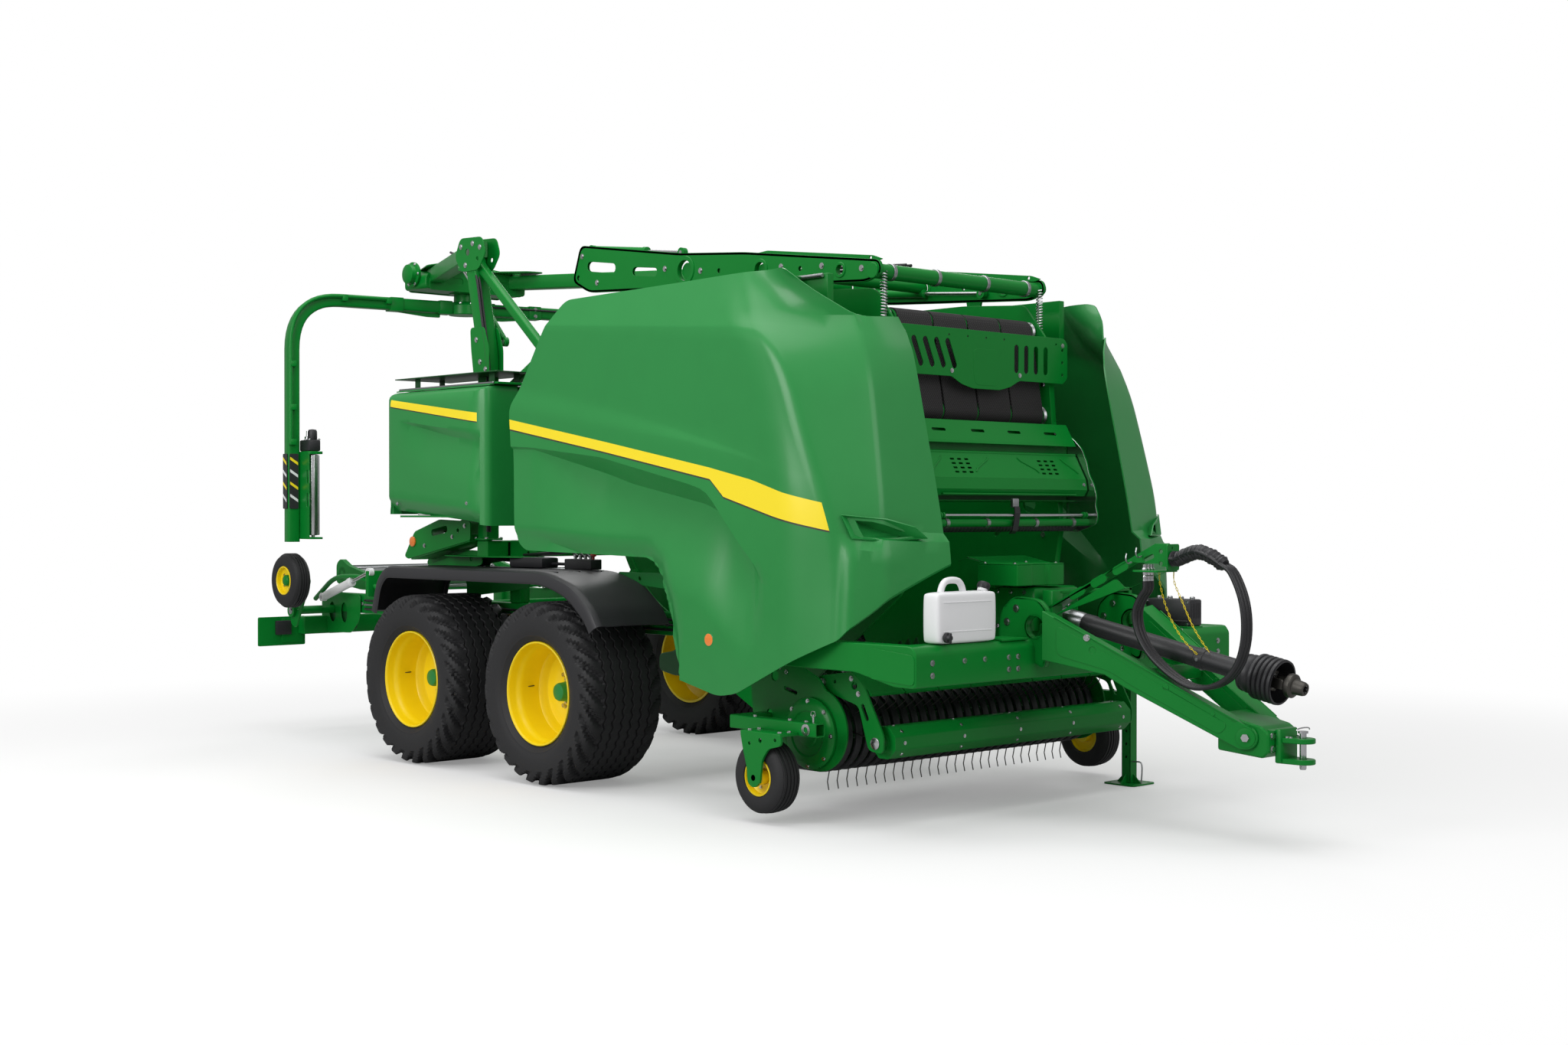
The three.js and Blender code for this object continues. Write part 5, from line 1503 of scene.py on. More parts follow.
reel = Piece("tine_reel", "reel", "steel", ["pickup_reel"])
# the reel's tube, star plates and tine tubes take the darker green, which is painted shade
reel.spin(oblong(0, -1.049, 0.050, 1.049), 32, along_y(REEL_X, 0, REEL_Z), shade_painted_green)
turns = [Matrix.Translation((REEL_X, 0, REEL_Z)) @ Matrix.Rotation(k * math.pi / 2, 4, "Y")
         for k in range(4)]
tines = [turn @ Matrix.Translation((0, -0.99 + TINE_PITCH * (k + 0.5), 0)) for turn in turns
         for k in range(TINE_ROWS)]
reel.spread(tine(), tines, tine_steel)
star = []
for k in range(16):
    a = math.pi * k / 8
    r = TINE_TUBE + 0.028 if k % 4 == 0 else (0.075 if k % 4 == 2 else 0.115)
    star.append((r * math.cos(a), r * math.sin(a)))
for y in (-1.01, -0.5, 0.0, 0.5, 1.01):
    reel.add(sheet_cut(rounded(star, 0.02, 2), 0.008, [ring(0, 0, 0.04, 16)]), shade_painted_green,
             facing("y", y) @ Matrix.Translation((REEL_X, REEL_Z, 0)))
for turn in turns:
    reel.add(bar((0, -1.03, TINE_TUBE), (0, 1.03, TINE_TUBE), 0.017), shade_painted_green, turn)
reel.done()

# %% [markdown]
# The pickup's frame ends in curved plates with a big round cam case. Outside them a square tube
# carries the gauge wheel in a curved fork. These are cut plates, turned covers and box sections,
# with the bolts, ring pins and rows of holes that such a frame has.

# %% Pickup frame
PIVOT_X, PIVOT_Z = 1.500, 0.860
GAUGE_X, GAUGE_Z = 1.880, 0.238


def arc(x, y, radius, first, last, steps=14):
    """Points on an arc, in degrees."""
    return [(x + radius * math.cos(math.radians(first + (last - first) * k / steps)),
             y + radius * math.sin(math.radians(first + (last - first) * k / steps)))
            for k in range(steps + 1)]


def ring_pin(piece, x, y, z):
    """A lynch pin: a short peg with its spring ring."""
    piece.rod((x, y, z - 0.03), (x, y, z + 0.022), 0.005, 10, bright_steel)
    loop = [(x + 0.016 * math.cos(a), y + 0.002, z + 0.022 + 0.016 * math.sin(a))
            for a in (2 * math.pi * k / 14 for k in range(15))]
    piece.tube(loop, 0.0018, 6, bright_steel)


def add_pickup_side(piece):
    plate = [(1.450, 0.905), (1.550, 0.905), (2.000, 0.720)] + arc(1.980, 0.460, 0.215, 76, -112) + [
        (1.620, 0.320), (1.500, 0.420)]
    holes = [ring(1.66, 0.72, 0.028), ring(1.62, 0.52, 0.022), slot_hole(1.74, 0.66, 1.82, 0.64, 0.010)]
    piece.plate(plate, 0.012, "y", 1.0575, 0.03, holes, steps=3)
    here = along_y(REEL_X, 1.064, REEL_Z)
    piece.spin([(0, 0), (0.183, 0), (0.185, 0.004), (0.185, 0.018), (0.178, 0.026), (0.158, 0.034),
                (0.148, 0.036), (0.120, 0.036), (0.112, 0.030), (0.070, 0.030), (0.064, 0.038),
                (0.040, 0.040), (0, 0.040)], 48, here)
    piece.spread(screw_head(0.009), round_axis(here, 8, 0.166, 0.030))
    piece.rod((PIVOT_X, 1.055, PIVOT_Z), (PIVOT_X, 1.1995, PIVOT_Z), 0.022, finish=steel)
    piece.spin([(0, 0), (0.042, 0), (0.044, 0.012), (0.03, 0.020), (0, 0.020)], 24,
               along_y(PIVOT_X, 1.062, PIVOT_Z))
    tube = oblong(1.225, 0.455, 1.290, 0.525)
    bore = oblong(1.232, 0.462, 1.283, 0.518)
    piece.plate(tube, 0.64, "x", 1.88, 0.010, [rounded(bore, 0.005)])
    piece.box((1.56, 1.060, 0.455), (1.64, 1.228, 0.525), 0.006)
    piece.add(sheet_cut(ring(0, 0, 0.030), 0.004, [ring(0, 0, 0.014)]), bright_steel,
              facing("y", 1.2925) @ Matrix.Translation((2.13, 0.49, 0)))
    for x in (1.72, 1.98, 2.10):
        screws(piece, [(x, 1.257, 0.526)], "z", 1, 0.009)
    ring_pin(piece, 2.150, 1.257, 0.545)
    fork = [(1.780, 0.470), (2.080, 0.470), (2.085, 0.415), (1.990, 0.392), (1.945, 0.335),
            (1.928, 0.215), *arc(GAUGE_X, GAUGE_Z - 0.002, 0.046, -30, -170, 8), (1.830, 0.290),
            (1.800, 0.385)]
    holes = [ring(1.93, 0.430, 0.012, 14), ring(2.04, 0.440, 0.009, 14), ring(1.85, 0.41, 0.009, 14)]
    piece.plate(fork, 0.014, "y", 1.411, 0.02, holes, steps=3)
    piece.box((1.782, 1.282, 0.457), (2.078, 1.417, 0.473))
    piece.rod((GAUGE_X, 1.3955, GAUGE_Z), (GAUGE_X, 1.418, GAUGE_Z), 0.018, finish=bright_steel)
    screws(piece, [(x, y, 0.474) for x in (1.82, 2.04) for y in (1.32, 1.385)], "z", 1, 0.010)
    for k in range(4):
        piece.add(sheet_cut(ring(0, 0, 0.012, 16), 0.003, [ring(0, 0, 0.006, 12)]), bright_steel,
                  facing("y", 1.066) @ Matrix.Translation((1.60 + 0.05 * k, 0.81 - 0.022 * k, 0)))


frame_piece = Piece("pickup_weldment", "pickup", "green_paint", ["pickup_frame"])
add_pickup_side(frame_piece)
frame_piece.both_sides()
frame_piece.rod((1.548, -1.055, 0.46), (1.548, 1.055, 0.46), 0.038, 24)
frame_piece.done()

# %% [markdown]
# The gauge wheel has a small ribbed tyre on a yellow pressed rim. The five ribs are part of the
# turned profile.

# %% Gauge wheels


def add_gauge(piece):
    here = along_y(GAUGE_X, 1.245, GAUGE_Z)
    tread = []
    for k in range(5):
        y = 0.031 + 0.022 * k
        crown = 0.188 - 0.004 * abs(k - 2) ** 1.5 / 2.8
        tread += [(crown - 0.007, y - 0.009), (crown, y - 0.007), (crown, y + 0.007),
                  (crown - 0.007, y + 0.009)]
    profile = [(0.097, 0.012), (0.104, 0.003), (0.130, 0.000), (0.152, 0.003), (0.170, 0.010),
               (0.180, 0.020), *tread, (0.180, 0.130), (0.170, 0.140), (0.152, 0.147), (0.130, 0.150),
               (0.104, 0.147), (0.097, 0.138), (0.097, 0.110), (0.097, 0.040)]
    piece.spin(profile, 64, here, tyre_rubber)
    piece.spin([(0.0965, 0.012), (0.0965, 0.143), (0.090, 0.145), (0.087, 0.139), (0.085, 0.112),
                (0.060, 0.100), (0.045, 0.098), (0.040, 0.098), (0.040, 0.045), (0.060, 0.045),
                (0.087, 0.035), (0.090, 0.010)], 48, here, yellow)
    piece.spin([(0, 0.002), (0.036, 0.002), (0.038, 0.006), (0.038, 0.140), (0.030, 0.148), (0, 0.148)],
               28, here, yellow)
    piece.spread(screw_head(0.007), round_axis(here, 5, 0.060, 0.101))


left_and_right("gauge_tyre", "gauge_{}", "tyre_rubber", ["gauge_wheel_{}"], add_gauge)

# %% [markdown]
# The wind guard presses the crop down: two arms, an octagonal roller between them, and a bent
# plate with a row of springs above it. The roller is folded sheet on end flanges with a stub tube.

# %% Wind guard and its roller
GUARD_X, GUARD_Z = 1.990, 0.705
ROLLER_X, ROLLER_Z = 2.360, 0.420

guard = Piece("wind_guard_weldment", "wind_guard", "green_paint", ["wind_guard"])
arm = [(1.950, 0.735), (2.200, 0.770), (2.280, 0.700), (2.415, 0.460), (2.410, 0.370), (2.310, 0.380),
       (2.240, 0.600), (1.960, 0.670)]
arm_holes = [ring(2.21, 0.70, 0.020, 16), slot_hole(2.27, 0.60, 2.30, 0.54, 0.012),
             ring(2.07, 0.712, 0.010, 14)]
guard.plate(arm, 0.012, "y", 1.023, 0.03, arm_holes)
guard.rod((GUARD_X, 1.026, GUARD_Z), (GUARD_X, 1.0497, GUARD_Z), 0.018, finish=steel)
guard.spin([(0, 0), (0.030, 0), (0.030, 0.006), (0.02, 0.009), (0, 0.009)], 24,
           line_up((ROLLER_X, 1.029, ROLLER_Z), (ROLLER_X, 2, ROLLER_Z)), bright_steel)
screws(guard, [(2.24, 1.029, 0.66), (2.19, 1.029, 0.735)], "y", 1, 0.010)
guard.both_sides()
hood = [(2.062, 0.797), (2.145, 0.798), (2.160, 0.790), (2.316, 0.660), (2.310, 0.650), (2.150, 0.783),
        (2.062, 0.789)]
for k in range(8):
    y = -1.015 + 0.254 * k
    guard.plate(hood, 0.246, "y", y + 0.126, edge=0.0008)
guard.box((2.160, -1.017, 0.702), (2.208, 1.017, 0.748), 0.005)
guard.rod((2.118, -1.017, 0.770), (2.118, 1.017, 0.770), 0.012, finish=steel)
coil = [(0.013 * math.cos(a), -0.012 + 0.0008 * k, 0.013 * math.sin(a)) for k, a in
        enumerate(2 * math.pi * j / 8 for j in range(31))]
comb = [Matrix.Translation((2.262, -0.99 + TINE_PITCH * (k + 0.5), 0.672)) for k in range(TINE_ROWS)]
guard.spread(pipe(coil, 0.0032, 6), comb, black_plastic)
guard.rod((2.262, -1.017, 0.672), (2.262, 1.017, 0.672), 0.0095, 12, steel)
wire = [(2.255, 0.0, 0.665), (2.225, 0.0, 0.600), (2.165, 0.0, 0.560), (2.150, 0.0, 0.552)]
guard.spread(pipe(wire, 0.0028, 6), [Matrix.Translation((0, m.to_translation().y, 0)) for m in comb],
             tine_steel)
guard.done()

roller = Piece("crop_roller", "guard_roller", "green_paint", ["wind_guard_roller"])
octagon = [(0.0875 * math.cos(math.pi * (k + 0.5) / 4), 0.0875 * math.sin(math.pi * (k + 0.5) / 4))
           for k in range(8)]
roller.add(sheet_cut(rounded(octagon, 0.006, 2), 1.94), frame_green,
           facing("y", 0) @ Matrix.Translation((ROLLER_X, ROLLER_Z, 0)))
for y in (-0.976, 0.972):
    roller.spin([(0, 0), (0.072, 0), (0.074, 0.002), (0.074, 0.008), (0.04, 0.010), (0.04, 0.014),
                 (0, 0.014)] if y > 0 else [(0, 0), (0.04, 0), (0.04, 0.004), (0.074, 0.006),
                                            (0.074, 0.012), (0, 0.012)], 24,
                along_y(ROLLER_X, y, ROLLER_Z))
roller.rod((ROLLER_X, -1.0145, ROLLER_Z), (ROLLER_X, 1.0145, ROLLER_Z), 0.020, finish=bright_steel)
flats = [Matrix.Translation((ROLLER_X, y, ROLLER_Z)) @ Matrix.Rotation(k * math.pi / 4, 4, "Y")
         @ Matrix.Translation((0, 0, 0.0810)) for y in (-0.9, -0.45, 0.0, 0.45, 0.9) for k in range(8)]
roller.spread(screw_head(0.007, 0.004), flats)
roller.done()

# %% [markdown]
# Behind the pickup a rotor with star plates feeds the chamber. It sits in the dark, so toothed
# plates on a tube are enough. They are in the darker green, with their shade painted into the colour.

# %% Feed rotor
rotor = Piece("star_rotor", "rotor", "dark_green_paint", ["feed_rotor"])
star = []
for k in range(8):
    a = math.pi * k / 4
    star += [(0.213 * math.cos(a), 0.213 * math.sin(a)),
             (0.120 * math.cos(a + 0.5), 0.120 * math.sin(a + 0.5))]
for k in range(13):
    # the rotor's plates and tube take the darker green, which is painted shade
    rotor.add(sheet_cut(rounded(star, 0.02, 2), 0.010, [ring(0, 0, 0.05, 16)]), shade_painted_green,
              facing("y", -0.58 + k * 1.16 / 12) @ Matrix.Translation((1.15, 0.62, 0))
              @ Matrix.Rotation(0.13 * k, 4, "Z"))
rotor.rod((1.15, -0.6045, 0.62), (1.15, 0.6045, 0.62), 0.055, 24, shade_painted_green)
rotor.done()
print("pickup done", len(made_pieces), "pieces")

# %% [markdown]
# Folded sheet is everywhere on a baler. `folded` takes the bend line seen from the side and gives
# one plate for each leg, with its own holes, and a round bar where two legs meet, which is the
# outside of the bend.

# %% Folded sheet


def folded(piece, section, y0, y1, wall, material, holes=None):
    """Legs between [x, z] points. `holes` maps a leg's number to outlines of [along, y] points."""
    for leg, (a, b) in enumerate(zip(section, section[1:])):
        a, b = Vector((a[0], 0, a[1])), Vector((b[0], 0, b[1]))
        ahead = (b - a).normalized()
        normal = ahead.cross(Vector((0, 1, 0)))
        turn = Matrix((ahead, Vector((0, 1, 0)), normal)).transposed().to_4x4()
        outline = oblong(0, y0, (b - a).length, y1)
        piece.add(sheet_cut(outline, wall, (holes or {}).get(leg, ()), edge=0.0006), material,
                  Matrix.Translation(a) @ turn)
    for x, z in section[1:-1]:
        piece.add(bar((x, y0, z), (x, y1, z), wall * 0.56, 12, 0.0006), material)


# %% [markdown]
# The bale chamber's sides are thick plates, cut with round holes for shafts and stiffened by a post,
# a rail and the long bar that carries the shield's hinge. From the front one sees their folded
# edges, with bolt groups on them.

# %% Chamber sides


def add_chamber_side(piece):
    plate = [(0.640, 0.880), (0.820, 0.560), (1.180, 0.380), (1.400, 0.560), (1.560, 0.700),
             (2.160, 1.150), (2.220, 1.500), (2.160, 2.100), (2.120, 2.560), (1.960, 2.760),
             (1.500, 2.790), (0.700, 2.790), (0.675, 2.640), (0.640, 2.600)]
    holes = [ring(2.00, 1.62, 0.045), ring(2.02, 1.95, 0.032), ring(1.82, 1.25, 0.040),
             ring(1.9, 2.35, 0.036), slot_hole(1.75, 1.45, 1.83, 1.50, 0.014), ring(1.2, 1.3, 0.09),
             ring(1.2, 2.3, 0.09)]
    piece.plate(plate, 0.016, "y", 0.614, 0.03, holes, steps=3)
    piece.box((0.68, 0.620, 0.87), (1.470, 0.7195, 0.99), 0.006)
    piece.box((1.500, 0.620, 1.0), (1.560, 0.683, 2.70), 0.006)
    piece.box((0.68, 0.620, 1.692), (2.2255, 0.683, 1.748), 0.006)
    piece.box((0.664, 0.620, 2.640), (0.700, 0.665, 2.790))
    piece.box((0.560, 0.6535, 2.640), (0.700, 0.683, 2.790))
    for x in (0.93, 1.83):
        piece.box((x - 0.03, 0.620, 2.562), (x + 0.03, 0.968, 2.598), 0.005)
    piece.box((0.620, 0.926, 2.562), (1.960, 0.9725, 2.811), 0.004)
    spots = [(2.10, z) for z in (1.34, 1.42, 1.50, 1.86, 2.10, 2.22, 2.40, 2.50)]
    spots += [(1.98, 1.76), (2.06, 1.80), (1.93, 1.83), (2.03, 1.70), (1.88, 1.55), (1.97, 1.50)]
    screws(piece, [(x, 0.6225, z) for x, z in spots], "y", 1, 0.011)
    edge = [(2.150, 1.160), (2.205, 1.500), (2.147, 2.090), (2.108, 2.545)]
    for a, b in zip(edge, edge[1:]):
        piece.add(girder((a[0], 0.638, a[1]), (b[0], 0.638, b[1]), 0.045, 0.010, 0.003), frame_green)
    for z, r in ((1.98, 0.052), (1.30, 0.060)):
        piece.spin([(0, 0), (r, 0), (r, 0.012), (r * 0.8, 0.020), (0, 0.020)], 28,
                   along_y(2.06 if z > 1.5 else 1.95, 0.6225, z))
    screws(piece, [(2.1, 0.604, z) for z in (1.25, 1.45, 2.05, 2.30)], "y", -1, 0.011)


left_and_right("chamber_wall", "chassis", "green_paint", ["chamber_side_{}"], add_chamber_side)

# %% [markdown]
# The bale is turned by endless black belts. At the front one sees them run between two rollers, so
# each belt is a closed loop round both, and a steel end of the roller shows beside it.

# %% Belts
ROLLER_UP, ROLLER_LOW = Vector((2.000, 2.600)), Vector((2.085, 2.120))
BELT_RADIUS, BELT_WALL = 0.062, 0.006
BELTS = 4


def belt_loop(y0, y1):
    """One belt round both rollers, from side to side."""
    ahead = (ROLLER_LOW - ROLLER_UP).normalized()
    tilt = math.atan2(ahead.y, ahead.x)
    path = []
    for centre, first in ((ROLLER_LOW, tilt - math.pi / 2), (ROLLER_UP, tilt + math.pi / 2)):
        path += [centre + BELT_RADIUS * Vector((math.cos(first + math.pi * k / 14),
                                                math.sin(first + math.pi * k / 14))) for k in range(15)]
    shrunk = []
    for spot in path:
        centre = ROLLER_UP if (spot - ROLLER_UP).length < (spot - ROLLER_LOW).length else ROLLER_LOW
        shrunk.append(centre + (spot - centre) * (1 - BELT_WALL / BELT_RADIUS))
    rings = [[(a.x, y0 + 0.002, a.y), (a.x, y1 - 0.002, a.y), (b.x, y1, b.y), (b.x, y0, b.y)]
             for a, b in zip(path, shrunk)]
    return from_rings(rings, wrap=True)


belts = Piece("baling_belts", "chassis", "black_plastic", ["belt_loop"])
for k in range(BELTS):
    width = 1.116 / BELTS
    y = -0.558 + k * width
    belts.add(belt_loop(y + 0.006, y + width - 0.006), belt_rubber)
for centre in (ROLLER_UP, ROLLER_LOW):
    x, z = centre
    belts.rod((x, -0.565, z), (x, 0.565, z), 0.055, 32)
    belts.rod((x, -0.6045, z), (x, 0.6045, z), 0.024, 20, steel)
    for k in (-1, 1):
        belts.spin([(0.02, -0.012), (0.050, -0.012), (0.058, 0), (0.050, 0.012), (0.02, 0.012)], 28,
                   along_y(x, 0.588 * k, z), steel)
belts.done()

# %% [markdown]
# A pressed guard plate crosses the front above the binding unit: its lower edge drops to a rounded
# lobe in the middle, four slanted slots stand on one side and four upright ones on the other, and
# the middle is plain. The plate is cut in one go, with a folded top edge.

# %% Front guard plate
plate = Piece("slotted_guard", "chassis", "green_paint", ["front_grille"])
outline = [(-0.700, 2.330), (-0.660, 2.300), (-0.28, 2.300), (-0.20, 2.262), (-0.11, 2.242),
           (0.11, 2.242), (0.20, 2.262), (0.28, 2.300), (0.660, 2.300), (0.700, 2.330), (0.700, 2.530),
           (0.670, 2.556), (-0.670, 2.556), (-0.700, 2.530)]
slots = [slot_hole(-0.575 + 0.088 * k, 2.482, -0.520 + 0.088 * k, 2.360, 0.0185) for k in range(4)]
slots += [slot_hole(0.255 + 0.084 * k, 2.480, 0.255 + 0.084 * k, 2.360, 0.0185) for k in range(4)]
slots += [ring(y, z, 0.009, 14) for y in (-0.655, 0.655) for z in (2.35, 2.42, 2.49)]
slots += [ring(y, 2.52, 0.006, 12) for y in (-0.30, -0.15, 0.0, 0.15, 0.60)]
plate.plate(outline, 0.006, "x", 2.196, 0.016, slots, steps=3)
plate.plate(oblong(2.135, -0.66, 2.196, 0.66), 0.004, "z", 2.551, 0.01)
lobe = rounded([(-0.088, 2.262), (0.088, 2.262), (0.105, 2.32), (0.105, 2.46), (-0.105, 2.46),
                (-0.105, 2.32)], 0.04)
plate.plate(lobe, 0.004, "x", 2.198, edge=0.0015)
for side in (-1, 1):
    low, high = sorted((side * 0.6235, side * 0.688))
    plate.box((2.062, low, 2.492), (2.194, high, 2.538), 0.004)
    screws(plate, [(2.2, side * 0.655, 2.515), (2.2, side * 0.28, 2.33)], "x", 1, 0.009)
plate.done()

# %% [markdown]
# The binding unit wraps net round the bale. It is a box between two wavy end plates with bright
# edges: an upper plate with long holes, ribbed rollers, a thin rod and a black rubber strap below,
# and in front a hinged cover of perforated sheet with a round bead along its top.

# %% Binding unit
unit = Piece("binding_unit", "chassis", "green_paint", ["binding_box"])
end = [(2.228, 1.475), (2.300, 1.462), (2.345, 1.478), (2.392, 1.492), (2.440, 1.512), (2.448, 1.560),
       (2.430, 1.615), (2.440, 1.660), (2.420, 1.730), (2.385, 1.790), (2.372, 1.850), (2.335, 1.930),
       (2.290, 1.975), (2.250, 2.005), (2.228, 1.990)]
end_holes = [slot_hole(2.352, 1.800, 2.322, 1.870, 0.008), ring(2.405, 1.60, 0.012, 14),
             ring(2.27, 1.55, 0.018, 16)]
for side in (-1, 1):
    unit.plate(end, 0.010, "y", side * 0.662, 0.02, end_holes, steps=3)
    unit.plate(end, 0.0035, "y", side * 0.6563, 0.02, finish=bright_steel, steps=3)
    screws(unit, [(2.25, side * 0.6675, 1.62), (2.25, side * 0.6675, 1.90), (2.38, side * 0.6675, 1.535)],
           "y", side, 0.009)
folded(unit, [(2.300, 1.640), (2.262, 1.634), (2.231, 1.634), (2.231, 2.040)], -0.650, 0.650, 0.005,
       frame_green)
upper_holes = [slot_hole(0.062, y - 0.045, 0.062, y + 0.045, 0.009) for y in (-0.46, -0.15, 0.15, 0.46)]
folded(unit, [(2.228, 2.062), (2.236, 2.064), (2.300, 1.955), (2.306, 1.942)], -0.640, 0.640, 0.004,
       frame_green, {1: upper_holes})
screws(unit, [(2.232, y, 2.02) for y in (-0.55, -0.3, 0.0, 0.3, 0.55)], "x", 1, 0.008)
unit.rod((2.405, -0.658, 1.560), (2.405, 0.658, 1.560), 0.0085, 14, bright_steel)
unit.rod((2.370, -0.658, 1.520), (2.370, 0.658, 1.520), 0.021, 24)
for y in (-0.52, -0.2, 0.2, 0.52):
    unit.spin([(0.018, -0.014), (0.0255, -0.012), (0.0255, 0.012), (0.018, 0.014)], 24,
              along_y(2.37, y, 1.52), steel)
ribs = []
for k in range(44):
    y = -0.630 + 0.0286 * k
    ribs += [(0.0262, y), (0.0300, y + 0.008), (0.0300, y + 0.018), (0.0262, y + 0.026)]
unit.spin([(0, -0.658), (0.020, -0.658), (0.020, -0.640), *ribs, (0.020, 0.640), (0.020, 0.658),
           (0, 0.658)], 24, along_y(2.290, 0, 1.500), black_plastic)
for y in (-0.60, -0.58, 0.58, 0.60):
    unit.spin([(0.008, -0.006), (0.017, -0.005), (0.017, 0.005), (0.008, 0.006)], 18,
              along_y(2.405, y, 1.56))
strap = [(2.400, 1.612), (2.414, 1.600), (2.418, 1.570), (2.410, 1.520), (2.398, 1.478), (2.380, 1.462)]
folded(unit, strap, -0.022, 0.022, 0.006, hose_rubber)
unit.box((2.388, -0.026, 1.600), (2.410, 0.026, 1.650), 0.006, finish=steel)
unit.done()

COVER_HALF = 0.646
cover = Piece("net_cover", "cover", "green_paint", ["binding_cover"])
perforation = []
for side in (-1, 1):
    for column in range(3):
        for row in range(4):
            u, y = 0.030 + 0.026 * row, side * (0.300 + 0.056 * column)
            perforation.append(rounded(oblong(u, y - 0.016, u + 0.011, y + 0.016), 0.003, 2))
cover_line = [(2.252, 1.868), (2.262, 1.893), (2.300, 1.886), (2.370, 1.758), (2.381, 1.700),
              (2.360, 1.666)]
folded(cover, cover_line, -COVER_HALF, COVER_HALF, 0.005, frame_green, {2: perforation})
cover.rod((2.292, -COVER_HALF, 1.893), (2.292, COVER_HALF, 1.893), 0.0095, 16)
for side in (-1, 1):
    cover.plate([(2.255, 1.866), (2.264, 1.888), (2.299, 1.882), (2.367, 1.757), (2.376, 1.702),
                 (2.350, 1.690), (2.300, 1.80)], 0.005, "y", side * 0.642, 0.006, steps=2)
    cover.rod((2.262, side * 0.640, 1.880), (2.262, side * 0.6545, 1.880), 0.0078, 14, steel)
    for y0, y1 in ((0.12, 0.26), (0.49, 0.60)):
        zed = [(2.312, side * y0, 1.871), (2.322, side * (y0 + 0.02), 1.853),
               (2.346, side * (y1 - 0.02), 1.809), (2.356, side * y1, 1.791)]
        cover.tube(zed, 0.0042, 8)
for y in (-0.62, 0.62):
    screws(cover, [(2.377, y, 1.727)], "x", 1, 0.008)
cover.box((2.366, -0.55, 1.668), (2.384, 0.55, 1.678), 0.004)
cover.done()

# %% [markdown]
# The gearbox takes the tractor's drive to both sides. Its case is cast, with rounded edges and a
# ring of screws, and over it sits a sheet cover with a notched front edge.

# %% Gearbox
gear = Piece("gear_case", "chassis", "green_paint", ["gearbox"])
gear.box((2.262, -0.188, 0.952), (2.69, 0.188, 1.188), 0.025)
gear.box((2.562, -0.15, 0.80), (2.7195, 0.15, 1.0), 0.012)
lid = [(2.440, -0.350), (2.710, -0.350), (2.710, -0.230), (2.690, -0.215), (2.690, -0.105),
       (2.710, -0.090), (2.710, 0.030), (2.440, 0.030)]
lid_holes = [ring(2.50, -0.30, 0.008, 12), ring(2.50, -0.02, 0.008, 12),
             slot_hole(2.60, -0.30, 2.64, -0.30, 0.008), slot_hole(2.60, -0.02, 2.64, -0.02, 0.008)]
gear.plate(lid, 0.004, "z", 1.309, 0.008, lid_holes, steps=3)
gear.plate(lid, 0.108, "z", 1.252, 0.008, edge=0.003, steps=3)
screws(gear, [(x, y, 1.311) for x in (2.47, 2.67) for y in (-0.325, 0.005)], "z", 1, 0.008)
folded(gear, [(2.205, 1.165), (2.205, 1.318), (2.262, 1.337), (2.456, 1.299), (2.456, 1.182)], -0.228,
       0.248, 0.005, frame_green)
for y in (-0.226, 0.246):
    gear.plate([(2.207, 1.167), (2.207, 1.316), (2.262, 1.334), (2.454, 1.297), (2.454, 1.182)], 0.005,
               "y", y, 0.01, steps=2)
drive_back, drive_front = Vector((2.875, 0, 1.000)), Vector((4.160, 0, 0.745))
drive_ahead = (drive_front - drive_back).normalized()
input_end = line_up(drive_back - drive_ahead * 0.20, drive_front)
gear.spin([(0, 0.001), (0.050, 0.001), (0.054, 0.02), (0.054, 0.18), (0.046, 0.199), (0, 0.199)], 32,
          input_end, steel)
gear.spin([(0.05, 0.02), (0.088, 0.02), (0.090, 0.024), (0.090, 0.040), (0.084, 0.046), (0.05, 0.046)],
          32, input_end)
gear.spread(screw_head(0.008), round_axis(input_end, 6, 0.072, 0.046))
screws(gear, [(2.35 + 0.09 * k, -0.189, z) for k in range(4) for z in (0.98, 1.16)], "y", -1, 0.009)
gear.done()
print("front done", len(made_pieces), "pieces")

# %% [markdown]
# The front cross beam is a welded box section that joins the two side arms. Two thick ears stand on
# it, each with a big lightening hole, and hold the drawbar. Box sections are drawn with broken
# edges, and the ears are plates with a flanged rim.

# %% Cross beam
beam = Piece("front_beam", "chassis", "green_paint", ["cross_beam"])
section = [(2.745, 0.745), (2.880, 0.745), (2.880, 0.905), (2.855, 0.940), (2.720, 0.940), (2.720, 0.770)]
beam.plate(section, 2.586, "y", 0, 0.012, edge=0.002, steps=3)
side_arm = [(1.290, 0.805), (2.480, 0.800), (2.740, 0.743), (2.8785, 0.743), (2.8785, 0.907),
            (2.850, 0.942), (1.290, 0.942)]
arm_piece = Piece("side_arm", "chassis", "green_paint")
arm_piece.plate(side_arm, 0.094, "y", 1.250, 0.02, edge=0.004, steps=3)
arm_piece.plate([(2.58, 0.775), (2.874, 0.756), (2.874, 0.900), (2.58, 0.925)], 0.008, "y", 1.2975, 0.03,
                steps=3)
arm_piece.box((1.290, 0.8003, 0.872), (1.380, 1.205, 0.938), 0.008)
ear = [(2.640, 0.935), (2.940, 0.790), (2.9595, 0.900), (2.9595, 1.080), (2.900, 1.140), (2.740, 1.150),
       (2.660, 1.080)]
ear_holes = [ring(2.880, 1.000, 0.055, 28), ring(2.76, 1.09, 0.012, 14)]
for y in (0.385, 0.415):
    arm_piece.plate(ear, 0.010, "y", y, 0.035, ear_holes, steps=4)
rim = rounded(ear, 0.035, 4)
inner_rim = rounded([(2.652, 0.940), (2.930, 0.806), (2.948, 0.905), (2.948, 1.074), (2.896, 1.128),
                     (2.745, 1.138), (2.670, 1.075)], 0.03, 4)
arm_piece.plate(rim, 0.040, "y", 0.400, holes=[inner_rim], edge=0.002)
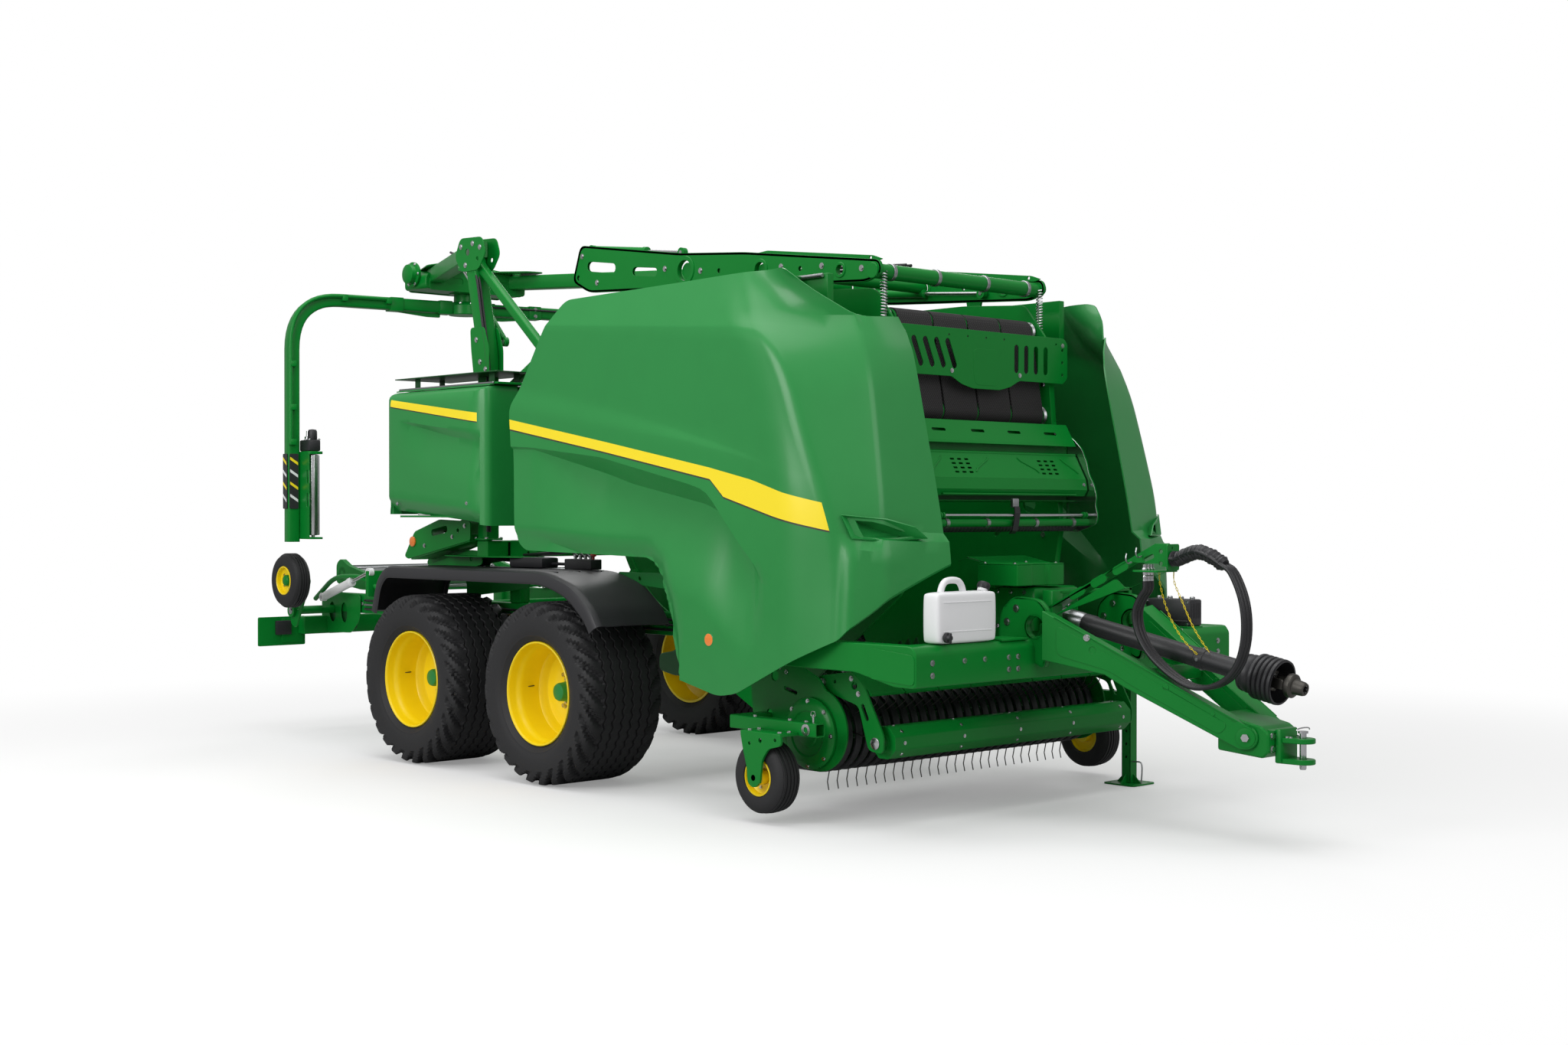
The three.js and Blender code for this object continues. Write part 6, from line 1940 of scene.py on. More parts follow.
arm_piece.plate(ring(2.880, 1.000, 0.068, 28), 0.040, "y", 0.400, holes=[ring(2.880, 1.000, 0.055, 28)],
                edge=0.002)
screws(arm_piece, [(2.76, 0.4205, 1.09), (2.70, 0.4205, 1.02)], "y", 1, 0.014)
screws(arm_piece, [(2.76, 0.3795, 1.09), (2.70, 0.3795, 1.02)], "y", -1, 0.014)
for x, z in ((2.80, 0.86), (2.80, 0.80)):
    screws(arm_piece, [(2.8805, y, z) for y in (0.55, 0.62, 1.18)], "x", 1, 0.011)
arm_piece.box((2.700, 0.46, 0.9385), (2.870, 0.66, 0.950), 0.003)
beam.join(arm_piece.both_sides())
screws(beam, [(2.8805, y, 0.86) for y in (-0.95, -0.80, -0.30, 0.30)], "x", 1, 0.011)
beam.done()

# %% [markdown]
# The drawbar is a pair of deep arms that run together to the hitch head. Each is a box section cut
# from plate: high at the back, then a gentle taper down to a round boss with one big screw. Raised
# weld seams follow the top edges. The hitch itself is a forged clevis with a pin.

# %% Drawbar and hitch
ARM_START, ARM_TIP = Vector((2.9603, 0.413)), Vector((3.900, 0.120))
reach = (ARM_TIP - ARM_START).length
arm_angle = math.atan2(ARM_TIP.y - ARM_START.y, ARM_TIP.x - ARM_START.x)


def arm_matrix(offset=0.0):
    """Local X runs along the arm, local Y is up, and `offset` moves outwards."""
    turn = Matrix.Rotation(arm_angle, 4, "Z")
    return Matrix.Translation((ARM_START.x, ARM_START.y, 0)) @ turn @ facing("y", offset)


def add_draw_arm(piece):
    boss = reach + 0.024
    line = [(-0.060, 1.110), (reach + 0.050, 0.558)] + arc(boss, 0.514, 0.057, 60, -90, 12) + [
        (reach - 0.010, 0.458), (0.414, 0.723), (0.309, 0.782), (-0.060, 0.850)]
    body = sheet_cut(line, 0.090, edge=0.004)
    body.transform(arm_matrix())
    ends = block((2.70, 0.2, 0.6), (2.9605, 0.7, 1.3), 0.0005)
    piece.add(carve(body, ends, "DIFFERENCE"), frame_green)
    inner = [(0.06, 1.020), (reach - 0.06, 0.572), (reach - 0.10, 0.520), (0.45, 0.735), (0.34, 0.800),
             (0.06, 0.870)]
    holes = [ring(0.62, 0.735, 0.016, 16), ring(0.25, 0.90, 0.018, 18), ring(0.85, 0.62, 0.012, 14)]
    for offset in (-0.0462, 0.0462):
        piece.add(sheet_cut(rounded(inner, 0.04, 4), 0.0035, holes), frame_green, arm_matrix(offset))
    for offset in (0.048, -0.048):
        spot = arm_matrix(offset) @ Vector((boss, 0.514, 0))
        turn = Matrix.Rotation(arm_angle, 4, "Z") @ outward("y", 1 if offset > 0 else -1)
        place_it = Matrix.Translation(spot) @ turn
        piece.spin([(0, -0.003), (0.044, -0.003), (0.046, 0.001), (0.030, 0.003), (0, 0.003)], 32,
                   place_it)
        piece.spread(screw_head(0.020, 0.014), [place_it])
    seam = [arm_matrix(0.047) @ Vector(p) for p in ((0.05, 1.0565, 0), (reach - 0.02, 0.5905, 0))]
    piece.tube(seam, 0.0035, 8)
    plug = arm_matrix(0.048) @ Vector((0.22, 0.96, 0))
    piece.spread(screw_head(0.012), [Matrix.Translation(plug) @ Matrix.Rotation(arm_angle, 4, "Z")
                                     @ outward("y", 1)])


draw = Piece("drawbar_weldment", "chassis", "green_paint", ["drawbar"])
add_draw_arm(draw)
draw.both_sides()
head = [(3.760, 0.440), (4.010, 0.420), (4.040, 0.450), (4.040, 0.540), (4.000, 0.570), (3.760, 0.620)]
draw.plate(head, 0.256, "y", 0, 0.012, edge=0.008, steps=3)
draw.add(sheet_cut(rounded([(3.70, -0.15), (3.90, -0.128), (4.00, -0.10), (4.00, 0.10), (3.90, 0.128),
                            (3.70, 0.15)], 0.02), 0.012, [slot_hole(3.80, 0, 3.88, 0, 0.03)]),
         frame_green, Matrix.Translation((0, 0, 0.603)) @ Matrix.Rotation(math.radians(10.5), 4, "Y")
         @ Matrix.Translation((-0.01, 0, 0.68)))
draw.box((3.382, -0.252, 0.742), (3.438, 0.252, 0.818), 0.010)
screws(draw, [(4.041, y, z) for y in (-0.09, 0.09) for z in (0.465, 0.525)], "x", 1, 0.013)
draw.done()

hitch = Piece("hitch_jaw", "chassis", "green_paint", ["hitch_clevis"])
EYE = 4.147
for low, high in ((0.396, 0.420), (0.494, 0.518)):
    jaw = [(4.0405, -0.064), (EYE, -0.057), *arc(EYE, 0, 0.0575, -88, 88, 16), (EYE, 0.057),
           (4.0405, 0.064)]
    hitch.plate(jaw, high - low, "z", (low + high) / 2, holes=[ring(EYE, 0, 0.0175, 20)], edge=0.003)
hitch.box((4.0405, -0.074, 0.397), (4.074, 0.074, 0.559), 0.008)
hitch.spin([(0, 0.370), (0.013, 0.370), (0.016, 0.376), (0.016, 0.540), (0.024, 0.541), (0.024, 0.551),
            (0, 0.553)], 24, Matrix.Translation((EYE, 0, 0)), bright_steel)
handle = [(EYE, -0.056, 0.556), (EYE, -0.050, 0.5625), (EYE, 0.050, 0.5625), (EYE, 0.057, 0.556)]
hitch.tube(smooth_path(handle, 5), 0.0034, 10, bright_steel)
hitch.rod((EYE, -0.018, 0.384), (EYE, 0.020, 0.384), 0.003, 8, bright_steel)
for x in (4.09, 4.11):
    screws(hitch, [(x, y, 0.5185) for y in (-0.045, 0.045)], "z", 1, 0.007)
hitch.done()

# %% [markdown]
# The parking jack is a square tube with a row of pin holes, on a foot plate with a bent wire
# handle. Its sleeve is bolted to the left side arm.

# %% Parking jack
JACK_X, JACK_Y = 2.290, 1.1599


def square(x, y, half):
    """A square outline round its middle."""
    return oblong(x - half, y - half, x + half, y + half)


leg = Piece("jack_post", "jack", "green_paint", ["jack_leg"])
leg_holes = [ring(0, z, 0.0085, 16) for z in (0.16 + 0.075 * k for k in range(10))]
tube_face = oblong(-0.031, 0.012, 0.031, 0.958)
for axis, sign in (("y", -1), ("y", 1), ("x", -1), ("x", 1)):
    shift = {"y": JACK_Y, "x": JACK_X}[axis] + sign * 0.0285
    centre = Matrix.Translation((JACK_X, 0, 0)) if axis == "y" else Matrix.Translation((0, JACK_Y, 0))
    leg.add(sheet_cut(tube_face, 0.005, leg_holes if axis == "y" else (), edge=0.001), frame_green,
            centre @ facing(axis, shift))
foot = square(JACK_X, JACK_Y, 0.109)
leg.plate(foot, 0.009, "z", 0.0065, 0.03, [ring(JACK_X + dx, JACK_Y + dy, 0.010, 14)
                                           for dx in (-0.08, 0.08) for dy in (-0.08, 0.08)])
gusset = rounded([(-0.085, 0.010), (0.085, 0.010), (0.034, 0.060), (-0.034, 0.060)], 0.005)
for shift, axis, distance in (((JACK_X, 0, 0), "y", JACK_Y), ((0, JACK_Y, 0), "x", JACK_X)):
    leg.add(sheet_cut(gusset, 0.007), frame_green, Matrix.Translation(shift) @ facing(axis, distance))
handle = [(JACK_X + dx, JACK_Y - 0.02, z)
          for dx, z in ((0.036, 0.135), (0.095, 0.135), (0.104, 0.120), (0.102, 0.040), (0.098, 0.012))]
leg.tube(smooth_path(handle, 4), 0.0045, 10, steel)
leg.done()

sleeve_box = Piece("jack_socket", "chassis", "green_paint", ["jack_sleeve"])
outer, bore = square(JACK_X, JACK_Y, 0.0398), square(JACK_X, JACK_Y, 0.0319)
sleeve_box.plate(outer, 0.258, "z", 0.83, 0.006, [bore])
sleeve_box.rod((JACK_X, JACK_Y - 0.062, 0.83), (JACK_X, JACK_Y - 0.034, 0.83), 0.009, 14, bright_steel)
ring_pin(sleeve_box, JACK_X, JACK_Y - 0.058, 0.83)
sleeve_box.done()
print("drawbar done", len(made_pieces), "pieces")

# %% [markdown]
# The drive shaft turns inside a black plastic guard. The guard is a plain tube with a collar, and
# ends in a bell of five rubbery folds that is open to the front, where the yoke and the splined
# hole for the tractor show. Both parts are turned.

# %% Drive shaft and guard
DRIVE_LENGTH = (drive_front - drive_back).length
BELL = DRIVE_LENGTH - 0.36
drive = line_up(drive_back, drive_front)
folds = []
for k in range(5):
    z = BELL + 0.102 + 0.0265 * k
    folds += [(0.100, z), (0.1105, z + 0.006), (0.1115, z + 0.013), (0.1105, z + 0.020),
              (0.100, z + 0.026)]
outside = [(0.0362, 0.0004), (0.054, 0.0004), (0.054, 0.058), (0.049, 0.068), (0.049, BELL - 0.25),
           (0.0525, BELL - 0.245), (0.0525, BELL - 0.20), (0.049, BELL - 0.195), (0.049, BELL),
           (0.064, BELL + 0.008), (0.066, BELL + 0.022), (0.090, BELL + 0.030), (0.092, BELL + 0.040),
           (0.088, BELL + 0.046), (0.088, BELL + 0.056), (0.094, BELL + 0.062), (0.094, BELL + 0.080),
           (0.088, BELL + 0.090), *folds, (0.109, BELL + 0.235)]
inside_line = [(0.100, BELL + 0.235), (0.099, BELL + 0.110), (0.084, BELL + 0.100), (0.080, BELL + 0.040),
               (0.0362, BELL + 0.010)]
tube_guard = Piece("shaft_guard", "chassis", "black_plastic", ["pto_guard"])
tube_guard.spin(outside + inside_line, 48, drive, black_plastic)
rivets = [drive @ Matrix.Rotation(k * math.pi / 2, 4, "Z") @ Matrix.Translation((0.0525, 0, BELL - 0.222))
          @ outward("x", 1) for k in range(4)]
tube_guard.spread(screw_head(0.006, 0.004), rivets, steel)
tube_guard.done()

shaft = Piece("drive_shaft", "driveshaft", "steel", ["pto_shaft"])
shaft.spin([(0, 0.0005), (0.026, 0.0005), (0.026, BELL + 0.055), (0.034, BELL + 0.06),
            (0.036, BELL + 0.10), (0.030, BELL + 0.11), (0, BELL + 0.11)], 24, drive, steel)
for angle in (0, 90):
    turn = Matrix.Rotation(math.radians(angle), 4, "Z")
    for side in (-1, 1):
        base, tip = (0.105, 0.185) if angle == 0 else (0.265, 0.185)
        fork = [(-0.024, base), (0.024, base), (0.026, tip),
                (0.0, tip + (0.022 if tip > base else -0.022)), (-0.026, tip)]
        piece_turn = drive @ turn @ Matrix.Translation((0, side * 0.042, BELL)) @ facing("y", 0)
        shaft.add(sheet_cut(rounded(fork, 0.012, 3), 0.014, [ring(0, tip, 0.011, 16)], edge=0.003),
                  tine_steel, piece_turn)
    cross = [drive @ turn @ Vector((0, s * 0.048, BELL + 0.185)) for s in (-1, 1)]
    shaft.rod(cross[0], cross[1], 0.012, 18, bright_steel)
shaft.spin([(0, BELL + 0.262), (0.045, BELL + 0.262), (0.056, BELL + 0.270), (0.058, BELL + 0.276),
            (0.058, BELL + 0.296), (0.052, BELL + 0.302), (0.040, BELL + 0.306), (0.037, BELL + 0.312),
            (0.034, DRIVE_LENGTH - 0.012), (0.030, DRIVE_LENGTH - 0.001), (0.019, DRIVE_LENGTH - 0.001),
            (0.0175, DRIVE_LENGTH - 0.03), (0, DRIVE_LENGTH - 0.03)], 36, drive, tine_steel)
shaft.spin([(0, BELL + 0.09), (0.050, BELL + 0.09), (0.053, BELL + 0.10), (0.050, BELL + 0.112),
            (0, BELL + 0.112)], 28, drive, tine_steel)
shaft.spread(block((-0.0025, -0.004, -0.013), (0.0025, 0.004, 0.013), 0.0005),
             round_axis(drive, 6, 0.0182, DRIVE_LENGTH - 0.016), steel)
shaft.done()

# %% [markdown]
# A bracket arm on the beam carries the hoses. It is a bent plate with oval cut-outs, a shelf with a
# coupler for each hose, and small wire hooks. Next to it a flat shelf holds the black control box.

# %% Hose bracket
COUPLER_Z = 1.284
bracket = Piece("hose_arm", "chassis", "green_paint", ["hose_bracket"])
side_plate = [(2.722, 1.055), (2.788, 1.035), (3.200, 1.245), (3.262, 1.194), (3.516, 1.292),
              (3.516, 1.423), (3.440, 1.423)]
cuts = [slot_hole(2.93 + 0.135 * k, 1.152 + 0.066 * k, 2.985 + 0.135 * k, 1.179 + 0.066 * k, 0.021)
        for k in range(3)]
cuts += [ring(3.47, 1.385, 0.011, 14), ring(3.47, 1.325, 0.011, 14),
         slot_hole(3.38, 1.345, 3.42, 1.360, 0.011)]
bracket.plate(side_plate, 0.008, "y", -0.176, 0.016, cuts, steps=3)
folded(bracket, [(2.722, 1.062), (3.440, 1.420)], -0.178, -0.062, 0.008, frame_green,
       {0: [slot_hole(0.18 + 0.16 * k, -0.12, 0.26 + 0.16 * k, -0.12, 0.014) for k in range(4)]})
bracket.plate(oblong(-0.190, 1.292, -0.092, 1.421), 0.008, "x", 3.513, 0.012,
              [slot_hole(-0.15, 1.395, -0.15, 1.405, 0.004)])
shelf = oblong(3.362, -0.268, 3.510, -0.092)
bracket.plate(shelf, 0.009, "z", COUPLER_Z + 0.005, 0.012, [slot_hole(3.47, -0.235, 3.47, -0.205, 0.008)])
bracket.box((2.732, -0.178, 0.9405), (2.798, -0.092, 1.174), 0.005)
for y in HOSE_SIDES:
    here = Matrix.Translation((3.424, y, 0))
    bracket.spin([(0, 1.2403), (0.0118, 1.2403), (0.0122, 1.2455), (0.0112, 1.250), (0.0122, 1.256),
                  (0.0122, 1.266), (0.0105, 1.270), (0.0122, 1.274), (0.0122, 1.288), (0, 1.288)], 20,
                 here, bright_steel)
    bracket.spin([(0.0, 1.289), (0.016, 1.289), (0.017, 1.300), (0.0125, 1.306), (0.0125, 1.322),
                  (0, 1.324)], 20, here, bright_steel)
for x, y in ((3.440, -0.150), (3.490, -0.100)):
    loop = [(x + 0.008 * math.sin(a), y, COUPLER_Z + 0.004 - 0.004 * math.cos(a)) for a in
            (2 * math.pi * k / 12 for k in range(13))]
    bracket.tube(loop, 0.0018, 6, stripe_yellow)
for k in range(2):
    hook = [(3.30 + 0.06 * k, -0.185, 1.330 + 0.03 * k), (3.30 + 0.06 * k, -0.215, 1.325 + 0.03 * k),
            (3.30 + 0.06 * k, -0.232, 1.345 + 0.03 * k), (3.30 + 0.06 * k, -0.226, 1.372 + 0.03 * k)]
    bracket.tube(smooth_path(hook, 4), 0.004, 8, steel)
bracket.box((2.762, -0.12, 1.155), (2.798, 0.498, 1.175), 0.004)
bracket.box((2.762, 0.472, 0.9405), (2.798, 0.498, 1.175), 0.004)
bracket.plate(oblong(2.760, 0.470, 3.190, 0.595), 0.012, "z", 0.973, 0.02,
              [slot_hole(2.82, 0.50, 2.82, 0.56, 0.012)])
bracket.box((2.892, 0.479, 0.979), (3.183, 0.587, 1.119), 0.010, finish=black_plastic)
bracket.box((2.905, 0.476, 1.000), (3.170, 0.590, 1.010), 0.002, finish=black_plastic)
for k in range(6):
    bracket.box((3.1825, 0.492 + 0.015 * k, 1.02), (3.1845, 0.500 + 0.015 * k, 1.10), 0.0005,
                finish=black_plastic)
screws(bracket, [(x, 0.4785, z) for x in (2.91, 3.165) for z in (0.99, 1.105)], "y", -1, 0.006)
plug_rows = [Matrix.Translation((2.95 + 0.07 * k, 0.533, 1.119)) for k in range(4)]
bracket.spread(turned([(0, 0), (0.014, 0), (0.014, 0.010), (0.010, 0.014), (0, 0.014)], 16), plug_rows,
               steel)
bracket.done()

# %% [markdown]
# The wash water can is blown plastic: soft edges all round, a moulded handle, an angled black cap on
# top and a black tap low at one end. A subdivided box with held edges gives the soft shape.

# %% Water can
can = Piece("water_can", "chassis", "white_plastic", ["tank"])


def blown_box(low, high, soft):
    mesh = block(low, high, soft)
    holder = linked("soft", mesh)
    rounding = holder.modifiers.new("soft", "SUBSURF")
    rounding.levels = rounding.render_levels = 2
    return evaluated(holder)


can.add(blown_box((2.756, -1.129, 0.9405), (2.874, -0.691, 1.194), 0.028), white_plastic)
for z in (1.00, 1.14):
    can.add(blown_box((2.872, -1.09, z), (2.8755, -0.74, z + 0.006), 0.0015), white_plastic)
grip = [(2.815, -1.052, 1.188), (2.815, -1.040, 1.218), (2.815, -1.018, 1.240), (2.815, -0.970, 1.2475),
        (2.815, -0.922, 1.240), (2.815, -0.900, 1.218), (2.815, -0.888, 1.188)]
can.tube(smooth_path(grip, 5), 0.0165, 16, white_plastic)
neck = line_up((2.815, -0.7465, 1.186), (2.815, -0.7365, 1.210))
can.spin(oblong(0, 0, 0.026, 0.016), 28, neck, white_plastic)
can.spin([(0, 0.014), (0.030, 0.014), (0.0312, 0.018), (0.0312, 0.040), (0.027, 0.047), (0, 0.047)], 28,
         neck, black_plastic)
can.spread(block((-0.001, -0.0015, -0.010), (0.0012, 0.0015, 0.010), 0.0004),
           round_axis(neck, 18, 0.0312, 0.028), black_plastic)
tap = line_up((2.8735, -1.075, 0.975), (2.95, -1.075, 0.975))
can.spin([(0, 0), (0.024, 0), (0.025, 0.004), (0.025, 0.014), (0.016, 0.018), (0.013, 0.032), (0, 0.034)],
         24, tap, black_plastic)
can.box((2.895, -1.083, 0.950), (2.905, -1.067, 0.999), 0.003, finish=black_plastic)
can.done()
print("front gear done", len(made_pieces), "pieces")

# %% [markdown]
# Above the chamber lies the belt tensioner: two long arms of plate with bored bosses, cross tubes,
# hydraulic cylinders and a stiff spring. The bosses are turned rings welded on both faces, and a
# cylinder is a tube with a bright rod and an eye at each end.

# %% Belt tensioner


def ram(piece, start, end, radius, share=0.6, finish=None):
    """A hydraulic cylinder from eye to eye. `share` is how much of it is the tube."""
    a, b = Vector(start), Vector(end)
    length = (b - a).length
    here = line_up(a, b)
    body = length * share
    piece.spin([(0, 0.03), (radius * 0.7, 0.03), (radius, 0.04), (radius, body - 0.03),
                (radius * 1.12, body - 0.03), (radius * 1.12, body), (radius * 0.6, body + 0.004),
                (0, body + 0.004)], 24, here, finish or frame_green)
    piece.spin(oblong(0, body, radius * 0.45, length - 0.02), 18, here, bright_steel)
    for z in (0.0, length):
        eye = here @ Matrix.Translation((0, 0, z)) @ outward("x", 1)
        piece.spin(oblong(0.012, -radius * 0.6, 0.030, radius * 0.6), 22, eye, finish or frame_green)
        piece.spin(oblong(0, -radius * 0.75, 0.0125, radius * 0.75), 16, eye, bright_steel)


def boss(piece, x, y, z, outer, bore, half, finish=None):
    """A bored boss across the machine."""
    piece.spin([(bore, -half), (outer - 0.003, -half), (outer, -half + 0.003), (outer, half - 0.003),
                (outer - 0.003, half), (bore, half)], 40, along_y(x, y, z), finish or frame_green)


tension = Piece("tension_arm_side", "chassis", "green_paint")
top_arm = [(-0.600, 3.010), (-0.520, 3.230), (0.430, 3.090), (1.000, 3.040), (2.050, 2.900),
           (2.070, 2.830), (1.960, 2.790), (0.900, 2.850), (0.480, 2.880), (-0.430, 2.930)]
top_holes = [ring(0.480, 2.985, 0.060, 28), ring(1.130, 2.930, 0.042, 24), ring(1.760, 2.870, 0.028, 20),
             slot_hole(-0.42, 3.09, -0.20, 3.06, 0.030), slot_hole(0.02, 3.02, 0.20, 3.00, 0.026),
             ring(0.78, 2.955, 0.014, 14), ring(1.45, 2.905, 0.014, 14), ring(-0.54, 3.03, 0.016, 14)]
for y in (0.6625, 0.6775):
    tension.plate(top_arm, 0.005, "y", y, 0.045, top_holes, steps=4)
rim_in = [(-0.575, 3.018), (-0.505, 3.212), (0.428, 3.074), (0.998, 3.024), (2.040, 2.886),
          (2.052, 2.838), (1.955, 2.806), (0.902, 2.866), (0.483, 2.896), (-0.425, 2.946)]
tension.plate(top_arm, 0.020, "y", 0.670, 0.045, [rounded(rim_in, 0.04, 4)], edge=0.002, steps=4)
for x, z, outer, bore in ((0.480, 2.985, 0.085, 0.060), (1.130, 2.930, 0.060, 0.042),
                          (1.760, 2.870, 0.042, 0.028)):
    boss(tension, x, 0.670, z, outer, bore, 0.016)
screws(tension, [(x, 0.6805, z) for x, z in ((0.30, 3.01), (0.62, 2.97), (1.30, 2.93), (1.62, 2.905),
                                             (-0.50, 3.16), (-0.35, 2.985), (1.92, 2.865))], "y", 1,
       0.012)
post_plate = [(1.500, 2.7005), (1.560, 2.7005), (1.600, 2.870), (1.460, 2.870)]
tension.plate(post_plate, 0.018, "y", 0.670, 0.008, edge=0.002)
ram(tension, (-0.46, 0.628, 3.200), (0.40, 0.628, 3.100), 0.026, 0.62)
ram(tension, (0.62, 0.632, 2.935), (1.62, 0.632, 2.858), 0.024, 0.55)
upper_link = [(1.02, 3.025), (1.16, 3.035), (1.98, 2.930), (2.05, 2.905), (2.00, 2.895), (1.14, 2.985)]
tension.plate(upper_link, 0.010, "y", 0.650, 0.012, [ring(1.10, 3.010, 0.012), ring(1.96, 2.918, 0.010)])
coil_line = []
for k in range(15 * 10 + 1):
    a = 2 * math.pi * k / 10
    coil_line.append((2.045 + 0.017 * math.cos(a), 0.640 + 0.017 * math.sin(a), 2.605 + 0.235 * k / 150))
tension.tube(coil_line, 0.0034, 6, bright_steel)
tension.rod((2.045, 0.640, 2.56), (2.045, 0.640, 2.605), 0.006, 10, bright_steel)
tensioner = Piece("belt_tensioner", "chassis", "green_paint", ["tension_frame"])
tensioner.join(tension.both_sides())
tensioner.rod((2.005, -0.690, 2.845), (2.005, 0.690, 2.845), 0.041, 32)
for y in (-0.55, -0.2, 0.2, 0.55):
    boss(tensioner, 2.005, y, 2.845, 0.047, 0.039, 0.012, steel)
for x, z, r in ((0.480, 2.985, 0.046), (1.130, 2.930, 0.034)):
    tensioner.rod((x, -0.662, z), (x, 0.662, z), r, 24)
for oil_line in ([(1.98, -0.40, 2.90), (1.55, -0.42, 2.925), (0.9, -0.40, 2.96), (0.2, -0.42, 3.05)],
                 [(1.98, -0.36, 2.90), (1.50, -0.37, 2.915), (0.9, -0.35, 2.95), (0.2, -0.38, 3.04)]):
    tensioner.tube(smooth_path(oil_line, 5), 0.009, 10, hose_rubber)
tensioner.done()

# %% [markdown]
# The tailgate is the back half of the bale chamber. Its drum-shaped skin is stiffened by bent ribs,
# and its side plates carry the ends of the belt rollers. The ribs follow the same arc as the skin.

# %% Tailgate
GATE_X, GATE_Z, GATE_R = 0.620, 1.730, 0.880
gate = Piece("rear_gate", "tailgate", "green_paint", ["tailgate"])


def gate_ring(radius, first=101, last=270, steps=44):
    return arc(GATE_X, GATE_Z, radius, first, last, steps)


skin_grid = [[(x, y, z) for x, z in gate_ring(GATE_R - 0.010)] for y in np.linspace(0.601, -0.601, 9)]
gate.add(skin(skin_grid, 0.008), frame_green)
outline = gate_ring(GATE_R - 0.001) + [(0.619, 0.852), (0.619, 2.738), (0.560, 2.728)]
gate_holes = [ring(0.30, 2.44, 0.05), ring(0.30, 1.02, 0.05)]
for side in (-1, 1):
    gate.plate(outline, 0.010, "y", side * 0.610, holes=gate_holes)
    band = gate_ring(GATE_R - 0.001) + gate_ring(GATE_R - 0.055)[::-1]
    gate.plate(band, 0.014, "y", side * 0.6155, edge=0.003)
    pad = gate_ring(GATE_R - 0.30, 118, 250, 20) + gate_ring(GATE_R - 0.34, 118, 250, 20)[::-1]
    gate.plate(pad, 0.010, "y", side * 0.617, edge=0.003)
    for angle in (140, 180, 219):
        a = math.radians(angle)
        x, z = GATE_X + 0.866 * math.cos(a), GATE_Z + 0.866 * math.sin(a)
        gate.spin([(0, 0), (0.046, 0), (0.048, 0.004), (0.048, 0.016), (0.030, 0.018), (0.028, 0.021),
                   (0, 0.021)], 28, line_up((x, side * 0.6215, z), (x, side * 2, z)))
    screws(gate, [(GATE_X + 0.60 * math.cos(math.radians(d)), side * 0.6155,
                   GATE_Z + 0.60 * math.sin(math.radians(d))) for d in range(110, 261, 15)], "y", side,
           0.010)
for y in (-0.40, 0.0, 0.40):
    rib = gate_ring(GATE_R) + gate_ring(GATE_R - 0.03)[::-1]
    gate.plate(rib, 0.050, "y", y, edge=0.003)
for angle in (130, 160, 200, 230):
    a = math.radians(angle)
    centre = (GATE_X + (GATE_R - 0.012) * math.cos(a), GATE_Z + (GATE_R - 0.012) * math.sin(a))
    gate.rod((centre[0], -0.59, centre[1]), (centre[0], 0.59, centre[1]), 0.011, 10)
gate.rod((GATE_X, -0.6525, 2.720), (GATE_X, 0.6525, 2.720), 0.034, 28)
gate.box((0.585, -0.60, 2.600), (0.618, 0.60, 2.715), 0.004)
for side in (-1, 1):
    gate.box((0.560, side * 0.6205 - 0.002, 2.690), (0.618, side * 0.6205 + 0.002, 2.735), 0.001)
gate.done()
print("gate and tensioner", len(made_pieces), "pieces")

# %% [markdown]
# Tubes of the wrapper are square, with round corners and wide bends. `square_tube` sweeps such a
# section along a smooth path and keeps one of its sides level.

# %% Square tubes


def square_tube(points, width, height, corner=0.010, side=(0, 1, 0)):
    """A rounded box section along a path; `side` stays across the section's width."""
    path = [Vector(p) for p in points]
    across = Vector(side).normalized()
    w, h = width / 2 - corner, height / 2 - corner
    rings = []
    for i, spot in enumerate(path):
        ahead = (path[min(i + 1, len(path) - 1)] - path[max(i - 1, 0)]).normalized()
        u = (across - ahead * across.dot(ahead)).normalized()
        v = ahead.cross(u)
        stretch = 1.0
        if 0 < i < len(path) - 1:
            bend = (path[i] - path[i - 1]).normalized().dot((path[i + 1] - path[i]).normalized())
            stretch = 1 / max(0.5, math.sqrt((1 + bend) / 2))
        line = []
        for cx, cy, first in ((w, h, 0), (-w, h, 90), (-w, -h, 180), (w, -h, 270)):
            for k in range(4):
                a = math.radians(first + 30 * k)
                line.append(spot + u * (cx + corner * math.cos(a))
                            + v * (cy + corner * math.sin(a)) * stretch)
        rings.append(line)
    return from_rings(rings)


def bent(points, radius, steps=8):
    """A path whose corners are turned into wide bends."""
    made = [Vector(points[0])]
    for before, here, after in zip(points, points[1:], points[2:]):
        here = Vector(here)
        a, b = Vector(before) - here, Vector(after) - here
        reach = min(radius, a.length * 0.49, b.length * 0.49)
        first, last = here + a.normalized() * reach, here + b.normalized() * reach
        made += corner_curve(first, here, last, steps, steps + 1)
    return made + [Vector(points[-1])]


# %% [markdown]
# The gantry holds the wrap arms over the table. A post on each side leans back at a knee and meets
# a boom, and both booms end in a folded head that houses the bearing, with the motor's round
# flange at its side.

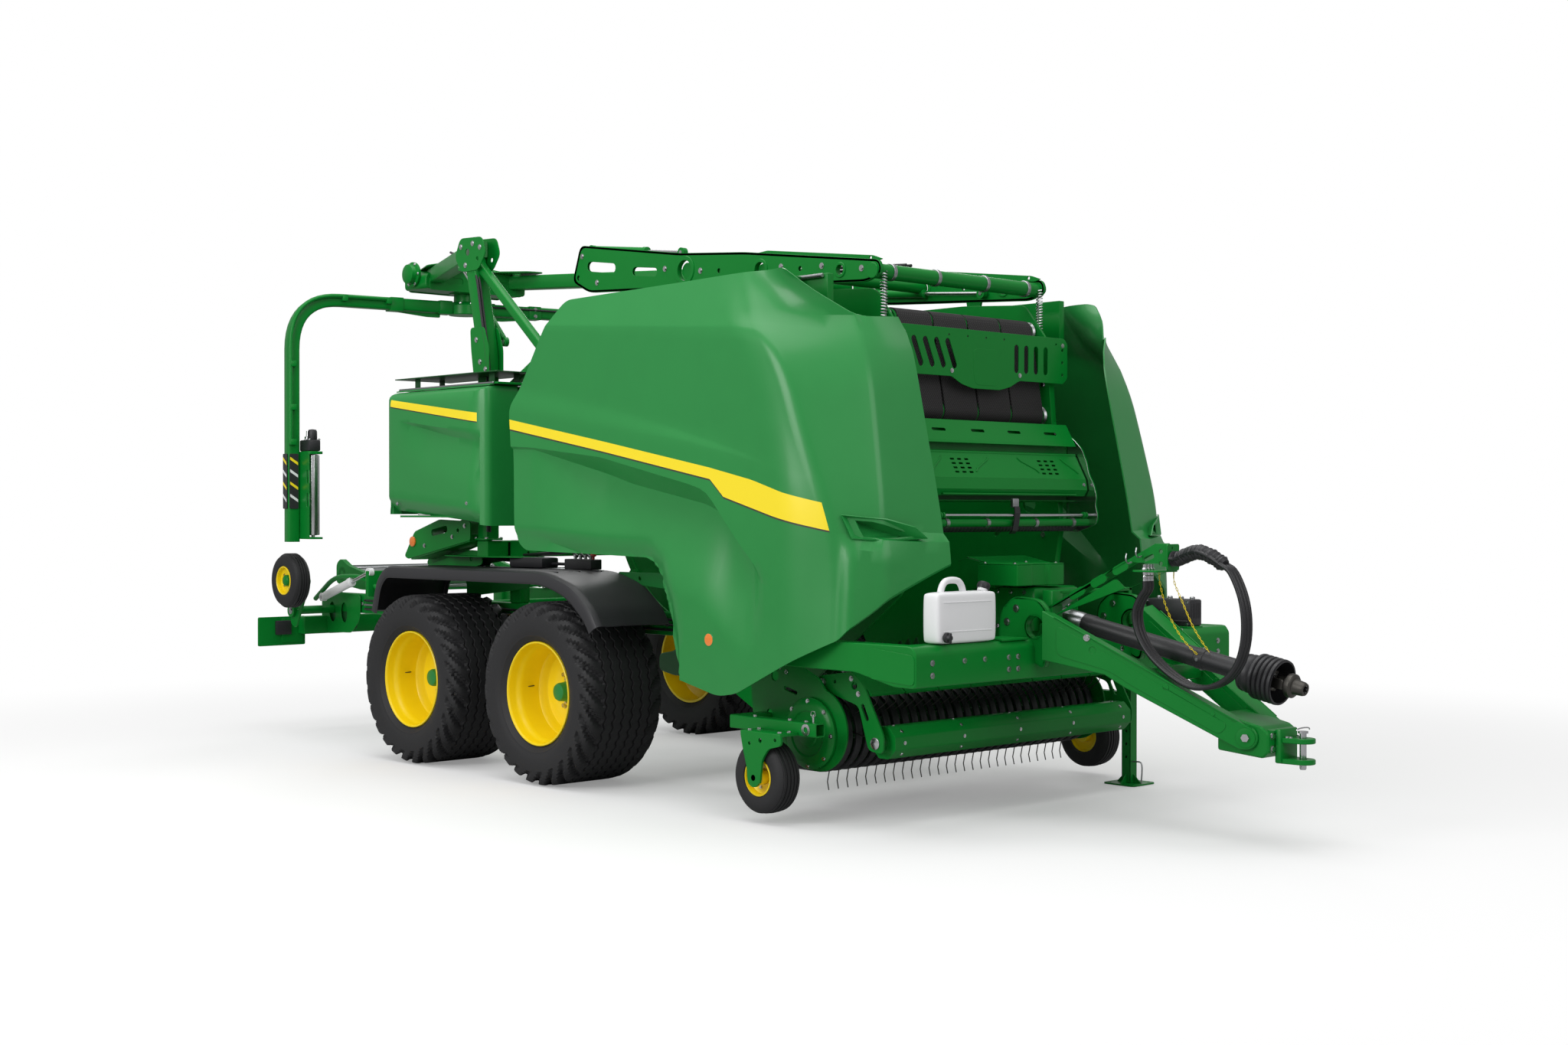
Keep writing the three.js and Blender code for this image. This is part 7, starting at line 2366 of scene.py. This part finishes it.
# %% Gantry
frame_side = Piece("gantry_side", "chassis", "green_paint")
frame_side.add(square_tube(bent([(-1.050, 1.0, 1.4005), (-1.050, 1.0, 2.560), (-1.195, 1.0, 3.190)],
                                0.10), 0.098, 0.098), frame_green)
frame_side.add(square_tube([(-1.150, 1.0, 3.240), (-2.740, 0.300, 3.265)], 0.100, 0.105, side=(0, 0, 1)),
               frame_green)
frame_side.add(square_tube([(-1.160, 0.995, 3.150), (-0.430, 0.995, 2.530)], 0.055, 0.055), frame_green)
frame_side.add(square_tube([(-0.470, 0.995, 2.530), (-1.050, 0.995, 2.230)], 0.045, 0.045), frame_green)
knee = [(-1.13, 2.42), (-0.965, 2.42), (-0.965, 2.60), (-1.02, 2.74), (-1.17, 2.74), (-1.16, 2.60)]
for y in (0.9465, 1.0525):
    frame_side.plate(knee, 0.006, "y", y, 0.03, [ring(-1.06, 2.52, 0.012), ring(-1.10, 2.66, 0.012)])
top_plate = [(-1.27, 3.10), (-1.08, 3.10), (-1.00, 3.20), (-1.04, 3.305), (-1.28, 3.315), (-1.34, 3.20)]
for y in (0.9440, 1.0530):
    frame_side.plate(top_plate, 0.007, "y", y, 0.035, [ring(-1.20, 3.22, 0.022),
                                                       ring(-1.09, 3.17, 0.014)])
screws(frame_side, [(x, 1.057, z) for x, z in ((-1.27, 3.26), (-1.14, 3.27), (-1.06, 3.24),
                                               (-1.22, 3.14))], "y", 1, 0.012)
screws(frame_side, [(x, 1.056, z) for x, z in ((-1.06, 2.52), (-1.10, 2.66), (-1.00, 2.47))], "y", 1,
       0.012)
foot = oblong(-1.12, 0.935, -0.98, 1.065)
frame_side.plate(foot, 0.012, "z", 1.4065, 0.015)
screws(frame_side, [(x, y, 1.4125) for x in (-1.108, -0.992) for y in (0.945, 1.055)], "z", 1, 0.009)
ram(frame_side, (-1.00, 0.905, 2.65), (-1.62, 0.82, 3.19), 0.020, 0.6)
line = bent([(-0.99, 1.03, 1.45), (-0.99, 1.03, 2.5), (-1.12, 1.03, 3.12), (-1.9, 0.70, 3.315)], 0.15)
frame_side.tube(line, 0.008, 8, hose_rubber)
frame_side.tube([p + Vector((0.0, 0.018, 0.004)) for p in line], 0.008, 8, hose_rubber)
gantry = Piece("wrapper_gantry", "chassis", "green_paint", ["gantry"])
gantry.join(frame_side.both_sides())
hood = [(-0.430, 3.170), (0.430, 3.170), (0.430, 3.262), (0.300, 3.330), (0.120, 3.349), (-0.120, 3.349),
        (-0.300, 3.330), (-0.430, 3.262)]
gantry.plate(hood, 0.276, "x", -2.790, 0.03, edge=0.004)
for x in (-2.929, -2.652):
    gantry.plate([(-0.40, 3.162), (0.40, 3.162), (0.40, 3.255), (0.29, 3.318), (-0.29, 3.318),
                  (-0.40, 3.255)], 0.008, "x", x, 0.03, [slot_hole(-0.24, 3.235, -0.14, 3.235, 0.025),
                                                         slot_hole(0.14, 3.235, 0.24, 3.235, 0.025)])
gusset = [(-2.95, 0.10), (-2.64, 0.10), (-2.42, 0.30), (-2.40, 0.42), (-2.62, 0.44), (-2.95, 0.30)]
for side in (-1, 1):
    gantry.plate([(x, side * y) for x, y in gusset], 0.008, "z", 3.325, 0.04,
                 [ring(-2.60, side * 0.32, 0.03)])
    screws(gantry, [(x, side * y, 3.330) for x, y in ((-2.88, 0.16), (-2.50, 0.38), (-2.86, 0.27),
                                                      (-2.66, 0.16))], "z", 1, 0.011)
gantry.spin([(0, 0), (0.086, 0), (0.088, 0.004), (0.088, 0.020), (0.070, 0.026), (0.068, 0.060),
             (0.050, 0.068), (0, 0.069)], 40, line_up((-2.8, -0.430, 3.275), (-2.8, -1, 3.275)))
gantry.spread(screw_head(0.009), round_axis(line_up((-2.8, -0.430, 3.275), (-2.8, -1, 3.275)), 6, 0.077,
                                            0.022))
gantry.spin([(0, 0), (0.11, 0), (0.115, 0.004), (0.115, 0.012), (0, 0.012)], 40,
            Matrix.Translation((-2.8, 0, 3.1605)))
gantry.done()

# %% [markdown]
# The wrap arms turn together under the head. Each is one square tube that runs out level and bends
# down in a wide curve, with a slim second tube outside it. At its foot sits the film dispenser: a
# green back plate with slots, a bright stretching roller and a green one, and the black gear block
# on top. A black board with slanting bars warns of the moving arm.

# %% Wrap arms
ARM_REACH, ARM_Z = 1.314, 3.060
spin = Matrix.Translation((-2.8, 0, 0)) @ Matrix.Rotation(math.radians(-8.3), 4, "Z")


def half_turned(piece):
    """Adds the same gear again, half a turn round the middle."""
    copy = bmesh.ops.duplicate(piece.bm, geom=piece.bm.verts[:] + piece.bm.edges[:] + piece.bm.faces[:])
    for item in copy["geom"]:
        if isinstance(item, bmesh.types.BMVert):
            item.co.x *= -1
            item.co.y *= -1


arms = Piece("wrap_arm_pair", "wrapper", "green_paint", ["wrap_arm"])
curve = bent([(0, 0.0, ARM_Z), (0, ARM_REACH - 0.004, ARM_Z + 0.002), (0, ARM_REACH - 0.004, 1.371)],
             0.36, 12)
arms.add(square_tube(curve, 0.086, 0.086, 0.014, side=(1, 0, 0)), frame_green)
slim = bent([(-0.062, 0.62, ARM_Z + 0.028), (-0.062, ARM_REACH + 0.028, ARM_Z + 0.028),
             (-0.062, ARM_REACH + 0.028, 2.05)], 0.40, 12)
arms.tube(slim, 0.014, 12)
for spot in ((0.62, ARM_Z + 0.02), (0.95, ARM_Z + 0.02)):
    arms.box((-0.078, spot[0] - 0.02, spot[1] - 0.025), (-0.040, spot[0] + 0.02, spot[1] + 0.02), 0.003)
for z in (2.60, 2.30, 2.06):
    arms.box((-0.078, ARM_REACH - 0.01, z - 0.02), (-0.040, ARM_REACH + 0.036, z + 0.02), 0.003)
for y in (0.12, 0.50):
    arms.box((-0.050, y, ARM_Z - 0.050), (0.050, y + 0.10, ARM_Z + 0.048), 0.005)
    screws(arms, [(0.051, y + 0.05, ARM_Z + dz) for dz in (-0.025, 0.025)], "x", 1, 0.010)
stay = [(0.20, 3.015), (0.62, 3.015), (0.30, 2.985), (0.20, 2.985)]
arms.plate(stay, 0.012, "x", 0, 0.01)
board = rounded(oblong(ARM_REACH - 0.032, 1.60, ARM_REACH + 0.032, 1.98), 0.01)
arms.plate(board, 0.006, "x", -0.0470, finish=black_plastic)
for k in range(4):
    z = 1.645 + 0.085 * k
    slant = [(ARM_REACH - 0.028, z), (ARM_REACH + 0.028, z + 0.038), (ARM_REACH + 0.028, z + 0.058),
             (ARM_REACH - 0.028, z + 0.020)]
    arms.plate(slant, 0.0015, "x", -0.0505, finish=stripe_yellow if k % 2 else white_plastic)
outer_board = rounded(oblong(-0.036, 1.60, 0.036, 1.98), 0.01)
arms.plate(outer_board, 0.006, "y", ARM_REACH + 0.0455, finish=black_plastic)
for k in range(4):
    z = 1.645 + 0.085 * k
    slant = [(-0.032, z), (0.032, z + 0.038), (0.032, z + 0.058), (-0.032, z + 0.020)]
    arms.plate(slant, 0.0015, "y", ARM_REACH + 0.0490, finish=stripe_yellow if k % 2 else white_plastic)
arms.tube(bent([(0.052, 0.2, ARM_Z + 0.02), (0.052, ARM_REACH - 0.03, ARM_Z + 0.02),
                (0.052, ARM_REACH - 0.03, 2.16)], 0.30, 10), 0.007, 8, hose_rubber)
half_turned(arms)
arms.spin([(0, 3.012), (0.116, 3.012), (0.120, 3.018), (0.120, 3.080), (0.110, 3.088), (0.082, 3.108),
           (0.080, 3.159), (0, 3.159)], 40)
arms.spread(screw_head(0.009), round_axis(Matrix(), 8, 0.100, 3.093))
arms.done(spin)

# the inside of the arms, less the dispensers' running gap
inner = ARM_REACH - 0.045 - 0.0003
for name in ("left", "right"):
    gear = Piece(f"film_stretcher_{name}", "wrapper", "steel", [f"film_dispenser_{name}"])
    back = [(-0.205, 1.395), (0.065, 1.395), (0.065, 2.145), (0.020, 2.145), (0.010, 1.995),
            (-0.205, 1.995)]
    slots = [slot_hole(-0.17, 1.62 + 0.16 * k, -0.17, 1.70 + 0.16 * k, 0.010) for k in range(2)]
    slots += [slot_hole(0.03, 1.55, 0.03, 1.70, 0.010), ring(0.03, 1.90, 0.012), ring(0.03, 2.07, 0.010)]
    gear.plate(back, 0.006, "y", inner - 0.0035, 0.02, slots)
    screws(gear, [(0.028, inner - 0.0065, 1.80), (0.028, inner - 0.0065, 1.46)], "y", -1, 0.014)
    for z, t in ((1.398, 0.014), (1.985, 0.018)):
        shelf = oblong(-0.208, inner - 0.104, 0.068, inner - 0.001)
        gear.plate(shelf, t, "z", z, 0.02)
    gear.spin([(0, 1.406), (0.012, 1.406), (0.012, 1.416), (0.043, 1.420), (0.044, 1.424), (0.044, 1.966),
               (0.043, 1.970), (0.012, 1.974), (0.012, 1.978), (0, 1.978)], 32,
              Matrix.Translation((-0.150, inner - 0.052, 0)), bright_steel)
    gear.spin([(0, 1.406), (0.012, 1.406), (0.012, 1.416), (0.040, 1.420), (0.042, 1.424), (0.042, 1.966),
               (0.040, 1.970), (0.012, 1.974), (0.012, 1.978), (0, 1.978)], 32,
              Matrix.Translation((-0.040, inner - 0.052, 0)))
    gear.box((-0.186, inner - 0.094, 1.996), (-0.010, inner - 0.008, 2.075), 0.010, finish=black_plastic)
    gear.spin([(0, 2.075), (0.030, 2.075), (0.032, 2.080), (0.032, 2.130), (0.026, 2.144), (0, 2.148)],
              28, Matrix.Translation((-0.140, inner - 0.052, 0)), black_plastic)
    gear.spin([(0, 2.075), (0.022, 2.075), (0.022, 2.098), (0.012, 2.102), (0.010, 2.140), (0, 2.141)],
              24, Matrix.Translation((-0.052, inner - 0.052, 0)), bright_steel)
    screws(gear, [(x, inner - 0.052 + dy, 2.076) for x in (-0.175, -0.100) for dy in (-0.034, 0.034)],
           "z", 1, 0.007)
    if name == "right":
        for vertex in gear.bm.verts:
            vertex.co.x *= -1
            vertex.co.y *= -1
    gear.done(spin)
print("wrapper done", len(made_pieces), "pieces")

# %% [markdown]
# The wrapping table is a low cradle of two side plates and two big rollers, which turn the bale
# while the arms go round it. The rollers are tubes with raised ribs that grip the film.

# %% Wrapping table
table = Piece("bale_table", "table", "green_paint", ["wrapping_table"])
side = [(-2.100, 1.190), (-2.100, 1.060), (-2.500, 1.020), (-3.100, 1.020), (-3.440, 1.060),
        (-3.440, 1.200), (-3.380, 1.240), (-3.280, 1.190), (-2.900, 1.110), (-2.600, 1.110),
        (-2.250, 1.190)]
side_holes = [slot_hole(-2.95 + 0.22 * k, 1.063, -2.87 + 0.22 * k, 1.063, 0.018) for k in range(3)]
for y in (-0.6875, -0.6525, 0.6525, 0.6875):
    table.plate(side, 0.004, "y", y, 0.03, side_holes)
inner_side = [(-2.112, 1.178), (-2.112, 1.071), (-2.501, 1.032), (-3.099, 1.032), (-3.428, 1.071),
              (-3.428, 1.194), (-3.383, 1.224), (-3.284, 1.178), (-2.903, 1.098), (-2.597, 1.098),
              (-2.246, 1.178)]
for y in (-0.670, 0.670):
    table.plate(side, 0.036, "y", y, 0.03, [rounded(inner_side, 0.022)], edge=0.002)
for x, z in ((-2.160, 1.120), (-3.360, 1.130), (-2.780, 1.062)):
    for y, sign in ((0.6875, 1), (0.6515, -1), (-0.6875, -1), (-0.6515, 1)):
        table.spin([(0.023, -0.004), (0.050, -0.004), (0.052, -0.002), (0.052, 0.002), (0.023, 0.002)],
                   28, along_y(x, y - sign * 0.002, z))
for x in (-2.560, -2.980):
    table.box((x - 0.038, -0.6505, 1.027), (x + 0.038, 0.6505, 1.083), 0.008)
for y in (-0.35, 0.35):
    table.box((-2.98, y - 0.03, 1.030), (-2.56, y + 0.03, 1.078), 0.006)
table.done()

for name, x, z in (("front", -2.160, 1.120), ("rear", -3.360, 1.130)):
    drum = Piece(f"ribbed_drum_{name}", f"roller_{name}", "steel", [f"table_roller_{name}"])
    drum.spin([(0.021, -0.619), (0.052, -0.619), (0.0545, -0.616), (0.0545, 0.616), (0.052, 0.619),
               (0.021, 0.619)], 40, along_y(x, 0, z), steel)
    drum.rod((x, -0.6495, z), (x, 0.6495, z), 0.0215, 24, bright_steel)
    ribs = [Matrix.Translation((x, 0, z)) @ Matrix.Rotation(k * math.pi / 4, 4, "Y")
            @ Matrix.Translation((0, 0, 0.0560)) for k in range(8)]
    drum.spread(block((-0.004, -0.60, -0.004), (0.004, 0.60, 0.004), 0.0015), ribs, steel)
    drum.done()

# %% [markdown]
# The bale turner is an arm at the right rear with a small wheel on it, so that a wrapped bale rolls
# off gently. The wheel matches the gauge wheels: black tyre, yellow rim, green hub. A cylinder with
# a pale body stands beside the arm.

# %% Bale turner
TURN_X, TURN_Z = -3.100, 1.100
turner = Piece("turner_link", "turner", "green_paint", ["turner_arm"])
a, b = Vector((-3.280, 0.790)), Vector((TURN_X, TURN_Z))
ahead = (b - a).normalized()
cross = Vector((-ahead.y, ahead.x)) * 0.058
strip = [tuple(a - ahead * 0.02 - cross * 0.8), tuple(a - ahead * 0.02 + cross * 0.8),
         tuple(b + cross * 0.8 + ahead * 0.03), tuple(b - cross * 0.8 + ahead * 0.03)]
turner.plate(strip, 0.015, "y", -1.120, 0.04,
             [tuple(slot_hole(*(a + (b - a) * 0.35), *(a + (b - a) * 0.6), 0.014))], edge=0.003)
turner.rod((-3.280, -1.128, 0.880), (-3.280, -0.8005, 0.880), 0.029, 24)
turner.spin([(0.02, 0), (0.044, 0), (0.046, 0.004), (0.046, 0.020), (0.02, 0.020)], 28,
            line_up((-3.280, -1.1285, 0.880), (-3.280, -2, 0.880)))
turner.rod((TURN_X, -1.115, TURN_Z), (TURN_X, -1.1795, TURN_Z), 0.023, 20, bright_steel)
screws(turner, [(-3.280, -1.1485, 0.880)], "y", -1, 0.018)
turner.done()

wheel = Piece("turner_tyre", "turner_wheel", "tyre_rubber", ["turner_wheel"])
here = line_up((TURN_X, -1.180, TURN_Z), (TURN_X, -2, TURN_Z))
ribs = []
for k in range(4):
    y = 0.038 + 0.018 * k
    ribs += [(0.183, y - 0.007), (0.1898, y - 0.005), (0.1898, y + 0.005), (0.183, y + 0.007)]
wheel.spin([(0.100, 0.010), (0.112, 0.002), (0.150, 0.001), (0.172, 0.010), (0.182, 0.024), *ribs,
            (0.182, 0.106), (0.172, 0.120), (0.150, 0.129), (0.112, 0.128), (0.100, 0.120),
            (0.100, 0.060)], 64, here, tyre_rubber)
wheel.spin([(0.0995, 0.010), (0.0995, 0.124), (0.094, 0.127), (0.090, 0.122), (0.088, 0.094),
            (0.062, 0.086), (0.042, 0.084), (0.040, 0.084), (0.040, 0.036), (0.062, 0.036),
            (0.090, 0.028), (0.094, 0.008)], 48, here, yellow)
wheel.spin([(0, 0.001), (0.039, 0.001), (0.039, 0.104), (0.034, 0.112), (0.024, 0.117), (0, 0.1178)], 28,
           here)
wheel.spread(screw_head(0.008), round_axis(here, 5, 0.062, 0.087))
wheel.done()

# %% [markdown]
# The chassis is two box rails with cross members, and an outrigger under each locker. At the rear
# it closes in a deep box with oval openings, a bent tube and two light boards; a sheet in the darker
# green behind the openings is painted shade that makes them look dark. Reflectors, a valve block
# with a red knob, and oil lines along the rail are what makes it look finished.

# %% Chassis
chassis = Piece("rail_frame", "chassis", "green_paint")
rail = oblong(0.722, 0.862, 0.798, 0.998)
chassis.plate(rail, 4.858, "x", -0.961, 0.010, edge=0.003)
for x, low, high in ((-3.389, 0.702, 0.998), (-1.050, 0.998, 1.398)):
    inner, outer = (0.692, 0.808) if x < -3 else (0.722, 0.798)
    chassis.box((x - 0.058, inner, low), (x + 0.058, outer, high), 0.008)
chassis.box((-2.840, 0.727, 0.99), (-2.720, 0.763, 1.078), 0.006)
chassis.rod((-2.780, 0.728, 1.030), (-2.780, 0.6905, 1.030), 0.026, 20, bright_steel)
plate_side = [(-2.90, 0.90), (-2.60, 0.90), (-2.66, 1.05), (-2.72, 1.09), (-2.84, 1.09), (-2.90, 1.05)]
chassis.plate(plate_side, 0.008, "y", 0.768, 0.03, [ring(-2.78, 1.03, 0.02)])
screws(chassis, [(x, 0.7985, 0.93) for x in (-3.1, -2.9, -2.6, -2.3, -1.9, 0.55, 1.05, 1.38)], "y", 1,
       0.011)
tail = [(-3.44, 0.708), (-3.02, 0.720), (-2.92, 0.800), (-2.90, 0.860), (-2.90, 0.99), (-3.20, 1.005),
        (-3.40, 0.995)]
tail_holes = [ring(-3.28, 0.86, 0.042, 24, 1.7, 0.1), ring(-3.12, 0.86, 0.042, 24, 1.7, 0.1)]
chassis.plate(tail, 0.006, "y", 0.812, 0.03, tail_holes)
# a sheet in the darker green behind the oval holes: painted shade that makes the openings look dark
chassis.plate([(-3.40, 0.74), (-2.98, 0.75), (-2.94, 0.97), (-3.38, 0.97)], 0.004, "y", 0.795, 0.02,
              finish=shade_painted_green)
chassis.tube(bent([(-3.44, 0.86, 0.95), (-3.10, 0.90, 1.12), (-2.70, 0.90, 1.13), (-2.45, 0.84, 0.96)],
                  0.14), 0.017, 14)
outrigger = oblong(-1.108, 0.80, -0.992, 1.048)
chassis.plate(outrigger, 0.106, "z", 1.344, 0.01, edge=0.004)
slant = [(-1.46, 1.03), (-0.80, 1.10), (-0.70, 1.28), (-0.72, 1.395), (-1.30, 1.395), (-1.50, 1.16)]
chassis.plate(slant, 0.008, "y", 0.870, 0.03, [slot_hole(-1.20, 1.22, -0.95, 1.25, 0.030),
                                               ring(-0.80, 1.32, 0.014)])
tray = [(-1.52, 0.84), (-0.66, 0.84), (-0.66, 1.02), (-0.90, 1.09), (-1.40, 1.09), (-1.52, 1.02)]
chassis.plate(tray, 0.006, "z", 1.298, 0.03)
for y, shift in ((1.10, 0.0), (0.93, -0.05)):
    upper = [(-1.86, 1.290 + shift), (-1.82, 1.270 + shift), (-1.10, 1.400), (-1.10, 1.520),
             (-1.45, 1.530), (-1.74, 1.450 + shift)]
    ramp_holes = [slot_hole(-1.52, 1.445 + shift, -1.38, 1.468 + shift, 0.022), ring(-1.24, 1.46, 0.014)]
    chassis.plate(upper, 0.008, "y", y, 0.02, ramp_holes)
chassis.add(girder((-1.80, 1.015, 1.290), (-1.12, 1.015, 1.415), 0.16, 0.05), frame_green)
chassis.add(girder((-1.74, 1.015, 1.425), (-1.40, 1.015, 1.505), 0.16, 0.012), frame_green)
lower = [(-1.84, 1.150), (-1.78, 1.120), (-1.16, 1.245), (-1.16, 1.330), (-1.30, 1.335), (-1.80, 1.225)]
chassis.plate(lower, 0.008, "y", 0.97, 0.02, [ring(-1.70, 1.19, 0.016), ring(-1.28, 1.28, 0.016)])
chassis.add(girder((-1.80, 0.90, 1.185), (-1.16, 0.90, 1.300), 0.14, 0.035), frame_green)
screws(chassis, [(-1.62, 1.1045, 1.36), (-1.30, 1.1045, 1.42), (-1.16, 1.1045, 1.49)], "y", 1, 0.010)
chassis.spin([(0, 0), (0.033, 0), (0.034, 0.003), (0.032, 0.009), (0.022, 0.012), (0, 0.013)], 32,
             line_up((-1.755, 1.1045, 1.385), (-1.755, 2, 1.385)), orange_lens)
for k in range(3):
    route = [(-1.66 + 0.02 * k, 0.905 + 0.02 * k, 1.235), (-1.40, 0.90 + 0.02 * k, 1.285),
             (-0.95, 0.90 + 0.02 * k, 1.275), (-0.45, 0.90 + 0.02 * k, 1.262),
             (-0.30, 0.905 + 0.02 * k, 1.262)]
    chassis.tube(smooth_path(route, 5), 0.0085, 8, hose_rubber)
chassis.box((-0.80, 0.89, 1.236), (-0.46, 1.02, 1.300), 0.012, finish=hose_rubber)
chassis.box((-0.28, 0.900, 1.2345), (-0.02, 0.985, 1.296), 0.006, finish=black_plastic)
for k in range(4):
    chassis.spin([(0, 0), (0.010, 0), (0.010, 0.016), (0.014, 0.018), (0.014, 0.026), (0, 0.028)], 16,
                 Matrix.Translation((-0.24 + 0.05 * k, 0.93, 1.294)), steel)
chassis.spin([(0, 0), (0.008, 0), (0.008, 0.016), (0.018, 0.022), (0.018, 0.034), (0.010, 0.040),
              (0, 0.041)], 20, Matrix.Translation((-0.045, 0.945, 1.294)), red_lens)
for k in range(3):
    x = -0.22 + 0.06 * k
    chassis.tube(smooth_path([(x, 0.93, 1.31), (x - 0.1, 0.92, 1.345), (x - 0.35, 0.90, 1.325),
                              (x - 0.62, 0.88, 1.31)], 5), 0.008, 8, hose_rubber)
for k in range(3):
    z = 0.895 + 0.030 * k
    chassis.tube([(-2.85, 0.8085, z), (-1.6, 0.8085, z), (0.3, 0.8085, z), (1.4, 0.8085, z)], 0.0075, 8,
                 steel if k % 2 else hose_rubber)
for x in (-2.2, -1.2, -0.2, 0.8):
    chassis.box((x - 0.015, 0.797, 0.882), (x + 0.015, 0.820, 0.970), 0.004)
board = oblong(0.930, 0.622, 1.298, 0.828)
chassis.plate(board, 0.016, "x", -3.472, 0.012, edge=0.002)
chassis.plate(oblong(0.950, 0.640, 1.120, 0.810), 0.006, "x", -3.4615, 0.01)
chassis.box((-3.4895, 1.150, 0.655), (-3.479, 1.285, 0.795), 0.004, finish=red_lens)
chassis.box((-3.4890, 0.960, 0.655), (-3.479, 1.120, 0.795), 0.004, finish=orange_lens)
chassis.box((-3.4895, 1.124, 0.660), (-3.479, 1.146, 0.790), 0.003, finish=white_plastic)
chassis.box((-3.470, 0.936, 0.702), (-3.440, 0.989, 0.818), 0.004)
chassis.box((-3.468, 1.05, 0.70), (-3.44, 1.17, 0.80), 0.006, finish=black_plastic)
whole = Piece("chassis_weldment", "chassis", "green_paint", ["chassis_frame"])
whole.join(chassis.both_sides())
for x0, x1, half, z0, z1 in ((-1.108, -0.992, 0.90, 1.292, 1.396), (-0.118, -0.022, 0.724, 0.862, 0.938),
                             (-2.048, -1.952, 0.724, 0.862, 0.968),
                             (-3.448, -3.352, 0.998, 0.702, 0.828)):
    whole.box((x0, -half, z0), (x1, half, z1), 0.008)
for y in (-0.35, 0.35):
    whole.box((-3.36, y - 0.04, 0.74), (-2.04, y + 0.04, 0.80), 0.006)
ram(whole, (-3.25, -0.905, 0.97), (-2.62, -0.905, 1.16), 0.030, 0.62, white_plastic)
whole.box((-2.64, -0.93, 0.99), (-2.60, -0.80, 1.17), 0.006)
whole.done()

# %% [markdown]
# A walking beam on each side carries both wheels, so they share the load over bumps. It is a deep
# forked girder on a round pivot. Mostly hidden, it still shows between the tyres. Its paint is the
# darker green, with the shade under the machine painted into the colour.

# %% Bogies


def add_bogie(piece):
    line = [(-1.437, 0.465), (-1.278, 0.437), (-0.060, 0.437), (0.098, 0.465), (0.098, 0.580),
            (-0.469, 0.678), (-0.869, 0.678), (-1.437, 0.580)]
    # the beam, its boss and the axle stubs take the darker green, which is painted shade
    piece.plate(line, 0.098, "y", 0.755, 0.04, [ring(-0.669, 0.57, 0.05, 24)], finish=shade_painted_green,
                edge=0.006)
    piece.box((-0.778, 0.707, 0.66), (-0.560, 0.803, 0.8592), 0.012, finish=shade_painted_green)
    boss(piece, -0.669, 0.770, 0.57, 0.085, 0.045, 0.045, shade_painted_green)
    piece.spin([(0, -0.055), (0.044, -0.055), (0.044, 0.050), (0.030, 0.052), (0, 0.052)], 24,
               along_y(-0.669, 0.770, 0.57), steel)
    for x in (0.0, -1.338):
        piece.rod((x, 0.720, 0.530), (x, 0.8995, 0.530), 0.054, 28, shade_painted_green)
        piece.spin([(0.05, 0.800), (0.085, 0.800), (0.088, 0.806), (0.088, 0.826), (0.05, 0.830)], 32,
                   along_y(x, 0, 0.530), shade_painted_green)


left_and_right("walking_beam", "chassis", "dark_green_paint", ["bogie_{}"], add_bogie)

# %% [markdown]
# Behind each locker door stands a rack for spare film rolls, and a thin cover plate lies over it
# and juts out a little at the back.

# %% Film racks


def add_rack(piece):
    wall = oblong(-1.518, 1.542, -0.587, 2.344)
    holes = [slot_hole(-1.40 + 0.30 * k, 1.80, -1.40 + 0.30 * k, 2.10, 0.05) for k in range(3)]
    piece.plate(wall, 0.006, "y", 1.0545, 0.02, holes)
    piece.plate(oblong(-1.518, 1.053, -0.587, 1.357), 0.012, "z", 1.550, 0.02,
                [ring(-1.35 + 0.29 * k, 1.21, 0.04) for k in range(3)])
    lid = oblong(-1.598, 1.052, -0.507, 1.3095)
    piece.plate(lid, 0.012, "z", 2.352, 0.008)
    tray = [(-1.660, 0.880), (-1.660, 1.303), (-0.530, 1.303), (-0.530, 0.880)]
    # the tray and its posts take the darker green, which is painted shade under the roof
    piece.plate(tray, 0.006, "z", 2.424, 0.012, finish=shade_painted_green)
    for x in (-1.48, -0.66):
        for y in (1.060, 1.242):
            piece.box((x - 0.03, y - 0.002, 2.356), (x + 0.03, y + 0.002, 2.421), finish=shade_painted_green)
    for x in (-1.30, -0.82):
        piece.spin([(0.038, 1.558), (0.11, 1.558), (0.112, 1.56), (0.112, 2.058), (0.11, 2.06),
                    (0.038, 2.06)], 36, Matrix.Translation((x, 1.225, 0)), white_plastic)
        piece.spin(oblong(0, 1.5565, 0.036, 2.075), 20, Matrix.Translation((x, 1.225, 0)), black_plastic)
    screws(piece, [(x, 1.10, 2.3585) for x in (-1.5, -1.05, -0.6)], "z", 1, 0.008)


left_and_right("roll_rack", "chassis", "green_paint", ["film_rack_{}"], add_rack)
print("all pieces", len(made_pieces), "with", sum(len(p.data.polygons) for p in made_pieces), "faces")
